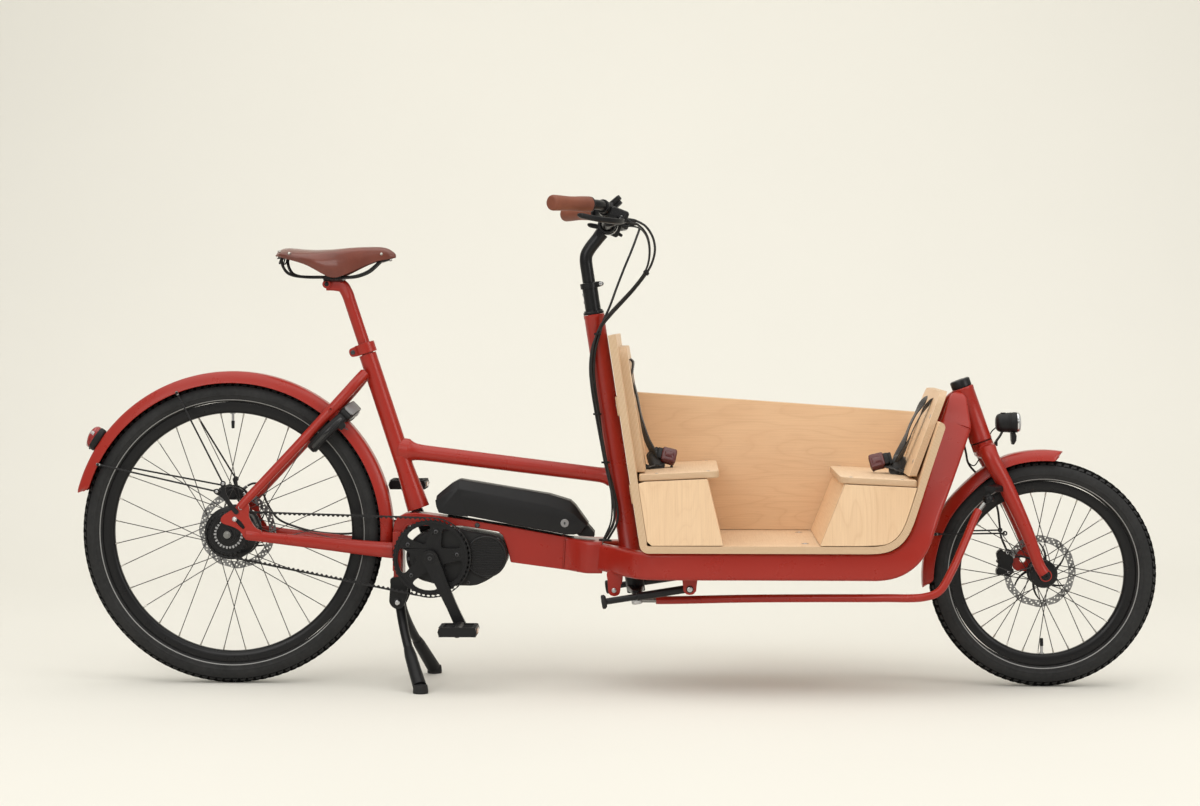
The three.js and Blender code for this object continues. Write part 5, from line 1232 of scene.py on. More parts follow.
B = Build('seat_stays_detail')
def stay_pts(s):
    return resample([V(-568, -20 * s, 711), V(-578, -29 * s, 700), V(-590, -38 * s, 686), V(-612, -47 * s, 661), V(-700, -54 * s, 566), V(-790, -66 * s, 470), V(-833, -74 * s, 424), V(-846, -75.5 * s, 409)], 48)
for s in (1, -1):
    B.add(tube(stay_pts(s), lambda t: 12.5 - 2.8 * t, 32), RED)
B.add(rod(V(-606, -46, 668), V(-606, 46, 668), 8, 32), RED)
B.add(turn([(8, 0), (11.2, 1.0), (10.4, 3.2), (8, 3.8)], V(-606, -37.5, 668), V(0, 1, 0), 40), RED_WELD)
B.add(turn([(8, 0), (11.2, 1.0), (10.4, 3.2), (8, 3.8)], V(-606, 37.5, 668), V(0, -1, 0), 40), RED_WELD)
# carrier boss with an open thread
for s in (1, -1):
    c = V(-640, -(50) * s, 631)
    B.add(turn([(2.8, -3), (6, -3), (6, 9.5), (5.4, 10.5), (2.8, 10.5)], c + V(0, -5 * s, 0), V(0, -s, 0), 24), RED)
    B.add(turn([(0, 0), (2.8, 0), (2.8, 3), (0, 3)], c + V(0, -9 * s, 0), V(0, -s, 0), 16), BLACK)
weldring(B, V(-640, -48, 622), V(-575, -22, 705), 12.6, seat_at(600), seat_at(900), 20.3, RED_WELD, 2.2)
weldring(B, V(-640, 48, 622), V(-575, 22, 705), 12.6, seat_at(600), seat_at(900), 20.3, RED_WELD, 2.2)
B.done('frame', ['seat_stays'], sharp=38)

for side, s in (('right', 1), ('left', -1)):
    B = Build('chain_stay_%s_detail' % side)
    p = resample([V(-502.4, -41 * s, 309), V(-560, -41.5 * s, 314), V(-660, -47 * s, 325), V(-760, -65 * s, 337), V(-812, -74.5 * s, 344), V(-832, -75.5 * s, 346.5)], 40)
    B.add(sweep(p, lambda t, i: circle(8 - 1.2 * max(0, (t - 0.8) / 0.2), 32, 18.4 - 6.4 * min(1, t / 0.8) - 0.6 * max(0, (t - 0.8) / 0.2)), startN=(1, 0, 0)), RED)
    out = [(-880, 380), (-889, 372), (-894, 358), (-894, 344), (-888, 331), (-878, 324), (-862, 321), (-846, 323), (-828, 329), (-815, 336), (-809, 346), (-811, 360), (-822, 374), (-826, 390), (-828, 408), (-836, 428), (-843, 430), (-856, 422), (-861, 402), (-868, 390)]
    out = [(a[0], a[1]) for a in [(q[0], q[2]) for q in resample([V(x, 0, z) for x, z in out], 90, closed=True)[:-1]]]
    win = [(q[0], q[2]) for q in resample([V(-846, 0, 372), V(-838, 0, 366), V(-832, 0, 372), V(-837, 0, 388), V(-843, 0, 392), V(-848, 0, 384)], 28, closed=True)[:-1]]
    hub = ring_pts(REAR, 7.3, 28)
    y0, y1 = sorted((-s * 71.2, -s * 78.6))
    yo = -78.6 * s
    if s == 1:
        # Y-shaped plate that clears the axle, and the black carrier screwed behind it that holds the axle
        out = rounded([(-888.5, 376), (-889.5, 381.5), (-884, 390.5), (-872, 398.5), (-856, 409.5), (-848, 420), (-839, 428), (-829, 422), (-824.5, 408), (-825.6, 390), (-814, 367.5), (-806, 359.8), (-798, 356), (-797, 336.5), (-812, 333.6), (-827, 334.8), (-836.5, 340.5), (-843.5, 352.6), (-854.5, 361.6), (-871.5, 368.0), (-883, 371.8)], 130)
        slot_ = rounded([(-856.5, 378.5), (-852.6, 383.6), (-846.5, 380.4), (-838.4, 371.0), (-834.6, 363.6), (-838.2, 359.6), (-844.4, 363.8), (-852.4, 372.4)], 44)
        B.add(plate(out, y0, y1, holes=[slot_]), RED)
        car = rounded([(-895, 349), (-891, 334), (-876, 327.6), (-861, 333), (-852, 346), (-840, 356), (-838, 372), (-852, 386), (-872, 388), (-888, 376), (-893, 363)], 90)
        B.add(plate(car, -75.0, -70.6, holes=[hub]), BLACK_SATIN)
    else:
        B.add(plate(out, y0, y1, holes=[hub, win]), RED)
    # axle nut, washer and the three plate bolts
    yn = yo + (3.6 if s == 1 else 0)
    B.add(turn([(7, 0), (17.5, 0), (17.5, 1.2), (16.6, 2.0), (7, 2.0)], V(REAR[0], yn, REAR[1]), V(0, -s, 0), 48), BLACK_SATIN)
    hexnut(B, V(REAR[0], yn - 2.0 * s, REAR[1]), (0, -s, 0), BLACK_SATIN, 12.5, 7.5)
    B.add(turn([(4, 0), (8.6, 0), (8.2, 1.4), (4, 1.4)], V(REAR[0], yn - 9.4 * s, REAR[1]), V(0, -s, 0), 32), CLIP_METAL)
    B.add(rod(V(REAR[0], yn - 9 * s, REAR[1]), V(REAR[0], yn - 14.5 * s, REAR[1]), 4.9, 24, ch=0.8), CLIP_METAL)
    if s == 1:
        for x, z, mt in ((-843.8, 409.1, RED), (-857.8, 382.4, CHROME), (-820.1, 345.4, DARK_STEEL)):
            B.add(turn([(0, 0), (5.6, 0), (5.6, 0.8), (0, 0.8)], V(x, yo, z), V(0, -s, 0), 30), STEEL if mt is not DARK_STEEL else BLACK)
            bolt(B, V(x, yo - 0.7, z), (0, -s, 0), mt, 4.2, 2.6, n=26)
    B.done('frame', ['chain_stay_%s' % side], bevel=0.9, seg=2, ang=50)

# ------------------------------------------------------------------ drive unit and battery
B = Build('drive_unit_detail')
cas = []
for i in range(29):
    a = rad(100 + i * 160 / 28)
    cas.append((CR[0] + 58 * math.cos(a), CR[1] + 58 * math.sin(a)))
cas += [(-396, 229.5), (-372, 228.5), (-349, 229), (-325, 228.6), (-310, 230.5), (-292, 238), (-276, 247.5), (-262, 258.5), (-250, 270), (-243, 284), (-241, 300), (-245, 318), (-254, 336), (-262, 342), (-300, 349.5), (-347, 357.5), (-380, 358), (-404, 356)]
B.add(plate(cas, -40, 42), MOTOR)
def scaled(poly, k, c):
    return [(c[0] + (a - c[0]) * k, c[1] + (b - c[1]) * k) for a, b in poly]
cc = (-340, 294)
B.add(loft([[(a, -40, b) for a, b in scaled(cas, 0.975, cc)], [(a, -44, b) for a, b in scaled(cas, 0.94, cc)]]), MOTOR)
B.add(loft([[(a, 42, b) for a, b in scaled(cas, 0.975, cc)], [(a, 46, b) for a, b in scaled(cas, 0.93, cc)]]), MOTOR)
# parting line round the casing
B.add(plate(scaled(cas, 1.004, cc), -3, -2), BLACK)
# ribbed round cover on the near side
mc = V(-289, -43.5, 296)
Yn = V(0, -1, 0)
B.add(turn([(0, 0), (48, 0), (48, 5), (46.8, 6.8), (44.5, 7.6), (43.4, 6.8), (43, 5.2), (0, 5.2)], mc, Yn, 96), MOTOR)
for j in range(15):
    z = -37.8 + 5.4 * j
    hw_ = math.sqrt(max(0, 42.2 ** 2 - z * z))
    if hw_ < 8:
        continue
    B.add(loft([[(mc[0] - hw_, mc[1] - 4.5, mc[2] + z - 1.35), (mc[0] - hw_, mc[1] - 4.5, mc[2] + z + 1.35), (mc[0] - hw_ + 1.2, mc[1] - 7.4, mc[2] + z + 0.8), (mc[0] - hw_ + 1.2, mc[1] - 7.4, mc[2] + z - 0.8)],
                [(mc[0] + hw_, mc[1] - 4.5, mc[2] + z - 1.35), (mc[0] + hw_, mc[1] - 4.5, mc[2] + z + 1.35), (mc[0] + hw_ - 1.2, mc[1] - 7.4, mc[2] + z + 0.8), (mc[0] + hw_ - 1.2, mc[1] - 7.4, mc[2] + z - 0.8)]]), MOTOR)
B.add(turn([(0, 0), (34, 0), (30.5, 7), (28, 8), (12.5, 8), (12.5, 2), (0, 2)], V(CR[0], 45.5, CR[1]), V(0, 1, 0), 64), MOTOR)
B.add(turn([(12, 0), (36, 0), (33, 5), (18, 6.5), (12, 6.5)], V(CR[0], -43.5, CR[1]), Yn, 64), MOTOR)
for x, z in ((-392, 352), (-352, 350.5), (-262, 334), (-258, 268), (-330, 236), (-400, 240), (-466, 290)):
    for yy, d in ((-43.0, -1), (45.0, 1)):
        bolt(B, V(x, yy, z), (0, d, 0), DARK_STEEL, 4.6, 2.2)
# bolts that hold the drive unit's mounting lug to the beam
for yy, d in ((-30.0, -1), (30.0, 1)):
    for x, z in ((-310, 366), (-258, 322)):
        bolt(B, V(x, yy, z), (0, d, 0), DARK_STEEL, 6.0, 3.2)
B.done('frame', ['drive_unit'], bevel=1.4, seg=3, ang=48)

B = Build('battery_detail')
bo = [(-403, 433), (-397, 443), (-388, 450), (-370, 462.5), (-358, 469), (-350, 471), (-300, 464), (-225, 451), (-146, 437.5), (-112, 429), (-98, 423.5), (-86, 412), (-57, 371), (-62, 362), (-72, 348.5), (-90, 344.5), (-106, 344.5), (-230, 367), (-347, 389.5), (-380, 393.5), (-396, 397), (-401, 410)]
def inset(poly, d):
    n = len(poly)
    out = []
    for i in range(n):
        a, b, c = np.array(poly[i - 1]), np.array(poly[i]), np.array(poly[(i + 1) % n])
        t = unit(c - a)
        out.append(tuple(b + np.array([-t[1], t[0]]) * d))
    return out
area2 = sum(bo[i][0] * bo[(i + 1) % len(bo)][1] - bo[(i + 1) % len(bo)][0] * bo[i][1] for i in range(len(bo)))
sgn = 1 if area2 > 0 else -1
def side_of(p, drop, d):
    """outline at the side: its top lowered by the long bevel, the rest drawn in a little"""
    q = inset(p, sgn * d)
    out = []
    for (x, z) in q:
        lim = np.interp(x, [-403, -370, -352, -146, -93, -56], [434, 461, 471, 437, 421, 369])
        out.append((x, min(z, lim - drop * np.interp(x, [-403, -380, -352, -100, -60], [0.5, 0.8, 1, 1.35, 0.4]))))
    return out
rings = []
for yy, drop, d in ((-41.5, 21.5, 4.2), (-40.8, 20.0, 2.4), (-39.6, 18.2, 1.4), (-28.0, 1.4, 0.5), (-25.5, 0.3, 0.1), (0, 0, 0), (25.5, 0.3, 0.1), (28.0, 1.4, 0.5), (39.6, 18.2, 1.4), (40.8, 20.0, 2.4), (41.5, 21.5, 4.2)):
    rings.append([(a, yy, b) for a, b in side_of(bo, drop, d)])
B.add(loft(rings), BATT)
B.add(plate([(-62, 371), (-50, 358), (-43.5, 350), (-43.5, 340), (-78, 342), (-86, 349)], -29, 29), PLASTIC)
# end cap: a second shell over the rear end, with a step where it meets the main shell
cap_rings = []
for yy, drop, d in ((-42.0, 20.8, 3.6), (-41.3, 19.4, 1.8), (-40.0, 17.6, 0.9), (-28.2, 0.9, 0.0), (0, 0, -0.3), (28.2, 0.9, 0.0), (40.0, 17.6, 0.9), (41.3, 19.4, 1.8), (42.0, 20.8, 3.6)):
    o_ = [(-353, 470.6), (-358, 469), (-370, 462.5), (-388, 450), (-397, 443), (-403, 433), (-401, 410), (-396, 397), (-380, 393.5), (-347, 389.5), (-331, 387), (-338, 400), (-347, 430), (-354, 455)]
    o_ = [(min(x, -331), z) for x, z in o_]
    cap_rings.append([(a, yy, b) for a, b in side_of(o_, drop, d * 0.6 - 0.25)])
B.add(loft(cap_rings), BATT)
B.add(turn([(0, 0), (9.5, 0), (9.5, 1.4), (8.4, 2.2), (3, 2.2), (3, 1.0), (0, 1.0)], V(-110, -40.6, 372), Yn, 36), GREY_PLASTIC)
B.add(boxm(-111, -109, -43.0, -41.6, 369, 375), BLACK)
B.done('battery', ['battery'], bevel=0.8, seg=2, ang=30, sharp=26)

# ------------------------------------------------------------------ mudguards
def guard(B, c, rfn, w, a0, a1, n, tip0, tip1, deep=24.0, cut=0.0):
    rings = []
    k = 20
    for i in range(n + 1):
        deg = a0 + (a1 - a0) * i / n
        a = rad(deg)
        rO = rfn(deg) + 3.6
        e0, e1 = (deg - a0) / tip0 if tip0 else 9, (a1 - deg) / tip1 if tip1 else 9
        q = 1.0
        for e in (e0, e1):
            if e < 1:
                q = min(q, 0.55 + 0.45 * math.sqrt(max(0, 1 - (1 - e) ** 2)))
        W = (w + 1.6) * q
        out = []
        for j in range(k + 1):
            t = -1 + 2 * j / k
            flank = max(0, (abs(t) - 0.52) / 0.48)
            out.append((rO - deep * flank ** 1.5 * q - 1.0 * t * t, W * (t if flank == 0 else math.copysign(0.52 + 0.48 * (flank ** 0.82), t))))
        inn = [(r - 1.7 if j not in (0, k) else r - 0.4, y * (1 - 1.6 / w)) for j, (r, y) in enumerate(out)][::-1]
        def ang(r):
            f = (rO - r) / deep
            return a - rad(cut) * f * max(0.0, 1 - (a1 - deg) / 9) + rad(cut) * f * max(0.0, 1 - (deg - a0) / 9) * (1 if tip0 else 0)
        rings.append([(c[0] + r * math.cos(ang(r)), y, c[1] + r * math.sin(ang(r))) for r, y in out + inn])
    B.add(loft(rings), RED)
    # rolled hem along both edges
    for s in (-1, 1):
        path = []
        for i in range(n + 1):
            deg = a0 + (a1 - a0) * i / n
            e0, e1 = (deg - a0) / tip0 if tip0 else 9, (a1 - deg) / tip1 if tip1 else 9
            q = 1.0
            for e in (e0, e1):
                if e < 1:
                    q = min(q, 0.55 + 0.45 * math.sqrt(max(0, 1 - (1 - e) ** 2)))
            r = rfn(deg) + 3.6 - deep * q - 1.0
            f = (rfn(deg) + 3.6 - r) / deep
            aa = rad(deg) - rad(cut) * f * max(0.0, 1 - (a1 - deg) / 9) + rad(cut) * f * max(0.0, 1 - (deg - a0) / 9) * (1 if tip0 else 0)
            path.append(V(c[0] + r * math.cos(aa), s * (w + 1.2) * q, c[1] + r * math.sin(aa)))
        B.add(tube(path, 1.35, 10, twistfree=True), RED)

def clip(B, p, q, side):
    """moulded clip at the edge of the mudguard that holds the stay"""
    d = unit(np.array(q) - np.array(p))
    B.add(rod(p - d * 1, p + d * 9, 3.6, 18, 3.2, ch=0.8), CLIP_METAL)
    B.add(rod(p + d * 9, p + d * 14, 2.7, 16, 2.4, ch=0.6), PLASTIC)
    B.add(turn([(0, 0), (3.2, 0), (3.2, 1.2), (2.0, 1.8), (0, 1.8)], p + d * 3 + V(0, side * 3.0, 0), V(0, side, 0), 16), BLACK)

B = Build('rear_fender_detail')
guard(B, REAR, lambda d: 366, 30.5, -4, 166, 150, 0, 2.2, 24.5, 2.4)
for s in (-1, 1):
    for a, e in ((111, (-884, 466)), (153, (-900, 446))):
        p = V(REAR[0] + 345.5 * math.cos(rad(a)), s * 33.6, REAR[1] + 345.5 * math.sin(rad(a)))
        q = V(e[0], s * 83.5, e[1])
        B.add(rod(p, q, 2.0, 14), BLACK)
        clip(B, p, q, s)
        # flattened eye at the lower end
        d = unit(q - p)
        B.add(turn([(2.6, 0), (6.2, 0), (6.2, 2.2), (2.6, 2.2)], q + d * 3 + V(0, -s * 1.1, 0), V(0, s, 0), 24), BLACK)
        bolt(B, q + d * 3 + V(0, s * 0.9, 0), (0, s, 0), STEEL, 3.8, 2.0, n=16)
    # bracket that carries both eyes, screwed to the drop-out
    B.add(plate(rounded([(-906, 447.5), (-902, 440.5), (-887, 432), (-866, 405), (-854, 393), (-847.5, 398.5), (-858, 411), (-875, 438), (-879.5, 461), (-884, 469), (-889.5, 464), (-886.5, 447), (-897, 451.5)], 70), s * 80.2 - 1.3, s * 80.2 + 1.3), BLACK)
# the leaf that holds the front end to the frame, with its screws
B.add(boxm(-512, -504, -17, 17, 318, 323), BLACK)
for yy in (-10, 10):
    bolt(B, V(REAR[0] + 366.5, yy, 347 + 2), (1, 0, 0), DARK_STEEL, 4.2, 2.2, n=16)
B.done('frame', ['rear_fender'], sharp=40)

FR = lambda d: 267 + 10.5 * (1 - sstep(d, 104, 136)) + 3 * sstep(d, 165, 187)
def sstep(x, a, b):
    t = min(1, max(0, (x - a) / (b - a)))
    return t * t * (3 - 2 * t)
B = Build('front_fender_detail')
guard(B, FRONT, FR, 30.5, 81, 187, 110, 2.6, 2.6, 22.0, 2.8)
for s in (-1, 1):
    p = V(FRONT[0] + 264 * math.cos(rad(160)), s * 31.5, FRONT[1] + 264 * math.sin(rad(160)))
    q = V(886, s * 44, 352)
    d = unit(q - p)
    for off in (0,):
        B.add(rod(p, q, 1.85, 14), BLACK)
    clip(B, p, q, s)
    B.add(turn([(2.4, 0), (5.6, 0), (5.6, 2.0), (2.4, 2.0)], q + V(0, -s, 0), V(0, s, 0), 24), BLACK)
# bridge strap under the crown
B.add(plate([(846, 522), (850, 518), (872, 507), (874, 510.5), (852, 522.5)], -9, 9), BLACK)
B.done('fork', ['front_fender'], sharp=40)

# ------------------------------------------------------------------ lights
B = Build('tail_light_detail')
tn, td = unit(V(-0.838, 0, 0.546)), unit(V(0.546, 0, 0.838))
tc = V(-1181.5, 0, 555.5)
def lampring(u0, h, a, b, lean=0.0):
    return [tc + td * (u0 + a * math.cos(t)) + V(0, b * math.sin(t), 0) + tn * (h + lean * math.cos(t)) for t in np.linspace(0, 2 * math.pi, 65)[:-1]]
B.add(loft([lampring(0, -3.5, 23, 17), lampring(0, 0.5, 26.6, 21.4), lampring(0, 2, 27.6, 22.2), lampring(0, 12.4, 27.6, 22.2), lampring(0, 13.2, 26.8, 21.4)]), PLASTIC)
B.add(loft([lampring(0, 12.8, 25.8, 20.4), lampring(0, 14.4, 26.6, 21.2), lampring(0.6, 19.4, 25.6, 20.6, 0.6), lampring(1.4, 23.6, 22.4, 18.6, 0.8), lampring(2.2, 26.8, 17.0, 15.2, 0.8), lampring(2.8, 28.9, 10.0, 9.6, 0.5), lampring(3, 29.7, 3.4, 3.4)]), LENS_RED)
# pale clear piece set into the middle of the red lens and wrapped round its side: painted highlight
B.add(loft([lampring(8.6, 18.0, 9.6, 21.4), lampring(8.2, 22.0, 9.4, 20.4), lampring(7.6, 25.8, 8.6, 17.2), lampring(6.8, 28.8, 7.0, 10.6), lampring(6.4, 30.0, 3.6, 4.0)]), LENS_CLEAR)
for j in range(3):
    B.add(sweep(lampring(0, 15.8 + 2.2 * j, 26.7 - 0.25 * j, 21.3 - 0.2 * j), circle(0.42, 6), up=tuple(tn), closed=True), LENS_RED)
for yy in (-12, 12):
    bolt(B, tc - td * 22 + tn * 9 + V(0, yy, 0), -td, DARK_STEEL, 2.4, 5.4, n=16)
B.done('frame', ['tail_light'], bevel=0.6, seg=2, ang=40)

B = Build('headlight_detail')
ld = unit(V(1, 0, 0.02))
B.add(turn([(0, 0), (11, 0.2), (15.5, 1.6), (18.8, 4.4), (20.8, 8.6), (21.6, 14), (22.2, 26), (22.6, 38), (23.4, 40), (23.4, 46.6), (22.4, 47.4), (0, 47.4)], V(869, 0, 600), ld, 72), PLASTIC)
B.add(turn([(0, 46.6), (22.2, 46.6), (22.6, 48.6), (22.0, 52.6), (19.6, 55.2), (12, 56), (0, 56.2)], V(869, 0, 600), ld, 72), LENS_CLEAR)
B.add(turn([(0, 41), (12, 46.0), (19.6, 52.8), (0, 53.4)], V(869, 0, 600), ld, 48), CHROME)
B.add(turn([(22.6, 47.2), (23.7, 47.6), (23.7, 50.4), (22.6, 50.8)], V(869, 0, 600), ld, 72), REFLECTOR)
for j in range(3):
    B.add(turn([(22.2 + 0.06 * j, 27 + 3.4 * j), (22.9 + 0.06 * j, 27.4 + 3.4 * j), (22.9 + 0.06 * j, 28.6 + 3.4 * j), (22.2 + 0.06 * j, 29 + 3.4 * j)], V(869, 0, 600), ld, 72), PLASTIC)
B.add(turn([(0, 0), (6.4, 0), (6.4, 1.2), (5.2, 2.0), (0, 2.0)], V(886, 0, 621.4), V(0, 0, 1), 28), PLASTIC_SOFT)
# reflector hanging below the lamp, and the bracket down to the crown
B.add(plate([(903, 577.5), (913, 577.8), (915.5, 571), (915, 560), (910, 551), (906, 551), (904, 560)], -10.5, 10.5), PLASTIC)
B.add(plate([(913.4, 575.6), (916.2, 571), (915.6, 560), (911.8, 553), (910.4, 553)], -9, 9), REFLECTOR)
for yy in (-7.6, 7.6):
    B.add(sweep(resample([V(886, yy * 0.8, 584), V(879, yy, 570), V(872, yy, 560), V(868, yy, 551)], 24), rrect(3.4, 5.4, 1.2, 3), up=(0, 1, 0)), BLACK)
bolt(B, V(886, -9.2, 583), (0, -1, 0), DARK_STEEL, 4.2, 2.4, n=18)
bolt(B, V(886, 9.2, 583), (0, 1, 0), DARK_STEEL, 4.2, 2.4, n=18)
B.add(boxm(866.5, 873, -9, 9, 547.6, 557), BLACK)
B.add(rod(V(886, -9.4, 583), V(886, 9.4, 583), 3.8, 20), BLACK)
B.done('fork', ['headlight'], bevel=0.5, seg=2, ang=40)

# ------------------------------------------------------------------ ring lock
LA = rad(45.3)
rdir, tdir = V(math.cos(LA), 0, math.sin(LA)), V(math.sin(LA), 0, -math.cos(LA))
lc = V(REAR[0], 0, REAR[1]) + rdir * 322 - tdir * 3.5
def horseshoe(prof, a0, a1, n, scale=None):
    """profile of (radial, along the frame) pairs carried round the ring of the lock"""
    rings = []
    for i in range(n + 1):
        deg = a0 + (a1 - a0) * i / n
        a = rad(deg)
        k = 1.0
        e = min(i, n - i) / n * abs(a1 - a0)
        if scale and e < scale:
            k = 0.6 + 0.4 * math.sqrt(max(0, 1 - (1 - e / scale) ** 2))
        cr = sum(p[0] for p in prof) / len(prof)
        ct = sum(p[1] for p in prof) / len(prof)
        rings.append([lc + rdir * ((cr + (r - cr) * k) * math.sin(a)) + V(0, (cr + (r - cr) * k) * math.cos(a), 0) + tdir * (ct + (t - ct) * k) for r, t in prof])
    return loft(rings)
def prof_rr(r0, r1, t0, t1, c, n=4):
    return [((r0 + r1) / 2 + a, (t0 + t1) / 2 + b) for a, b in rrect(r1 - r0, t1 - t0, c, n)]
B = Build('ring_lock_detail')
B.add(horseshoe(prof_rr(58.6, 76.4, -12.0, 12.0, 5.8, 5), -50, 230, 120, 8), PLASTIC)
B.add(horseshoe(prof_rr(57.2, 83.6, -14.5, 15.6, 6.0, 5), 44, 136, 56, 7), PLASTIC)
B.add(horseshoe(prof_rr(63.0, 78.5, 14.6, 16.6, 1.0), 56, 124, 40, 4), PLASTIC_GLOSS)
B.add(horseshoe(prof_rr(82.2, 87.4, -12.0, 13.6, 2.4), 52, 128, 44, 4), GREY_PLASTIC)
B.add(horseshoe(prof_rr(66.0, 70.6, 10.9, 12.5, 0.7), 150, 222, 40, 3), PLASTIC_GLOSS)
B.add(horseshoe(prof_rr(75.0, 77.2, -3.0, 5.0, 1.0), 142, 222, 40, 3), PLASTIC_GLOSS)
# key cylinder in the top, slide lever on the near shoulder
B.add(turn([(0, 0), (8.6, 0), (8.6, 2.0), (7.4, 3.0), (4.4, 3.0), (4.4, 1.6), (0, 1.6)], lc + rdir * 71 + tdir * 15.2, tdir, 36), STEEL)
la_ = rad(218)
lp = lc + rdir * (66 * math.sin(la_)) + V(0, 66 * math.cos(la_), 0)
B.add(sweep([lp + tdir * 10.6, lp + tdir * 13.6], rrect(9, 20, 3, 4), up=rdir), PLASTIC_GLOSS)
# latch lever with its pin on the near shoulder
lv_ = rad(150)
lq = lc + rdir * (70 * math.sin(lv_)) + V(0, -abs(70 * math.cos(lv_)), 0)
B.add(sweep([lq + tdir * 9, lq + tdir * 17, lq + tdir * 21], lambda t, i: rrect(13 - 4 * t, 21 - 8 * t, 3.4 - t, 4), up=rdir), PLASTIC)
B.add(rod(lq + tdir * 18, lq + tdir * 30 + rdir * 4, 1.6, 14, 1.2), DARK_STEEL)
for a in (20, 160):
    ar = rad(a)
    bolt(B, lc + rdir * (67 * math.sin(ar)) + V(0, 67 * math.cos(ar), 0) + tdir * 10.9, tdir, DARK_STEEL, 4.0, 1.6, n=18)
B.done('frame', ['ring_lock'], bevel=0.0, sharp=40)
B = Build('lock_bow_detail')
B.add(horseshoe([(63.5 + 3.3 * math.cos(2 * math.pi * j / 20), -6.4 + 3.3 * math.sin(2 * math.pi * j / 20)) for j in range(20)], -44, 168, 90, 3), STEEL)
B.add(horseshoe(prof_rr(60.2, 66.8, -9.8, -3.1, 2.6), 148, 168, 12, 2), PLASTIC)
B.done('lock_bow', ['lock_bow'], sharp=50)

# ------------------------------------------------------------------ brakes
B = Build('rear_caliper_detail')
cx, cz = -884, 433
def halfbody(y0, y1, outl, face):
    mid = (y0 + y1) / 2
    q = rounded(outl, 80)
    cc_ = (sum(p[0] for p in q) / len(q), sum(p[1] for p in q) / len(q))
    return loft([[(cc_[0] + (a - cc_[0]) * k, y, cc_[1] + (b - cc_[1]) * k) for a, b in q] for y, k in ((y0, 0.93 if face < 0 else 1), (y0 + 1.8, 0.99), (mid, 1.0), (y1 - 1.8, 0.99), (y1, 0.93 if face > 0 else 1))])
out1 = [(cx - 35, 441), (cx - 33, 425), (cx - 18, 418), (cx + 2, 418), (cx + 16, 420), (cx + 33, 419), (cx + 35, 428), (cx + 30, 438), (cx + 16, 447), (cx - 4, 449.5), (cx - 22, 449)]
B.add(halfbody(56.0, 66.6, out1, 1), BLACK_SATIN)
B.add(halfbody(36.6, 50.2, [(cx - 30, 440), (cx - 26, 424), (cx - 10, 418.5), (cx + 14, 418.5), (cx + 26, 424), (cx + 28, 436), (cx + 14, 446), (cx - 8, 449)], -1), BLACK_SATIN)
B.add(loft([[(x, y, z) for x, z in rounded([(cx - 16, 449), (cx - 15, 443.5), (cx + 15, 443.5), (cx + 16, 449)], 24)] for y in (48, 58)]), BLACK_SATIN)
B.add(turn([(0, 0), (12.5, 0), (12.5, 1.2), (11, 1.9), (7, 1.9), (6.4, 1.0), (0, 1.0)], V(cx, 38.3, 432), V(0, -1, 0), 40), BLACK_SATIN)
B.add(turn([(0, 0), (12.5, 0), (12.5, 0.9), (11, 1.4), (0, 1.4)], V(cx, 65.6, 432), V(0, 1, 0), 40), BLACK_SATIN)
for x, z in ((cx - 27, 433), (cx + 27, 431)):
    bolt(B, V(x, 38.2, z), (0, -1, 0), STEEL, 4.6, 1.6, n=18)
# pads in the gap
B.add(boxm(cx - 11, cx + 11, 50.2, 51.6, 421, 446), STEEL)
B.add(boxm(cx - 11, cx + 11, 54.6, 56.0, 421, 446), STEEL)
B.add(boxm(-861, -849.4, 57, 70.4, 408.4, 420.6), BLACK_SATIN)
# hose nut
B.add(rod(V(cx + 22, 60.5, 441), V(cx + 31, 61.5, 447.5), 3.6, 18, 3.2), DARK_STEEL)
B.done('frame', ['rear_caliper'], bevel=0.7, seg=2, ang=42)

B = Build('front_caliper_detail')
outf = [(877.5, 251), (884, 247.6), (890, 251.6), (897, 247.8), (907, 247.8), (914, 253), (916.6, 262), (909.5, 269), (915.6, 279), (914, 291), (907.5, 297), (912, 303.6), (904, 308.4), (896, 302.6), (888, 308.6), (880, 303.4), (877, 296), (883.6, 289), (877.4, 280), (884, 271), (877.2, 262)]
B.add(halfbody(45.0, 54.6, outf, 1), BLACK_SATIN)
B.add(halfbody(31.4, 39.2, outf, -1), BLACK_SATIN)
B.add(loft([[(x, y, z) for x, z in rounded([(877, 300), (881, 276), (878, 252), (884, 252), (887, 276), (884, 302)], 30)] for y in (37, 47)]), BLACK_SATIN)
B.add(turn([(0, 0), (12, 0), (12, 0.6), (0, 0.6)], V(896, 54.2, 279), V(0, 1, 0), 36), BLACK_SATIN)
B.add(turn([(0, 0), (12, 0), (12, 0.4), (0, 0.4)], V(896, 31.5, 279), V(0, -1, 0), 36), BLACK_SATIN)
for x, z in ((905, 256), (902, 301)):
    bolt(B, V(x, 31.9, z), (0, -1, 0), STEEL, 3.8, 0.9, n=18)
B.add(boxm(888, 904, 39.2, 40.6, 258, 300), STEEL)
B.add(boxm(888, 904, 43.6, 45.0, 258, 300), STEEL)
B.add(boxm(899.4, 914.6, 46.2, 54.8, 262.4, 299.6), BLACK_SATIN)
B.done('fork', ['front_caliper'], bevel=0.6, seg=2, ang=42)

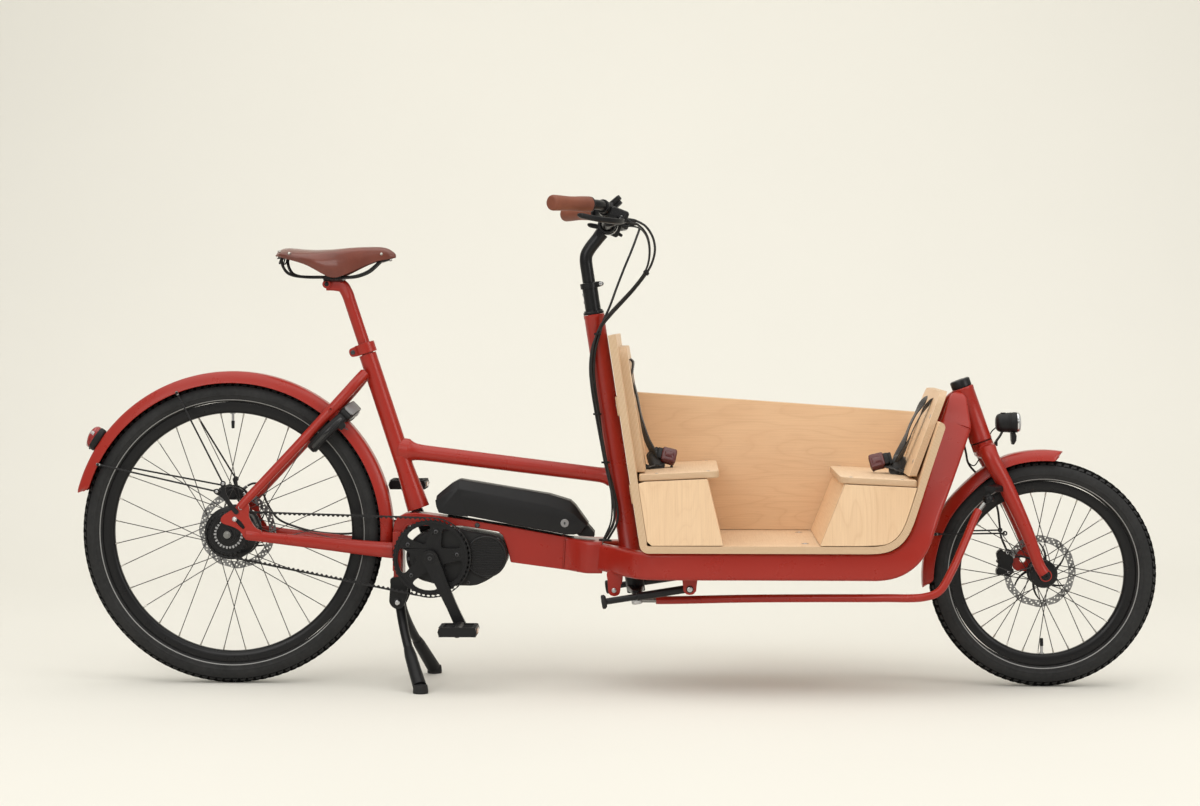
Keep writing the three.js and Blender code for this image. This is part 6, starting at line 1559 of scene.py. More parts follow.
# ------------------------------------------------------------------ fork, steering rod
B = Build('fork_detail')
for s in (1, -1):
    lp_ = resample([V(846, -40 * s, 541), V(853, -50 * s, 522), V(886, -54 * s, 460), V(934, -56.5 * s, 355), V(962, -57 * s, 280), V(973, -57 * s, 262)], 56)
    B.add(tube(lp_, lambda t: 20 - 7 * min(1, t * 1.1), 40), RED)
    tipc = ring_pts(FRONT, 13.8, 48)
    y0, y1 = sorted((-s * 50.5, -s * 62))
    B.add(plate(tipc, y0, y1, holes=[ring_pts(FRONT, 7.2, 32)]), RED)
    yo = -s * 62
    B.add(turn([(7, 0), (11.4, 0), (11.4, 1.2), (7, 1.2)], V(FRONT[0], yo, FRONT[1]), V(0, -s, 0), 40), BLACK_SATIN)
    bolt(B, V(FRONT[0], yo - s * 1.2, FRONT[1]), (0, -s, 0), BLACK_SATIN, 8.6, 4.6, n=40)
crown = []
for y in np.linspace(-47, 47, 33):
    k = 1 - 0.16 * (abs(y) / 47) ** 3
    ctr = (848, 537)
    q = rounded([(824, 524), (846, 519), (873, 520), (870, 540), (864, 554), (845, 556), (828, 552)], 44)
    crown.append([(ctr[0] + (a - ctr[0]) * k, y, ctr[1] + (b - ctr[1]) * k) for a, b in q])
B.add(loft(crown), RED)
B.add(turn([(14.3, 0), (24.8, 0), (25, 1.0), (25, 16.6), (24, 17.2), (14.3, 17.2)], head_at(540.4), head_d, 72), RED)
B.add(rod(head_at(545), head_at(684), 14.2, 32), BLACK_SATIN)
# headset: black split rings and the top cap
B.add(turn([(14.3, 0), (25.2, 0), (25.2, 0.9), (14.3, 0.9)], head_at(557.2), head_d, 72), BLACK)
B.add(turn([(4, 0), (22.6, 0), (22.6, 1.0), (23, 1.4), (23, 15.2), (22.2, 17.0), (20.4, 18.2), (9.0, 18.4), (8.2, 17.4), (4, 17.4)], head_at(680.8), head_d, 72), BLACK_SATIN)
bolt(B, head_at(680.8) + head_d * 16.2, head_d, DARK_STEEL, 7.0, 1.8, n=28)
# lug that carries the ball joint
lug = [rrect(30, 15.5, 5, 4), rrect(27, 14.5, 5, 4), rrect(23.5, 11.5, 4, 4)]
lugp = [V(873, -56, 457), V(862, -74, 455.5), V(846, -96, 456)]
rings = []
for p, q in zip(lugp, lug):
    rings.append([p + V(a * 0.98, 0, a * -0.14 + b) for a, b in q])
B.add(loft(rings), BLACK_SATIN)
B.add(plate(rounded([(918.6, 262), (915.5, 300), (915.5, 305), (938, 306), (950, 297), (962, 285), (962, 262)], 60), 46.6, 54.8, holes=[ring_pts((938, 284), 7, 24)]), RED)
for z in (270, 297):
    bolt(B, V(921.5, 50.6, z) + V(-1.2, 0, 0), (-1, 0, 0), STEEL, 3.8, 2.0, n=16)
B.done('fork', ['fork'], bevel=0.7, seg=2, ang=50, sharp=36)

B = Build('steering_rod_detail')
rp = resample([V(55, -92, 203), V(120, -92, 203), V(300, -100, 208), V(470, -140, 214), V(600, -188, 220), V(690, -203, 224), V(722, -200, 236), V(752, -182, 280), V(786, -145, 345), V(818, -110, 408), V(836, -94, 428)], 150)
L_ = len(rp)
B.add(tube(rp[7:-5], 9, 28, twistfree=True), RED)
# threaded ends, lock nuts and ball-joint housings
for a, b, ax in ((rp[0], rp[8], col_d), (rp[-1], rp[-7], head_d)):
    d = unit(b - a)
    B.add(rod(a + d * 8, b + d * 4, 5.4, 24), CLIP_METAL)
    hexnut(B, b - d * 7, d, CLIP_METAL if ax is col_d else BLACK_SATIN, 8.6, 6)
B.add(turn([(0, -8.8), (10.5, -8.8), (12.6, -7), (12.9, -2), (12.9, 3.5), (11.2, 6.4), (8.6, 7.2), (7.2, 9), (0, 9)], V(55, -92, 203), col_d, 48), STEEL)
B.add(turn([(0, -7.8), (9.6, -7.8), (11.7, -6.2), (12, -1.6), (12, 3.0), (10.4, 5.6), (8.0, 6.4), (6.6, 8), (0, 8)], V(842, -92, 433), head_d, 48), BLACK_SATIN)
B.add(turn([(6.8, 6.6), (9.6, 6.8), (8.6, 8.2), (7.4, 9.4), (6.4, 10.4), (5.2, 10.4), (5.2, 6.6)], V(842, -92, 433), head_d, 40), RUBBER)
B.add(turn([(7.0, 6.8), (10.2, 7.2), (9.0, 8.8), (6.4, 10.8), (5.2, 10.8), (5.2, 6.8)], V(55, -92, 203), col_d, 40), RUBBER)
B.done('steering_rod', ['steering_rod'], sharp=36)

# ------------------------------------------------------------------ steering column
mc_ = lambda z: roty(8.71, col_at(z))
B = Build('steering_column_detail')
LB = lambda z0, z1: (z1 - z0) / col_d[2]
B.add(turn([(0, 0), (20, 0), (21, 1), (21, LB(212, 258) - 1), (20, LB(212, 258)), (14.3, LB(212, 258)), (14.3, LB(212, 852)), (11.6, LB(212, 852)), (11.6, LB(212, 700)), (0, LB(212, 700))], col_at(212), col_d, 56), BLACK_SATIN)
B.add(turn([(14.0, 0), (22.6, 0), (23.5, 1.0), (23.5, 5.2), (22.4, 6.4), (21.4, 6.8), (21.4, 9.4), (18, 9.6), (14.0, 9.6)], col_at(846.6), col_d, 72), BLACK_SATIN)
LS = LB(850, 914)
B.add(turn([(11.6, 0), (18, 0), (18, LS * 0.2), (17.6, LS * 0.5), (18, LS), (11.6, LS)], col_at(850), col_d, 64), BLACK_SATIN)
# split clamp at the top with its ear and bolt
cp = [(21 * math.cos(rad(-a)), 21 * math.sin(rad(-a))) for a in np.linspace(5, 355, 70)]
ci = [(11.8 * math.cos(rad(-a)), 11.8 * math.sin(rad(-a))) for a in np.linspace(355, 5, 70)]
B.add(moved(plate(cp + ci, 0, 12.1, axis='z'), mc_(906)), BLACK_SATIN)
B.add(moved(turn([(11.8, -1.2), (19.8, -1.2), (19.8, 0), (11.8, 0)], V(0, 0, 12.3), V(0, 0, 1), 56), mc_(906)), BLACK)
for s in (-1, 1):
    y0, y1 = sorted((s * 2.2, s * 12.4))
    e = [(14, 0.6), (26, 0.6), (31.6, 3.2), (32.6, 6.0), (31.6, 9.2), (26, 11.6), (14, 11.6)]
    B.add(moved(plate(rounded(e, 40), y0, y1), mc_(906.3)), BLACK_SATIN)
    p = moved((np.array([[26.5, s * 12.4, 6.1]]), []), mc_(906.3))[0][0]
    if s < 0:
        bolt(B, p, (0, -1, 0), STEEL, 4.6, 2.0, n=24)
    else:
        hexnut(B, p - V(0, 0.4, 0), (0, 1, 0), STEEL, 4.4, 2.0)
for z in (876, 893):
    p = moved((np.array([[-17.6, 0, 0]]), []), mc_(z))[0][0]
    bolt(B, p, -np.array(moved((np.array([[1.0, 0, 0]]), []), roty(8.71, V(0, 0, 0)))[0][0]), STEEL, 3.6, 1.6, n=18)
# arm to the ball joint
arm = []
for t, x0, x1, z0, z1 in ((0, 30, 70, 214.8, 228), (0.25, 34, 69, 214.8, 227.6), (0.6, 40, 67.5, 214.8, 226.8), (0.86, 43, 67, 214.8, 226.2), (0.95, 46, 65.5, 215, 226), (1, 51, 61, 215.4, 225.6)):
    y = -8 - 94 * t
    arm.append([(x, y, z) for x, z in [((x0 + x1) / 2 + a, (z0 + z1) / 2 + b) for a, b in rrect(x1 - x0, z1 - z0, min(4.5, (x1 - x0) / 2.4), 4)]])
B.add(loft(arm), BLACK_SATIN)
B.done('steerer', ['steering_column'], bevel=0.7, seg=2, ang=44, sharp=36)

# ------------------------------------------------------------------ stem and bar
B = Build('handlebar_stem_detail')
B.add(rod(col_at(780.3), col_at(925), 11, 40), BLACK_SATIN)
np_ = resample([col_at(918.8), col_at(940), col_at(957), V(-63.2, 0, 970), V(-61.4, 0, 983), V(-53, 0, 998), V(-38, 0, 1017), V(-26, 0, 1032.5)], 46)
B.add(sweep(np_, lambda t, i: circle(14.5 + 1.2 * max(0, (t - 0.86) / 0.14), 44), up=(0, 1, 0)), BLACK_SATIN)
bc = V(-13, 0, 1050)
# split bar clamp with four bolts and a visible joint
ro, ri_ = 22.6, 16.35
for a0, a1 in ((-48, 128), (132, 308)):
    o_ = [(bc[0] + ro * math.cos(rad(a)), bc[2] + ro * math.sin(rad(a))) for a in np.linspace(a0, a1, 46)]
    i_ = [(bc[0] + ri_ * math.cos(rad(a)), bc[2] + ri_ * math.sin(rad(a))) for a in np.linspace(a1, a0, 46)]
    B.add(plate(o_ + i_, -23.6, 23.6), BLACK_SATIN)
B.add(loft([[(x, y, z) for x, z in rounded([(-38, 1024), (-28, 1027), (-20, 1034), (-26, 1045), (-36, 1040)], 30)] for y in (-17, 17)]), BLACK_SATIN)
for y in (-15, 15):
    for a in (-52, 124):
        p = bc + V(20.5 * math.cos(rad(a + 4)), y, 20.5 * math.sin(rad(a + 4)))
        bolt(B, p, unit(V(math.cos(rad(a + 46)), 0, math.sin(rad(a + 46)))), STEEL, 3.4, 2.0, n=18)
B.done('cockpit', ['handlebar_stem'], bevel=1.0, seg=3, ang=44, sharp=36)

def half_bar(s):
    return [V(-124, s * 318, 1087), V(-82, s * 272, 1087), V(-40, s * 226, 1087), V(-31, s * 216.1, 1087), V(-19, s * 192, 1085), V(-13, s * 160, 1078), V(-12, s * 110, 1062), V(-13, s * 70, 1051), V(-13, s * 40, 1050)]
bp = resample(half_bar(-1) + [V(-13, 0, 1050)] + half_bar(1)[::-1], 150)
def bar_near(y):
    i = int(np.argmin(abs(bp[:, 1] - y)))
    i = max(1, min(len(bp) - 2, i))
    return bp[i], unit(bp[i + 1] - bp[i - 1])
B = Build('handlebar_detail')
B.add(sweep(bp, lambda t, i: circle(11.1 + 4.9 * math.exp(-((t - 0.5) / 0.075) ** 4), 36), up=(0, 0, 1)), BLACK_SATIN)
for s in (-1, 1):
    # hose clamp ring of the lever, with its band
    c, d = bar_near(s * 160)
    B.add(turn([(11.2, -8.4), (15.4, -8.4), (16.4, -7.2), (16.4, 7.2), (15.4, 8.4), (11.2, 8.4)], c, d, 48), BLACK_SATIN)
    c2, d2 = bar_near(s * 186)
    B.add(turn([(11.2, -6), (14.4, -6), (15.0, -5.2), (15.0, 5.2), (14.4, 6), (11.2, 6)], c2, d2, 48), PLASTIC)
    # master cylinder: tapered body, flat reservoir lid with two screws, hose nut and boot
    a, b = V(6, s * 178, 1065), V(32, s * 118, 1058)
    ax = unit(b - a)
    Lm = np.linalg.norm(b - a)
    up_ = unit(np.cross(np.cross(ax, V(0, 0, 1)), ax))
    sd = unit(np.cross(ax, up_))
    def mcr(w0, h0, off_u, off_s, c_):
        return lambda p: [p + sd * (x + off_s) + up_ * (y + off_u) for x, y in rrect(w0, h0, c_, 4)]
    B.add(loft([mcr(15, 14, -1, 0, 4)(a), mcr(19, 18, -0.5, 0, 5)(a + ax * 5), mcr(19.4, 19, 0, 0, 5)(a + ax * 24), mcr(18, 17, 0, 0, 5.5)(a + ax * 42), mcr(15, 14.5, 0, 0, 5.5)(a + ax * (Lm - 8)), mcr(12, 12, 0, 0, 5)(a + ax * Lm)]), BLACK_SATIN)
    B.add(loft([mcr(20.4, 2.6, 9.8, 0, 1.2)(a + ax * 8), mcr(20.8, 3.0, 10.2, 0, 1.4)(a + ax * 11), mcr(20.4, 3.0, 10.2, 0, 1.4)(a + ax * 37), mcr(18.6, 2.6, 9.6, 0, 1.2)(a + ax * 40)]), PLASTIC_GLOSS)
    for k in (13, 34):
        for q in (-6.4, 6.4):
            bolt(B, a + ax * k + up_ * 11.4 + sd * q, up_, STEEL, 2.2, 0.9, n=14)
    # bridge from the clamp to the cylinder
    B.add(loft([[p_ + V(0, 0, 0) for p_ in [c + V(x, y * 1.0, z) for x, y, z in ((6, -7, -11), (6, 7, -11), (6, 7, 10), (6, -7, 10))]], [V(24 - (0 if s < 0 else 0), c[1] + q, zz) for q, zz in ((-8, 1054), (8, 1054), (8, 1070), (-8, 1070))]]), BLACK_SATIN)
    B.add(turn([(0, 0), (4.4, 0), (4.4, 5), (3.4, 7.5), (0, 7.5)], V(31, s * 119, 1058.4), ax, 24), DARK_STEEL)
    # lever pivot
    pv = V(21, s * 182, 1056)
    B.add(turn([(0, -7), (5.2, -7), (5.8, -6.2), (5.8, 6.2), (5.2, 7), (0, 7)], pv, V(0.1, 0, 1), 30), BLACK_SATIN)
    B.add(turn([(0, 0), (3.4, 0), (3.4, 0.9), (0, 0.9)], pv + V(0.7, 0, 7), V(0.1, 0, 1), 20), STEEL)
# shifter pod on the right, one paddle; assist switch on the left, three buttons
c, d = bar_near(-140)
def pod(pts, y0, y1, mat):
    q = rounded(pts, 44)
    m = (sum(p[0] for p in q) / len(q), sum(p[1] for p in q) / len(q))
    B.add(loft([[(m[0] + (x - m[0]) * k, y, m[1] + (z - m[1]) * k) for x, z in q] for y, k in ((y0, 0.86), (y0 + 1.6, 0.96), (y0 + 4, 1), (y1 - 4, 1), (y1 - 1.6, 0.96), (y1, 0.86))]), mat)
pod([(-16, 1046), (-14, 1042), (4, 1043), (13, 1050), (14, 1064), (8, 1074), (-4, 1078), (-12, 1070), (-16, 1058)], -152, -122, PLASTIC)
# lever housings outboard of the clamps, each with a cap plate and two screws
for cy, cx0, cz0, til, w_, h_ in ((-166, 14, 1067, 22, 46, 28), (166, -13, 1049, 24, 50, 30)):
    mh = roty(-til, V(cx0, cy, cz0))
    sect = lambda q: [(a * q, b * q) for a, b in rrect(w_, h_, 6.5, 6)]
    B.add(moved(loft([[(a, y, b) for a, b in sect(q)] for y, q in ((-13, 0.88), (-11.4, 0.97), (-9, 1), (9, 1), (11.4, 0.97), (13, 0.88))]), mh), PLASTIC)
    B.add(moved(loft([[(a * 0.74 - 1, y, b * 0.62 + 3.4) for a, b in sect(q)] for y, q in ((-14.2, 0.94), (-13.4, 1), (13.4, 1), (14.2, 0.94))]), mh), PLASTIC_GLOSS)
    B.add(moved(rod((w_ / 2 - 3, 0, -4), (w_ / 2 + 9, 0, -5.5), 4.6, 24, 3.2), mh), PLASTIC)
    for xx in (-13, 13):
        p_ = moved((np.array([[xx, 0, h_ / 2 - 0.4]]), []), mh)[0][0]
        bolt(B, p_, unit(mh[:3, 2]), DARK_STEEL, 2.4, 0.9, n=14)
B.add(loft([[V(14, -131, 1062) + V(a, 0, b) for a, b in rrect(4, 9, 1.6, 3)], [V(20, -140, 1066) + V(a, 0, b) for a, b in rrect(4, 10, 1.6, 3)], [V(16, -156, 1070) + V(a, 0, b) for a, b in rrect(4, 11, 1.8, 3)]]), PLASTIC_SOFT)
pod([(-16, 1050), (-12, 1045), (2, 1046), (9, 1054), (8, 1068), (2, 1076), (-8, 1077), (-15, 1068)], 124, 148, PLASTIC)
for k, (x, z) in enumerate(((-9, 1072.6), (-2, 1074.4), (4.6, 1069.6))):
    n_ = unit(V(x + 4, 0, z - 1060))
    B.add(turn([(0, -1), (3.0, -1), (3.0, 1.4), (2.4, 2.0), (0, 2.2)], V(x, 136, z), n_, 24), PLASTIC_SOFT)
# clamps of the two pods
for y in (-118, 120):
    c, d = bar_near(y)
    B.add(turn([(11.2, -5), (14.6, -5), (15.2, -4), (15.2, 4), (14.6, 5), (11.2, 5)], c, d, 40), PLASTIC)
# display on its arm over the middle
sl = [V(-20, 0, 1092), V(12, 0, 1119)]
ex = unit(sl[1] - sl[0])
nz = unit(np.cross(ex, V(0, 1, 0)))
nz = nz if nz[2] > 0 else -nz
dc = V(-0.5, 0, 1101)
m_ = at_axes(dc, ex, V(0, 1, 0), nz)
def slabm(w, l, t0, t1, c_, mat, k=0.94):
    B.add(moved(loft([[(a * q, b * q, t) for a, b in rrect(w, l, c_, 6)] for t, q in ((t0, k), (t0 + 1.0, 1), (t1 - 1.0, 1), (t1, k))]), m_), mat)
slabm(41, 55, -5.0, 4.8, 8, PLASTIC)
slabm(31, 42, -14.5, -4.4, 8, PLASTIC, 0.78)
slabm(36.5, 50.5, 3.6, 5.6, 6.5, PLASTIC_GLOSS)
B.add(moved(turn([(0, 0), (2.6, 0), (2.6, 0.9), (0, 1.1)], V(-11, 22, 5.0), V(0, 0, 1), 20), m_), PLASTIC_SOFT)
cc2, dd2 = bar_near(-38)
B.add(turn([(16.2, -7.4), (19.4, -7.4), (20, -6.4), (20, 6.4), (19.4, 7.4), (16.2, 7.4)], cc2, dd2, 48), PLASTIC)
B.add(sweep(resample([V(-5, -38, 1068), V(-6, -38, 1080), V(-6, -36, 1090), V(-5, -27, 1097), V(-3.5, -16, 1098)], 30), rrect(8, 12, 2.4, 4), up=(1, 0, 0)), PLASTIC)
bolt(B, V(6, -38, 1068), V(1, 0, 0.4), STEEL, 3.2, 2.0, n=18)
B.done('cockpit', ['handlebar'], bevel=0.5, seg=2, ang=42, sharp=36)

for side, s in (('right', -1), ('left', 1)):
    a, b = V(-126.5, s * 320.6, 1087), V(-44, s * 230, 1087)
    d = unit(b - a)
    prof = [(0, 0), (12.0, 0), (14.6, 0.8), (16.0, 2.6), (17.0, 5.2), (17.3, 8.6)]
    for i in range(1, 61):
        t = 8.6 + 102 * i / 60
        r = 16.5 + 0.85 * math.cos((t - 8) / 102 * 2 * math.pi) - 0.15
        prof.append((r, t))
    prof += [(17.0, 112.2), (17.3, 113.2), (17.3, 116.5), (16.6, 117.4), (0, 117.4)]
    B = Build('grip_%s_detail' % side)
    B.add(turn(prof, a, d, 72), GRIPMAT)
    # end plug and the lock ring at the inner end
    B.add(turn([(0, -0.2), (9.0, -0.2), (10.4, 0.3), (10.8, 1.6), (0, 1.6)], a, d, 48), GRIPMAT)
    B.add(turn([(12, 117.0), (16.6, 117.0), (17.0, 117.8), (17.0, 121.2), (16.4, 122), (12, 122)], a, d, 60), BLACK_SATIN)
    B.done('cockpit', ['grip_%s' % side], sharp=44)

    B = Build('brake_lever_%s_detail' % side)
    lp2 = resample([V(23.5, s * 184, 1053.5), V(20, s * 206, 1051), V(2, s * 238, 1051), V(-32, s * 272, 1054.5), V(-56, s * 291, 1059), V(-70, s * 299.6, 1062.4)], 70)
    def lv(t, i):
        w = 12.4 - 3.2 * t
        if t > 0.9:
            w *= 1 + 0.2 * math.sin((t - 0.9) / 0.1 * math.pi * 0.75)
            w *= math.sqrt(max(0.12, 1 - ((t - 0.93) / 0.072) ** 2)) if t > 0.93 else 1
        h = (14.0 - 1.6 * t) * (math.sqrt(max(0.16, 1 - ((t - 0.92) / 0.084) ** 2)) if t > 0.92 else 1)
        return [(x, y - (0.9 * math.cos(x / (w / 2 + 0.01) * math.pi / 2) if y > 0 else 0)) for x, y in rrect(w, h, min(w, h) * 0.36, 5)]
    B.add(sweep(lp2, lv), BLACK_SATIN)
    B.add(turn([(3.2, -4.6), (6.2, -4.6), (6.4, -4.0), (6.4, 4.0), (6.2, 4.6), (3.2, 4.6)], V(22, s * 184, 1055.4), V(0.1, 0, 1), 36), BLACK_SATIN)
    B.add(turn([(0, 0), (2.2, 0), (2.2, 1.0), (0, 1.0)], V(19.8, s * 204, 1057.4), V(0, 0, 1), 16), STEEL)
    B.done('brake_lever_%s' % side, ['brake_lever_%s' % side], bevel=0.3, seg=2, ang=44, sharp=40)

# ------------------------------------------------------------------ hoses and leads
# Four lines leave the bar, gather at a tie, pass the column and run down into the beam.
upper = {
    'hose_right': ([V(38, -107, 1057.2), V(54, -99, 1055), V(74, -90, 1044), V(90, -83, 1020), V(95, -78, 992), V(89, -72, 964), V(76, -65, 939), V(50, -52, 905), V(22, -42, 874), V(-5, -36, 845), V(-24, -34.6, 822), V(-36.6, -33.4, 802)], 2.7),
    'shift_line': ([V(12, -136, 1050), V(34, -128, 1052), V(58, -112, 1046), V(76, -96, 1026), V(83, -84, 998), V(81, -75, 966), V(72, -68.5, 941.5), V(46, -56, 907), V(17, -46, 876), V(-10, -40, 847), V(-27, -38, 824), V(-37.6, -37.6, 802)], 2.3),
    'lead_left': ([V(20, 126, 1052), V(44, 96, 1050), V(64, 40, 1040), V(78, -18, 1016), V(82, -48, 988), V(79.4, -59, 962), V(71.6, -60.4, 940), V(45, -48, 903), V(16, -38.4, 872), V(-9, -31, 843), V(-25, -29.6, 820), V(-32.6, -29.2, 802)], 2.0),
    'hose_left': ([V(38, 107, 1057.2), V(52, 92, 1055), V(58, 66, 1046), V(52, 34, 1024), V(40, 6, 990), V(24, -14, 950), V(8, -26, 908), V(-8, -31, 864), V(-22, -33, 832), V(-30.4, -34.6, 802)], 2.7),
}
lower = {
    'hose_right': ([V(-36.6, -33.4, 802), V(-47.5, -33.0, 772), V(-52.5, -31.6, 727), V(-49, -31, 680), V(-39.5, -31, 620), V(-29.5, -31, 565), V(-19, -31, 510), V(-8, -33, 462), V(2, -35, 410), V(1, -35, 372), V(-19, -34, 334.5)], 2.7),
    'shift_line': ([V(-37.6, -37.6, 802), V(-45.5, -36.6, 770), V(-49.5, -35.4, 727), V(-45, -35.4, 680), V(-34.5, -35.6, 620), V(-24.5, -35.8, 565), V(-14.5, -36, 510), V(-5.5, -38, 462), V(4.5, -39, 410), V(-1, -38, 370), V(-21, -35, 334.5)], 2.3),
    'lead_left': ([V(-32.6, -29.2, 802), V(-43, -27.6, 772), V(-47.5, -26.4, 727), V(-43, -25.6, 680), V(-34, -25.8, 620), V(-25.5, -25.8, 565), V(-16.5, -25.9, 510), V(-7.5, -28, 462), V(-2.5, -29, 410), V(-6, -29, 372), V(-22, -31, 334.5)], 2.0),
    'hose_left': ([V(-30.4, -34.6, 802), V(-39, -34.2, 772), V(-43.8, -33.2, 727), V(-40.5, -31.4, 680), V(-32, -31.2, 620), V(-24.5, -31.6, 560), V(-14.5, -33, 505), V(-1.5, -35, 458), V(9.5, -37, 410), V(9, -36, 374), V(-12, -34, 334.5)], 2.7),
}
def mrow(x, y, z):
    return ((x + DX) / 1000, y / 1000, z / 1000)
B = Build('hoses_upper')
for nm, (pts, r) in upper.items():
    q = resample(pts, 130)
    B.add(tube(q, r, 16, twistfree=True), HOSE)
    d = unit(q[1] - q[0])
    B.add(turn([(0, -3), (r + 1.7, -3), (r + 1.9, 0), (r + 1.5, 10), (r + 0.5, 17), (r, 18), (0, 18)], q[0], d, 24), RUBBER)
# tie where the loop is gathered (the one on the column is drawn below)
for c, r1, r2, ax in ((V(75.2, -64.6, 940.4), 6.4, 4.6, V(-26, -13, -34)),):
    d = unit(ax)
    e1 = unit(np.cross(d, V(0, 1, 0)))
    e2 = np.cross(d, e1)
    ringp = [c + e1 * (r1 * math.cos(t)) + e2 * (r2 * 1.9 * math.sin(t)) for t in np.linspace(0, 2 * math.pi, 44, endpoint=False)]
    B.add(sweep(ringp, rrect(1.3, 5.0, 0.5, 2), up=tuple(np.cross(e1, e2)), closed=True), PLASTIC)
    B.add(loft([[c + e2 * (r2 * 1.9) + e1 * x + d * y + e2 * z for x, y in rrect(4.4, 4.4, 0.8, 2)] for z in (-0.6, 3.2)]), PLASTIC)
B.done('steerer', ['cables_upper'], sharp=50, blend=('cockpit', 'steerer', mrow(60, -60, 1040), mrow(-20, -34, 838)))
B = Build('hoses_lower')
for nm, (pts, r) in lower.items():
    B.add(tube(resample(pts, 120), r, 16, twistfree=True), HOSE)
B.done('frame', ['cables_lower'], sharp=50, blend=('steerer', 'frame', mrow(-34, -33, 800), mrow(-12, -31, 480)))
# clip at the joint of the upper and lower runs, turning with the column
B = Build('hose_tie')
d = unit(V(-10, 0, -32))
ringp = [V(-34.4, -33.7, 801.9) + V(6.6 * math.cos(t), 7.6 * math.sin(t), 0) for t in np.linspace(0, 2 * math.pi, 44, endpoint=False)]
B.add(sweep(ringp, rrect(1.3, 5.0, 0.5, 2), up=(0, 0, 1), closed=True), PLASTIC)
B.add(boxm(-43.4, -40.2, -36, -31.4, 799.6, 804.2), PLASTIC)
B.done('steerer', sharp=50)
B = Build('hose_clips')
for z in (727, 620, 510):
    k = [lower[n_][0] for n_ in lower]
    c = V(np.interp(-z, [-802, -772, -727, -680, -620, -565, -510, -462], [-34, -44, -48.4, -44.5, -35, -26, -16.2, -6]), -31.4, z)
    ringp = [c + V(7.8 * math.cos(t), 7.4 * math.sin(t), 0) for t in np.linspace(0, 2 * math.pi, 40, endpoint=False)]
    if z != 727:
        B.add(sweep(ringp, rrect(1.3, 4.6, 0.5, 2), up=(0, 0, 1), closed=True), PLASTIC)
        B.add(boxm(c[0] - 10.6, c[0] - 7.6, -34, -29.6, z - 2.2, z + 2.2), PLASTIC)
B.done('frame', sharp=50)
# grommet where the lines enter the beam
B = Build('beam_grommet')
B.add(turn([(0, 0), (15, 0), (15, 1.6), (13.4, 3.4), (9, 4.2), (0, 4.2)], V(-18, -33.5, 331.4), V(0.1, 0, 1), 40), RUBBER)
B.done('frame', sharp=45)

# brake line of the rear wheel, along the left stays
B = Build('rear_brake_line')
B.add(tube(resample([V(-500, 34, 372), V(-545, 36, 360), V(-600, 48, 341), V(-680, 61, 340.5), V(-740, 70, 353), V(-786, 84.5, 372), V(-812, 87.5, 410), V(-822, 86, 438), V(-830, 78, 452), V(-840, 68, 454), V(-852, 62.4, 449)], 120), 2.5, 16, twistfree=True), HOSE)
B.done('frame', sharp=50)
# brake line of the front wheel: out of the frame behind the head, along the left leg
B = Build('front_brake_line')
fl = resample([V(800, 31, 556), V(806, 34, 530), V(812, 40, 506), V(826, 47, 488), V(846, 57, 472), V(866, 68, 440), V(883, 72, 400), V(888, 70, 362), V(891, 63, 335), V(897, 56.4, 318), V(902, 51, 306)], 130)
B.add(tube(fl, 2.5, 16, twistfree=True), HOSE)
B.done('fork', sharp=50, blend=('frame', 'fork', mrow(803, 31, 545), mrow(846, 57, 472)))
B = Build('headlight_lead')
B.add(tube(resample([V(872, 6, 590), V(862, 12, 580), V(857, 20, 566), V(860, 26, 556), V(856, 30, 540), V(840, 38, 520), V(826, 44, 500), V(812, 38, 508), V(806, 30, 530), V(800, 26, 552)], 100), 1.4, 12, twistfree=True), HOSE)
B.done('fork', sharp=50, blend=('fork', 'frame', mrow(835, 42, 515), mrow(804, 28, 540)))

# ------------------------------------------------------------------ seat post and saddle
B = Build('seatpost_detail')
B.add(rod(seat_at(640), seat_at(884), 13.6, 56, ch=0.8), RED)
pp = resample([seat_at(878), seat_at(889), seat_at(898) + V(-1, 0, 0), V(-620, 0, 910.5), V(-635, 0, 914.6), V(-648, 0, 915.8), V(-657, 0, 916)], 36)
B.add(sweep(pp, lambda t, i: rrect(27.2 + 3 * t, 27.2 - 9.4 * min(1, t * 1.3), 13.2 - 6.0 * min(1, t * 1.3), 9), up=(0, 1, 0)), RED)
# cradle: lower block with two grooves for the rails, a forged head behind
B.add(loft([[(x, y, z) for y, z in rounded([(-25, 924), (-17, 921.5), (17, 921.5), (25, 924), (30, 926.6), (30, 930), (-30, 930), (-30, 926.6)], 60)] for x in (-661, -617)]), BLACK_SATIN)
B.add(turn([(0, -15.6), (8.6, -15.6), (10.0, -14.2), (10.0, 14.2), (8.6, 15.6), (0, 15.6)], V(-655, 0, 915.6), V(0, 1, 0), 40), RED)
bolt(B, V(-655, -15.2, 915.6), (0, -1, 0), BLACK, 5.2, 2.0, n=28)
hexnut(B, V(-655, 15.0, 915.6), (0, 1, 0), STEEL, 5.6, 3.0)
# a plain ring marks the least insertion
B.add(turn([(13.2, 0), (13.62, 0.2), (13.62, 0.9), (13.2, 1.1)], seat_at(690), seat_d, 48), RED)
B.done('saddle', ['seatpost'], bevel=1.4, seg=3, ang=44, sharp=36)

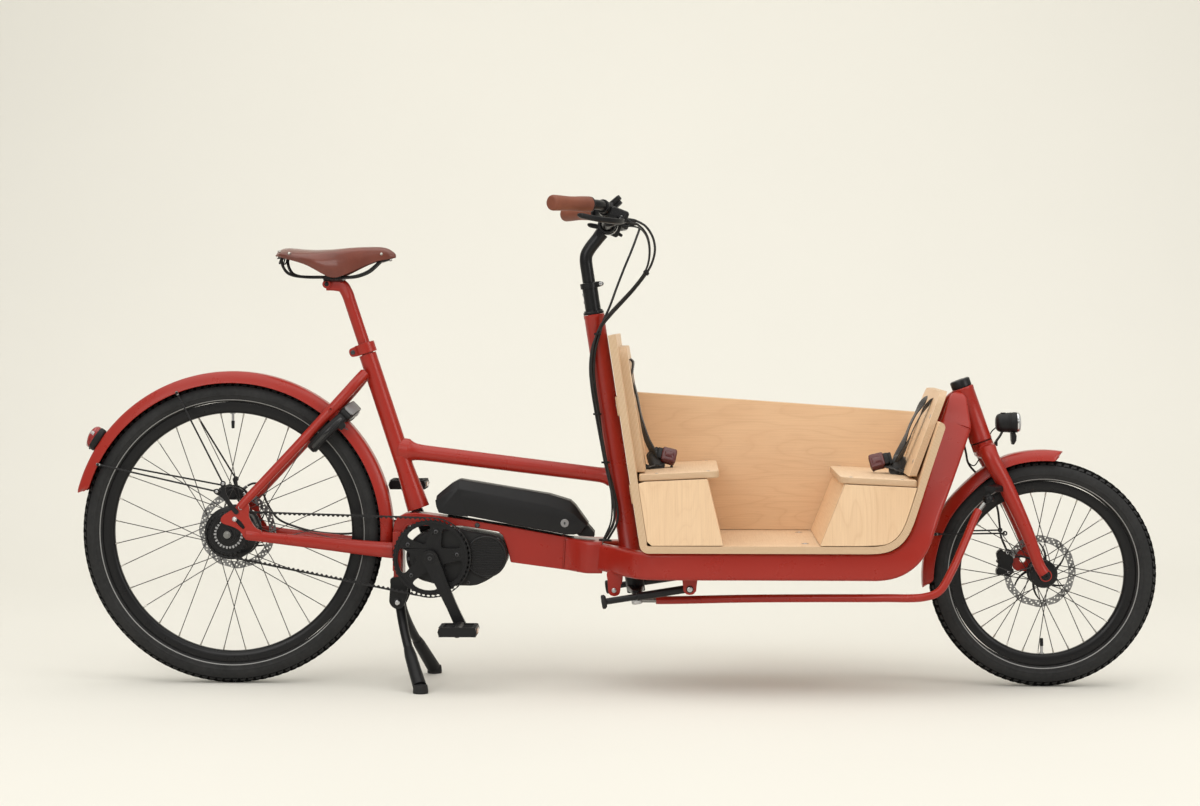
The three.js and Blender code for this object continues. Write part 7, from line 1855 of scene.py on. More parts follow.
# leather top: one thin shell, dipped along its length, its flaps drawn down at the sides
def sad(x):
    """half width, top height, height of the skirt's edge"""
    X = [-768, -764, -757, -745, -730, -710, -690, -670, -650, -635, -620, -600, -580, -560, -540, -525, -512, -503, -498]
    W = [44, 58, 68, 77, 82, 83, 80, 72, 60, 50, 42, 33, 27.5, 24, 21.5, 19.5, 16.5, 12, 6]
    T = [987, 991.5, 996, 998.2, 997.4, 995.2, 994.0, 993.8, 994.6, 995.6, 997, 998.9, 1000, 1000.5, 1000.7, 999.8, 996.0, 989.5, 983.5]
    Ed = [979, 978, 976.5, 973.5, 969.5, 964, 957, 945.5, 933.5, 928.5, 932.5, 941.5, 951.5, 960.5, 967.5, 970.5, 972.5, 974.5, 977]
    return (np.interp(x, X, W), np.interp(x, X, T), np.interp(x, X, Ed))
def smooth1(f, x, h):
    return sum(np.array(f(x + d * h)) * w for d, w in ((-1, 0.25), (-0.5, 0.2), (0, 0.1), (0.5, 0.2), (1, 0.25)))
ns, nc = 96, 46
outer, inner = [], []
xs = [-768 + 270 * (0.5 - 0.5 * math.cos(math.pi * i / ns)) for i in range(ns + 1)]
for i, x in enumerate(xs):
    xx = min(max(x, -766), -499.5)
    W, T, E = smooth1(sad, xx, 7) if 6 < i < ns - 6 else np.array(sad(x))
    row_o, row_i = [], []
    for j in range(nc + 1):
        t = -1 + 2 * j / nc
        a = abs(t)
        # crown over the top, then a soft shoulder, then the flap
        if a < 0.52:
            q = a / 0.52
            y = W * 0.80 * q
            z = T - (5.2 + W * 0.05) * q ** 2.4
        else:
            q = (a - 0.52) / 0.48
            y = W * (0.80 + 0.20 * math.sin(min(1, q * 1.35) * math.pi / 2)) - W * 0.10 * max(0, q - 0.45) ** 1.3
            z0 = T - (5.2 + W * 0.05)
            z = z0 - (z0 - E) * (q ** 1.25)
        row_o.append((x, math.copysign(y, t), z))
        th = 3.6 if 0.02 < a < 0.985 else 2.6
        row_i.append((x + (1.2 if x < -700 else -0.8), math.copysign(max(0, y - th * min(1, a * 1.4)), t), z - th * (1.0 if a < 0.6 else 0.25) + (0.6 if a > 0.98 else 0)))
    outer.append(row_o)
    inner.append(row_i[::-1])
B = Build('saddle_detail')
B.add(loft([o_ + i_ for o_, i_ in zip(outer, inner)]), LEATHER)
# rivets along the back edge and at the nose
def on_top(x, a, s):
    W, T, E = sad(x)
    q = a / 0.52
    y = W * 0.80 * q if a < 0.52 else W * 0.97
    z = T - (5.2 + W * 0.05) * q ** 2.4 if a < 0.52 else T - (5.2 + W * 0.05) - 6
    return V(x, s * y, z)
for x, a, s in ((-762, 0.30, 1), (-762, 0.30, -1), (-764, 0.0, 1), (-757, 0.47, 1), (-757, 0.47, -1)):
    B.add(turn([(0, -1), (3.4, -1), (3.4, 0.6), (2.4, 1.5), (0, 1.8)], on_top(x, a, s), unit(V(-0.35, 0.25 * s * a, 1)), 24), BRASSY)
for s in (-1, 1):
    for x, z in ((-529, 984), (-731, 984.5)):
        W, T, E = sad(x)
        B.add(turn([(0, -2.5), (3.4, -2.5), (3.4, 0.5), (2.4, 1.4), (0, 1.7)], V(x, s * (W - (0.8 if x > -600 else 3.2)), z), V(0, s, 0.2 if x > -600 else 0.45), 24), BRASSY)
# rear plate, nose bracket and its bolt
B.add(loft([[(x, y, 975 + 0.06 * (46 - abs(y)) + dz) for x, dz in ((-764, -3), (-758, 6), (-756, 6), (-760, -3))] for y in np.linspace(-46, 46, 25)]), BLACK)
for s in (-1, 1):
    B.add(tube(resample([V(-752, s * 46, 976), V(-753, s * 45, 966), V(-749, s * 42, 952), V(-741, s * 38, 941), V(-728, s * 32, 935), V(-706, s * 25.5, 932), V(-670, s * 22, 931.5), V(-600, s * 22, 931.5), V(-580, s * 20.5, 935.5), V(-560, s * 17.5, 944), V(-546, s * 13.5, 955), V(-533, s * 10, 967), V(-524, s * 6, 971.5)], 110), 3.4, 18), BLACK)
    # bag loop behind the rear plate
    lp3 = resample([V(-757, s * 30, 974), V(-760, s * 31, 965), V(-759, s * 37, 962), V(-757, s * 43, 965), V(-755, s * 44, 974)], 30)
    B.add(sweep(lp3, rrect(2.6, 4.4, 1.0, 3), up=(0, 1, 0)), BLACK)
B.add(loft([[(x, a, zc + b) for a, b in rrect(w, h, 3.0, 4)] for x, zc, w, h in ((-541, 969.5, 22, 9), (-524, 972, 19, 12), (-511, 976, 13, 12))]), BLACK)
B.add(turn([(0, 0), (4.0, 0), (4.0, 24), (0, 24)], V(-531, 0, 967), V(1, 0, 0.32), 24), STEEL)
hexnut(B, V(-513.5, 0, 972.2), (1, 0, 0.32), STEEL, 6.4, 6)
# clamp plates over the rails
for x0, x1 in ((-657, -645), (-633, -621)):
    B.add(loft([[(x, y, z) for y, z in rounded([(-30, 929.6), (-30, 934.6), (-22, 937), (22, 937), (30, 934.6), (30, 929.6)], 40)] for x in (x0, x1)]), BLACK_SATIN)
B.add(rod(V(-629, 0, 915), V(-629, 0, 938), 4.2, 24), STEEL)
B.done('saddle', ['saddle'], sharp=52)

# ------------------------------------------------------------------ stands
B = Build('kickstand_bracket_detail')
for s in (-1, 1):
    y0, y1 = sorted((s * 27.4, s * 32.4))
    B.add(plate(rounded([(-508, 243.6), (-472, 243.6), (-470, 228), (-470, 206), (-476, 188), (-484, 176), (-493, 173.4), (-504, 178), (-511, 188), (-511, 206), (-509, 228)], 80), y0, y1, holes=[ring_pts((-493, 188.5), 6.2, 28)]), BLACK)
    B.add(turn([(0, 0), (10, 0), (10, 1.0), (8.8, 1.8), (0, 1.8)], V(-493, s * 32.3, 188.5), V(0, s, 0), 36), BLACK)
    bolt(B, V(-493, s * 34.0, 188.5), (0, s, 0), STEEL, 5.6, 1.8, n=26)
B.add(boxm(-507.6, -473.2, -32, 32, 236.5, 243.6), BLACK)
for x in (-500, -481):
    hexnut(B, V(x, 0, 243.2), (0, 0, 1), STEEL, 5.4, 0.8)
B.done('frame', ['kickstand_bracket'], bevel=1.2, seg=3, ang=44)

def kick_leg(s):
    return resample([V(-490, 13 * s, 188), V(-487, 16 * s, 170), V(-478, 42 * s, 136), V(-466, 76 * s, 101), V(-445, 124 * s, 51), V(-428, 161 * s, 12)], 90)
B = Build('kickstand_detail')
B.add(turn([(6.2, -25.4), (10.4, -25.4), (11.4, -24.4), (11.4, 24.4), (10.4, 25.4), (6.2, 25.4)], V(-493, 0, 188.5), V(0, 1, 0), 48), BLACK)
B.add(rod(V(-493, -33.8, 188.5), V(-493, 33.8, 188.5), 5.9, 32), STEEL)
for s in (1, -1):
    q = kick_leg(s)
    B.add(tube(q[:62], lambda t: 11.4 - 1.2 * t, 28), BLACK)
    # lower sleeve with its clamp screw, and a flat rubber foot
    def sl_r(t, i):
        r = 11.6 + 1.8 * min(1, t * 6) + 2.6 * t
        return circle(r * 0.98, 32, r * 0.98)
    B.add(sweep(q[48:89], sl_r), PLASTIC)
    B.add(sweep(q[52:84], lambda t, i: [(a * 0.55, b * 0.5 + 8.4 + 3.4 * t) for a, b in circle(8.0 + 4 * t, 24, 6.4)]), PLASTIC_GLOSS)
    m2 = q[58]
    bolt(B, m2 + V(0, -s * 9.0, -6.2), unit(V(0, -s * 0.72, -0.69)), STEEL, 3.4, 2.2, n=18)
    B.add(turn([(0, 0), (15.6, 0), (17.0, 1.0), (17.2, 5), (16.6, 12), (15.4, 19), (0, 22)], V(-427, 163 * s, 0), V(0, 0, 1), 44), RUBBER)
# helper for a return spring between the legs; it is not called, so no spring is drawn
def spring(B, a, b, r, wire, turns, mat, hook=6.0):
    a, b = np.array(a, float), np.array(b, float)
    d = unit(b - a)
    e1 = unit(np.cross(d, V(0, 0.3, 1)))
    e2 = np.cross(d, e1)
    L = np.linalg.norm(b - a)
    pts = [a, a + d * hook * 0.7]
    n = int(turns * 12)
    for i in range(n + 1):
        t = 2 * math.pi * i / 12
        pts.append(a + d * (hook + (L - 2 * hook) * i / n) + e1 * r * math.cos(t) + e2 * r * math.sin(t))
    pts += [b - d * hook * 0.7, b]
    B.add(tube(np.array(pts), wire, 6, twistfree=True), mat)
B.done('kickstand', ['kickstand'], sharp=40)

B = Build('front_stand_detail')
px, pz = 174, 236
fx, fz = px - math.sqrt(194 ** 2 - 30 ** 2), pz - 30
ld3 = unit(V(fx - px, 0, fz - pz))
B.add(rod(V(px, -174.6, pz), V(px, 174.6, pz), 7.9, 40, ch=0.8), BLACK)
for s in (-1, 1):
    a, b = V(px, 150 * s, pz), V(fx, 158 * s, fz)
    d = unit(b - a)
    B.add(rod(a - d * 2, a + d * 118, 9, 40, ch=0.8), BLACK)
    B.add(rod(a + d * 112, b - d * 2, 7.2, 36), BLACK)
    B.add(turn([(7.2, 0), (9.6, 0), (9.6, 5), (7.2, 6)], a + d * 114, d, 36), BLACK)
    B.add(turn([(0, -6.4), (10.4, -6.4), (13.0, -5.2), (15.8, -2.0), (15.8, 2.4), (14.6, 4.4), (11.0, 5.2), (0, 5.2)], b, d, 48), RUBBER)
    B.add(turn([(0, 0), (3.6, 0), (3.6, 0.8), (0, 0.8)], b + d * 4.8, d, 20), STEEL)
    # collar welded on the cross tube, with its screws
    B.add(turn([(7.9, -12), (11.2, -12), (12.2, -11), (12.2, 11), (11.2, 12), (7.9, 12)], a, V(0, 1, 0), 40), BLACK)
    for k in (24, 112):
        bolt(B, a + d * k + V(0, s * -8.6, 0), V(0, -s, 0), STEEL, 2.6, 1.0, n=14)
    bolt(B, V(px, s * 174.2, pz), (0, s, 0), STEEL, 6.0, 1.4, n=26)
B.done('front_stand', ['front_stand'], bevel=0.0, sharp=40)
# ears near the rear of the deck; a spring runs from each to the stand when it is parked
EX, EZ = 4, 226.5
B = Build('deck_ears')
for s in (-1, 1):
    yc = s * 106
    B.add(plate(rounded([(EX - 15, 268), (EX - 14.5, 246), (EX - 11, EZ - 8), (EX - 4, EZ - 12.5), (EX + 5, EZ - 12.5), (EX + 12, EZ - 8), (EX + 15.5, 246), (EX + 17, 262), (EX + 10, 268)], 60), yc - 3.2, yc + 3.2), RED)
    bolt(B, V(EX, yc + s * 3.0, EZ), (0, s, 0), STEEL, 5.6, 2.6, n=26)
    B.add(turn([(0, 0), (3.0, 0), (3.0, 10), (4.2, 10.4), (4.2, 11.8), (0, 12)], V(EX, yc + s * 5, EZ), V(0, s, 0), 20), STEEL)
B.done('frame', bevel=0.8, seg=2, ang=44)

# ------------------------------------------------------------------ wooden box
def addm(B, v, f, mats, uv, att):
    """one closed body whose faces have a material each"""
    v = np.array(v, float)
    for m in mats:
        if m not in B.mats:
            B.mats.append(m)
    B.v.append(v)
    B.f += [[i + B.n for i in q] for q in f]
    B.mi += [B.mats.index(m) for m in mats]
    B.uv.append(np.array(uv, float))
    B.att.append(np.array(att, float))
    B.n += len(v)

def board(B, out, f3, holes=(), uv=None, shift=(0, 0), face=None, edge=None):
    """flat or slanted board: outline (and slots) in its own plane, f3(u, w, t) puts a point at depth t (0..1)"""
    face, edge = face or PLY, edge or PLY_EDGE
    loops = [list(out)] + [list(h) for h in holes]
    flat = [p for l in loops for p in l]
    n = len(flat)
    v = [f3(a, b, 0) for a, b in flat] + [f3(a, b, 1) for a, b in flat]
    f, mats, k = [], [], 0
    for l in loops:
        m = len(l)
        for j in range(m):
            j2 = (j + 1) % m
            f.append([k + j, k + j2, n + k + j2, n + k + j])
            mats.append(edge)
        k += m
    if holes:
        tri = [list(t) for t in tessellate_polygon([[Vector((a, b, 0)) for a, b in l] for l in loops])]
        f += tri + [[i + n for i in t][::-1] for t in tri]
        mats += [face] * (2 * len(tri))
    else:
        f += [list(range(n))[::-1], list(range(n, 2 * n))]
        mats += [face, face]
    g = uv or (lambda a, b: (a, b))
    q = [((g(a, b)[0] + shift[0]) / 1000, (g(a, b)[1] + shift[1]) / 1000) for a, b in flat]
    addm(B, v, f, mats, q + q, [0] * n + [1] * n)

def fillet(poly, radii, n=7):
    """polygon with its corners rounded; radii is one number or one for each corner"""
    out, m = [], len(poly)
    for i in range(m):
        r = radii if isinstance(radii, (int, float)) else radii[i]
        p = np.array(poly[i], float)
        a, b = np.array(poly[i - 1], float) - p, np.array(poly[(i + 1) % m], float) - p
        la, lb = np.linalg.norm(a), np.linalg.norm(b)
        a, b = a / la, b / lb
        ang = math.acos(max(-1, min(1, a @ b)))
        if r <= 0 or ang > 3.05:
            out.append(tuple(p))
            continue
        d = min(r / math.tan(ang / 2), la * 0.48, lb * 0.48)
        rr = d * math.tan(ang / 2)
        c = p + unit(a + b) * (rr / math.sin(ang / 2))
        s0, s1 = p + a * d - c, p + b * d - c
        a0, a1 = math.atan2(s0[1], s0[0]), math.atan2(s1[1], s1[0])
        da = (a1 - a0 + math.pi) % (2 * math.pi) - math.pi
        for k in range(n + 1):
            t = a0 + da * k / n
            out.append((c[0] + rr * math.cos(t), c[1] + rr * math.sin(t)))
    return out

def rear_out(z): return 65.7 - (z - 320.4) * 0.1514
def rear_in(z): return rear_out(z) + 17.4
FO = [(556, 320.4), (588, 321.5), (612, 327), (634, 340), (650, 358), (662, 382), (676, 423), (690, 467), (712, 536), (735, 606)]
def off_poly(poly, d):
    out = []
    for i, p in enumerate(poly):
        a, b = poly[max(0, i - 1)], poly[min(len(poly) - 1, i + 1)]
        L = math.hypot(b[0] - a[0], b[1] - a[1])
        out.append((p[0] - (b[1] - a[1]) / L * d, p[1] + (b[0] - a[0]) / L * d))
    return out
FI = off_poly(FO, 16)

# tray: one bent sheet, its layers showing all along both sides and at the two top edges
cxr = 62.67 + 20.23
path = [(rear_out(z), z) for z in np.linspace(799.6, 346, 24)]
path += [(cxr + 20 * math.cos(rad(a)), 340.4 + 20 * math.sin(rad(a))) for a in np.linspace(190, 270, 12)]
path += [(x, 320.4) for x in np.linspace(100, 540, 12)]
fs = resample([V(548, 0, 320.4)] + [V(x, 0, z) for x, z in FO], 60)
path += [(q[0], q[2]) for q in fs]
inner_ = off_poly(path, 16)
for i, (p, q) in enumerate(zip(path, inner_)):
    t = 17 if i < 24 else 16
    if i < 24:
        inner_[i] = (p[0] + 17, q[1] if 0 < i else p[1] + 2.2)
# the front end is rounded over, more on its outer corner
E0, E1 = np.array(path[-1]), np.array(inner_[-1])
dn = (E0 - np.array(path[-2])) / math.dist(path[-1], path[-2])
th_ = (E1 - E0) / math.dist(E0, E1)
keep = [i for i in range(len(path)) if i < 40 or (E0 - np.array(path[i])) @ dn > 12.4]
path, inner_ = [path[i] for i in keep], [inner_[i] for i in keep]
for dd in (11.5, 9, 7, 5.2, 3.6, 2.3, 1.3, 0.5, 0.0):
    oa = 11.5 - math.sqrt(max(0, 11.5 ** 2 - (11.5 - dd) ** 2))
    ob = 3.6 - math.sqrt(max(0, 3.6 ** 2 - (3.6 - dd) ** 2)) if dd < 3.6 else 0
    path.append(tuple(E0 - dn * dd + th_ * oa))
    inner_.append(tuple(E1 - dn * dd - th_ * ob))
m_ = len(path)
ys = [-225, 225]
v, uvs, att = [], [], []
arc = np.concatenate([[0], np.cumsum([math.dist(path[i], path[i + 1]) for i in range(m_ - 1)])])
for y in ys:
    for i, (x, z) in enumerate(path):
        v.append((x, y, z)); uvs.append((y / 1000 + 3, arc[i] / 1000)); att.append(0)
    for i, (x, z) in enumerate(inner_):
        v.append((x, y, z)); uvs.append((y / 1000 + 7, arc[i] / 1000)); att.append(1)
f, ms = [], []
o0, i0, o1, i1 = 0, m_, 2 * m_, 3 * m_
for i in range(m_ - 1):
    f.append([o0 + i, o0 + i + 1, o1 + i + 1, o1 + i]); ms.append(PLY)
    # inside, the floor of the tray takes the copy for faces that look up: painted light from above
    f.append([i0 + i, i1 + i, i1 + i + 1, i0 + i + 1]); ms.append(PLY_PAINTED_TOPLIGHT if path[i][1] < 345 else PLY)
    f.append([o0 + i, i0 + i, i0 + i + 1, o0 + i + 1]); ms.append(PLY_EDGE)
    f.append([o1 + i, o1 + i + 1, i1 + i + 1, i1 + i]); ms.append(PLY_EDGE)
f.append([o0, o1, i1, i0]); ms.append(PLY_EDGE)
f.append([o0 + m_ - 1, i0 + m_ - 1, i1 + m_ - 1, o1 + m_ - 1]); ms.append(PLY_EDGE)
B = Build('box_tray_detail')
addm(B, v, f, ms, uvs, att)
B.done('frame', ['box_tray'], bevel=2.2, seg=3, ang=50, sharp=42)

# panel on the left
B = Build('box_side_detail')
fin = [(x - 0.6, z + 0.6) for x, z in FI]
lastx = fin[-1][0]
fmid = [(q[0], q[2]) for q in resample([V(x, 0, z) for x, z in [(548, 337.2)] + [p for p in fin if 336.8 < p[1] < 600]], 44)][1:]
outl = [(rear_in(352) + 0.8, 352), (rear_in(340) + 5, 341), (99, 337.2)] + fmid + [(lastx - 3, 606)] + [(lastx - 12, 617.5), (rear_in(664) + 8, 664), (rear_in(655) + 0.8, 657)]
board(B, outl, lambda x, z, t: (x, 212.2 + 12.8 * t, z), shift=(200, 150))
B.done('frame', ['box_side_left'], bevel=1.6, seg=3, ang=50)

# backrests with their strap slots
def slot_hole(yc, z0, z1, w):
    pts = [(yc + w / 2 * math.cos(a), z1 - w / 2 + w / 2 * math.sin(a)) for a in np.linspace(0, math.pi, 9)]
    pts += [(yc + w / 2 * math.cos(a), z0 + w / 2 + w / 2 * math.sin(a)) for a in np.linspace(math.pi, 2 * math.pi, 9)]
    return pts
def rest(name, bx, tx_, z0, z1, t, half, halft, r, slots, shift):
    f = fillet([(-half, z0), (half, z0), (halft, z1), (-halft, z1)], [3, 3, r, r], 10)
    X = lambda z: bx + (tx_ - bx) * (z - z0) / (z1 - z0)
    B = Build(name + '_detail')
    board(B, f, lambda y, z, k: (X(z) + t * k, y, z), holes=slots, uv=lambda y, z: (z, y), shift=shift)
    B.done('frame', [name], bevel=2.0, seg=3, ang=50)
rest('rear_backrest', rear_in(497), rear_in(774), 497, 774, 18, 190, 176, 30, [slot_hole(s * 62, 668, 752, 10) for s in (-1, 1)], (40, 900))
FR0, FR1 = FI[8][0] - 40, FI[8][0] + 30.5
rest('front_backrest', FR0, FR1, 489, 676, 16, 188, 172, 32, [slot_hole(s * 62, 572, 660, 10) for s in (-1, 1)], (900, 300))

# bench boards
B = Build('rear_seat_board_detail')
# the seat boards take the copy for faces that look up: painted light from above
board(B, fillet([(61.5, -214), (238, -214), (238, 211.4), (61.5, 211.4)], [3, 26, 26, 3], 10), lambda x, y, t: (x, y, 479 + 8 * (x - 76) / 162 + 16 * t), uv=lambda x, y: (y, x), shift=(1300, 0), face=PLY_PAINTED_TOPLIGHT)
B.done('frame', ['rear_seat_board'], bevel=3.0, seg=4, ang=50)
B = Build('front_seat_board_detail')
board(B, fillet([(504, -214), (672, -214), (672, 211.4), (504, 211.4)], [30, 3, 3, 30], 10), lambda x, y, t: (x, y, 474.4 - 7.4 * (x - 504) / 160 + 15.6 * t), uv=lambda x, y: (y, x), shift=(1900, 0), face=PLY_PAINTED_TOPLIGHT)
B.done('frame', ['front_seat_board'], bevel=3.0, seg=4, ang=50)

# bench boxes
B = Build('rear_seat_box_detail')
near = fillet([(90, 337.4), (247, 338), (212, 484.6), (74, 478.2), (rear_in(476) + 0.6, 474), (rear_in(346) + 0.6, 346)], [2, 2, 2, 2, 2, 5], 5)
board(B, near, lambda x, z, t: (x, -225 + 12 * t, z), uv=lambda x, z: (z, x), shift=(2500, 40))
board(B, near, lambda x, z, t: (x, 199 + 12.4 * t, z), uv=lambda x, z: (z, x), shift=(2700, 200))
board(B, [(-213, 338), (199, 338), (199, 484.2), (-213, 484.2)], lambda y, z, t: (235 - 35 * (z - 338) / 146.6 + 12 * t, y, z), uv=lambda y, z: (y, z), shift=(2900, 60))
B.done('frame', ['rear_seat_box'], bevel=0.9, seg=2, ang=50)
B = Build('front_seat_box_detail')
finn = [(x - 0.8, z + 0.8) for x, z in FI]
curve = [(q[0], q[2]) for q in resample([V(556, 0, 338)] + [V(x, 0, z) for x, z in finn if 338.6 < z < 460], 34)][1:]
near = [(460, 338), (520, 338), (556, 338)] + curve + [(float(np.interp(466.0, [q[1] for q in finn], [q[0] for q in finn])) - 0.4, 466.0), (514, 473.2)]
board(B, near, lambda x, z, t: (x, -225 + 12 * t, z), uv=lambda x, z: (z, x), shift=(3300, -300))
board(B, near, lambda x, z, t: (x, 199 + 12.4 * t, z), uv=lambda x, z: (z, x), shift=(3500, 100))
board(B, [(-213, 338), (199, 338), (199, 472.6), (-213, 472.6)], lambda y, z, t: (460 + 53 * (z - 338) / 135 + 12 * t, y, z), shift=(3700, 260))
B.done('frame', ['front_seat_box'], bevel=0.9, seg=2, ang=50)

# cleats beside the column, screws that hold the boards and the tray
B = Build('box_cleats')
for s in (-1, 1):
    y0, y1 = sorted((s * 26, s * 76))
    sl_ = fillet([(y0, 617), (y1, 617), (y1, 660), (y0, 660)], 4, 4)
    board(B, sl_, lambda y, z, t: (rear_out(z) - 9.0 * (1 - t) - 0.1 * t, y, z), shift=(4100, 0))
    y0, y1 = sorted((s * 30, s * 96))
    sl_ = fillet([(y0, 420), (y1, 420), (y1, 462), (y0, 462)], 4, 4)
    board(B, sl_, lambda y, z, t: (rear_out(z) - 7.0 * (1 - t) - 0.1 * t, y, z), shift=(4300, 0))
B.done('frame', bevel=1.2, seg=2, ang=50)
B = Build('box_screws')
wn = unit(V(0.9887, 0, 0.1497))
for s in (-1, 1):
    for z in (640, 441):
        bolt(B, V(rear_out(z) - 8.2 + (0 if z > 500 else 2), s * 51, z), -wn, STEEL, 5.4, 2.4, n=22)
    for x in (180, 540):
        for y in (150,):
            B.add(turn([(0, -0.4), (8.5, -0.4), (8.5, 0.5), (7.6, 1.2), (4.4, 1.3), (4.2, 0.7), (0, 0.7)], V(x if x < 400 else 430, s * y, 336.4), V(0, 0, 1), 30), STEEL)
    for z in (520, 640):
        X_ = rear_in(497) + (rear_in(774) - rear_in(497)) * (z - 497) / 277 + 18
        B.add(turn([(0, -0.5), (5.6, -0.5), (5.6, 0.2), (4.4, 0.7), (2.2, 0.7), (2.2, 0.2), (0, 0.2)], V(X_, s * 150, z), wn, 26), STEEL)
    for z in (520, 620):
        X_ = FR0 + (FR1 - FR0) * (z - 489) / 187
        B.add(turn([(0, -0.5), (5.6, -0.5), (5.6, 0.2), (4.4, 0.7), (2.2, 0.7), (2.2, 0.2), (0, 0.2)], V(X_, s * 150, z), unit(V(-1, 0, 0.377)), 26), STEEL)
    for x in (100, 214):
        zz = 495 + 8 * (x - 76) / 162
        B.add(turn([(0, -0.5), (4.6, -0.5), (4.6, 0.15), (3.6, 0.6), (1.8, 0.6), (1.8, 0.2), (0, 0.2)], V(x, s * 205 - 2, zz), V(-0.05, 0, 1), 22), STEEL)
    for x in (528, 640):
        zz = 490 - 7.4 * (x - 504) / 160
        B.add(turn([(0, -0.5), (4.6, -0.5), (4.6, 0.15), (3.6, 0.6), (1.8, 0.6), (1.8, 0.2), (0, 0.2)], V(x, s * 205 - 2, zz), V(0.05, 0, 1), 22), STEEL)
# rubber pads between the rails and the tray
for x in (150, 340, 520):
    for s in (-1, 1):
        B.add(boxm(x - 16, x + 16, s * 192 - 13, s * 192 + 13, 319.6, 320.5), RUBBER)
B.done('frame', sharp=45)

# ------------------------------------------------------------------ child harnesses
def strap(B, path, width, th, wdir, mat, uvo=0.0, stitch=()):
    """flat webbing along a path; wdir is the direction across its width (a vector, or one for each point)"""
    path = np.array(path, float)
    n = len(path)
    s = np.concatenate([[0], np.cumsum(np.linalg.norm(np.diff(path, axis=0), axis=1))])
    v, uv = [], []
    cols = [(-0.5, -0.5), (-0.25, -0.5), (0, -0.5), (0.25, -0.5), (0.5, -0.5), (0.5, 0.5), (0.25, 0.5), (0, 0.5), (-0.25, 0.5), (-0.5, 0.5)]
    for i, p in enumerate(path):
        t = unit(path[min(n - 1, i + 1)] - path[max(0, i - 1)])
        w = np.array(wdir[i] if isinstance(wdir, (list, np.ndarray)) and np.ndim(wdir) == 2 else wdir, float)
        w = unit(w - t * (w @ t))
        nn = np.cross(t, w)
        for a, b in cols:
            k = 0.82 if abs(a) == 0.5 else 1.0
            v.append(p + w * a * width + nn * b * th * k)
            uv.append((a * width / 1000, s[i] / 1000 + uvo))
    m = len(cols)
    f = []
    for i in range(n - 1):
        for j in range(m):
            j2 = (j + 1) % m
            f.append([i * m + j, (i + 1) * m + j, (i + 1) * m + j2, i * m + j2])
    f += [list(range(m)), list(range((n - 1) * m, n * m))[::-1]]
    B.add((np.array(v), f), mat, uv=uv)
    # rows of stitches where asked
    for s0, s1 in stitch:
        for row in (-0.36, 0.36):
            k = s0
            while k < s1:
                i = int(np.searchsorted(s, k))
                if 0 < i < n - 1:
                    t = unit(path[i + 1] - path[i - 1])
                    w = np.array(wdir[i] if np.ndim(wdir) == 2 else wdir, float)
                    w = unit(w - t * (w @ t))
                    nn = np.cross(t, w)
                    for sg in (-1, 1):
                        c = path[i] + w * row * width + nn * sg * (th * 0.5 + 0.05)
                        B.add(sweep([c - t * 1.3, c, c + t * 1.3], circle(0.42, 5), twistfree=True), GREY_PLASTIC)
                k += 4.2

def soft_pad(name, centre, ex, ey, ez, w, l, t, body, taper=0.85, cap=5.0):
    """pad made by a short cloth inflation of a slightly smaller form; axes ex (width), ey (length), ez (thickness)"""
    centre = np.array(centre, float)
    m = at_axes(centre, ex, ey, ez)
    rings = []
    for z, k in ((-t / 2, 0.80), (-t / 2 + 1.2, 0.93), (-t * 0.2, 1.0), (t * 0.2, 1.0), (t / 2 - 1.2, 0.93), (t / 2, 0.80)):
        q = fillet([(-w / 2, -l / 2), (w / 2, -l / 2), (w / 2 * taper, l / 2), (-w / 2 * taper, l / 2)], min(w, l) * 0.30, 6)
        rings.append([(a * k, b * k, z) for a, b in q])
    vf = moved(loft(rings), m)
    B = Build(name)
    B.add(vf, PADFAB)
    o = B.done(body, sharp=180)
    r = o.modifiers.new('even', 'REMESH')
    r.mode, r.voxel_size = 'VOXEL', 0.0026
    apply_all(o)
    base = [v.co.copy() for v in o.data.vertices]
    c = o.modifiers.new('puff', 'CLOTH')
    st = c.settings
    st.use_pressure, st.uniform_pressure_force = True, 3.0
    st.effector_weights.gravity = 0.0
    st.tension_stiffness = st.compression_stiffness = 18
    st.bending_stiffness = 1.2
    c.point_cache.frame_start, c.point_cache.frame_end = 1, 16
    sc = bpy.context.scene
    for fr in range(1, 17):
        sc.frame_set(fr)
    dg = bpy.context.evaluated_depsgraph_get()
    ev = o.evaluated_get(dg)
    moved_ = [v.co.copy() for v in ev.data.vertices]
    o.modifiers.clear()
    lim = cap / 1000
    for v, b, q in zip(o.data.vertices, base, moved_):
        d = q - b
        if d.length > lim:
            d = d * (lim / d.length)
        v.co = b + d
    sc.frame_set(1)
    o.data.materials.clear()
    o.data.materials.append(PADFAB)
    o.data.polygons.foreach_set('use_smooth', [True] * len(o.data.polygons))
    o.data.polygons.foreach_set('material_index', [0] * len(o.data.polygons))
    o.data.update()
    s = o.modifiers.new('round', 'SUBSURF')
    s.levels = s.render_levels = 1
    apply_all(o)
    return o

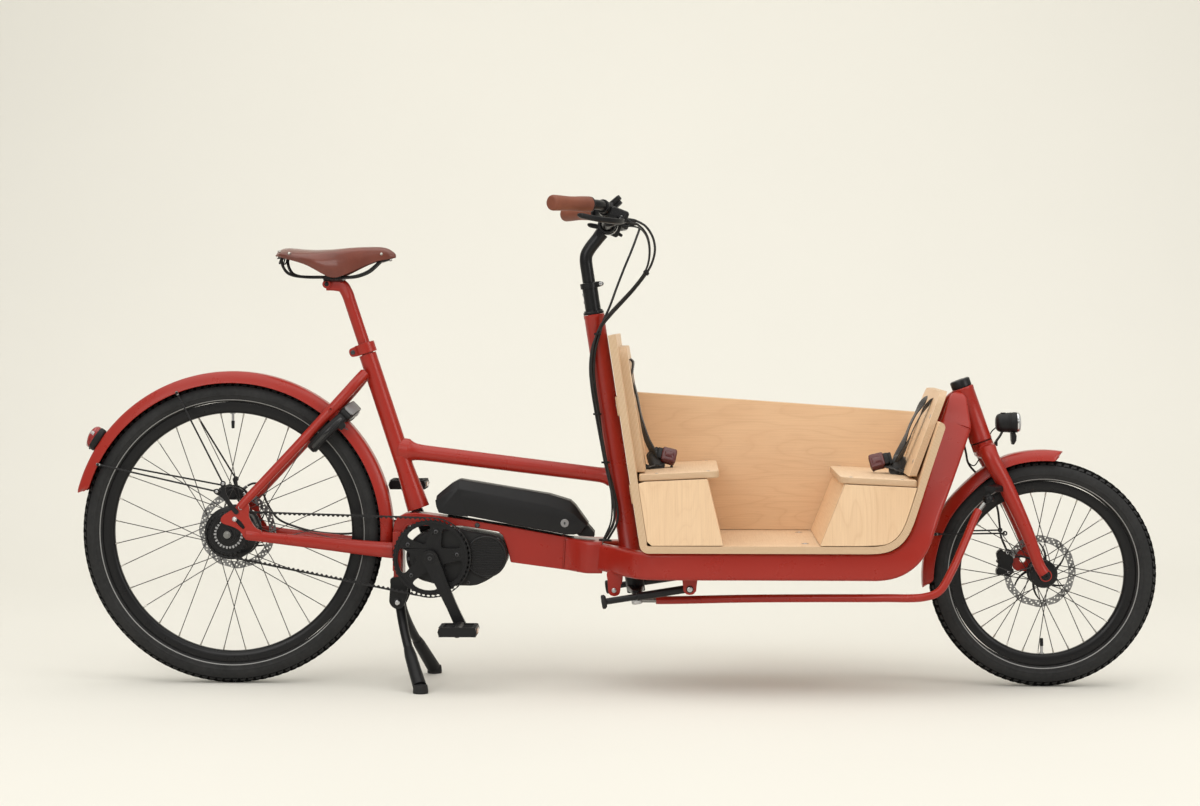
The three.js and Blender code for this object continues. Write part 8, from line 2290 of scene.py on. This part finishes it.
def buckle(B, c, ex, ey, ez, w=35, l=42, t=18.5):
    """buckle: a red shell open at one end, its black body and tongue, side keys"""
    m = at_axes(c, ex, ey, ez)
    def blk(x0, x1, y0, y1, z0, z1, r, mat, k=0.9, tap=1.0):
        cx_, cy_ = (x0 + x1) / 2, (y0 + y1) / 2
        q = rrect(x1 - x0, y1 - y0, r, 5)
        B.add(moved(loft([[(cx_ + a * s_ * (tap if b > 0 else 1), cy_ + b * s_, z) for a, b in q] for z, s_ in ((z0, k), (z0 + 1.4, 1), (z1 - 1.4, 1), (z1, k))]), m), mat)
    blk(-w / 2, w / 2, -l / 2, l / 2 - 9, -t / 2, t / 2, 5, BUCKLE_RED)
    blk(-w / 2 + 4, w / 2 - 4, -l / 2 - 0.9, -l / 2 + 6, -t / 2 + 4, t / 2 - 4, 2, PLASTIC)
    blk(-w / 2 + 3, w / 2 - 3, l / 2 - 13, l / 2 + 2, -t / 2 + 2.5, t / 2 - 2.5, 3.5, PLASTIC)
    blk(-8, 8, -l / 2 + 5, l / 2 - 15, t / 2 - 1.2, t / 2 + 0.9, 4.0, BUCKLE_RED, 0.86)
    for s in (-1, 1):
        blk(s * w / 2 - 2.2 if s > 0 else -w / 2 - 1.4, s * w / 2 + 1.4 if s > 0 else -w / 2 + 2.2, -l / 2 + 4, l / 2 - 13, -t / 2 + 4.5, t / 2 - 4.5, 1.2, BUCKLE_RED)
    # adjuster bar
    blk(-w / 2 + 2, w / 2 - 2, l / 2 + 1, l / 2 + 9, -t / 2 + 6, t / 2 - 6, 2.4, PLASTIC)

RX0, RX1 = rear_in(497), rear_in(774)
def rx(z): return RX0 + (RX1 - RX0) * (z - 497) / 277 + 18
def fxx(z): return FR0 + (FR1 - FR0) * (z - 489) / 187
def bench(name, side, line, pad, buck, seat, edge):
    """five-point harness on one bench; side is +1 where it hangs on the front of its backrest, -1 on the rear"""
    B = Build(name + '_detail')
    for s in (-1, 1):
        q = resample([V(x, s * abs(y), z) for x, y, z in line], 100)
        n = len(q)
        wd = np.array([unit(V(side * (0.10 + 0.62 * min(1, max(0, (i / n - 0.58) / 0.34)) + (0.42 * max(0, 1 - abs(i / n - 0.16) / 0.16) if side < 0 else 0)), 1.0 * s, 0)) for i in range(n)])
        strap(B, q, 24, 2.3, wd, WEB, uvo=0.4 * (s + 1), stitch=((150, 166),))
        # lap part, tucked between the seat board and the backrest
        lap = resample([V(buck[0] - side * 10, s * 12, seat + 17), V(pad[0] + side * 2, s * 25, seat + 6), V(pad[0] - side * 10, s * 33, seat + 4.4), V(edge + side * 9, s * 39, seat + 3.4), V(edge + side * 3.5, s * 42, seat + 1.5), V(edge - side * 0.5, s * 43, seat - 3)], 54)
        strap(B, lap, 24, 2.3, unit(V(side * 0.97, 0, 0.24)), WEB, uvo=2 + s)
    crotch = resample([V(buck[0] + side * 4, -4, buck[1] - 9), V(buck[0] + side * 10, -2, seat + 9), V(buck[0] + side * 12, 0, seat + 3.6), V(buck[0] + side * 8, 0, seat + 2.2)], 24)
    strap(B, crotch, 28, 2.4, V(0, 1, 0), WEB, uvo=5)
    ez = unit(V(side * 0.16, -0.80, 0.55))
    ey = V(side * -0.97, 0, 0.22)
    ey = unit(ey - ez * (ey @ ez))
    buckle(B, V(buck[0], -12, buck[1]), np.cross(ey, ez), ey, ez)
    B.done('frame', [name], sharp=55)
    for s, tag in ((-1, 'right'), (1, 'left')):
        c = V(pad[0] + (0 if s < 0 else -side * 3), s * 17 + (0 if s < 0 else 5), pad[1])
        nz = unit(V(side * 0.55, -0.62 if s < 0 else 0.62, 0.30))
        up_ = V(side * -0.20, 0, 1)
        up_ = unit(up_ - nz * (up_ @ nz))
        soft_pad('%s_pad_%s' % (name, tag), c, np.cross(up_, nz), up_, nz, 38, 46, 17, 'frame', 0.86, 4.0)

bench('rear_harness', 1, [(rx(745) - 9, 62, 747), (rx(745), 61.8, 744.5), (rx(738) + 6, 61.5, 738), (42, 59, 708), (54, 51, 655), (62.5, 44, 613), (76, 33, 562), (89, 24, 535), (94, 18, 520)], (97, 512), (121.5, 524.5), 497, rx(497))
bench('front_harness', -1, [(fxx(658) + 9, 62, 659), (fxx(656), 61.8, 656.5), (fxx(650) - 5, 61.2, 649), (683, 55, 599), (666, 44, 558), (651, 33, 526), (646, 24, 514)], (646, 503), (604, 513), 489, fxx(489))
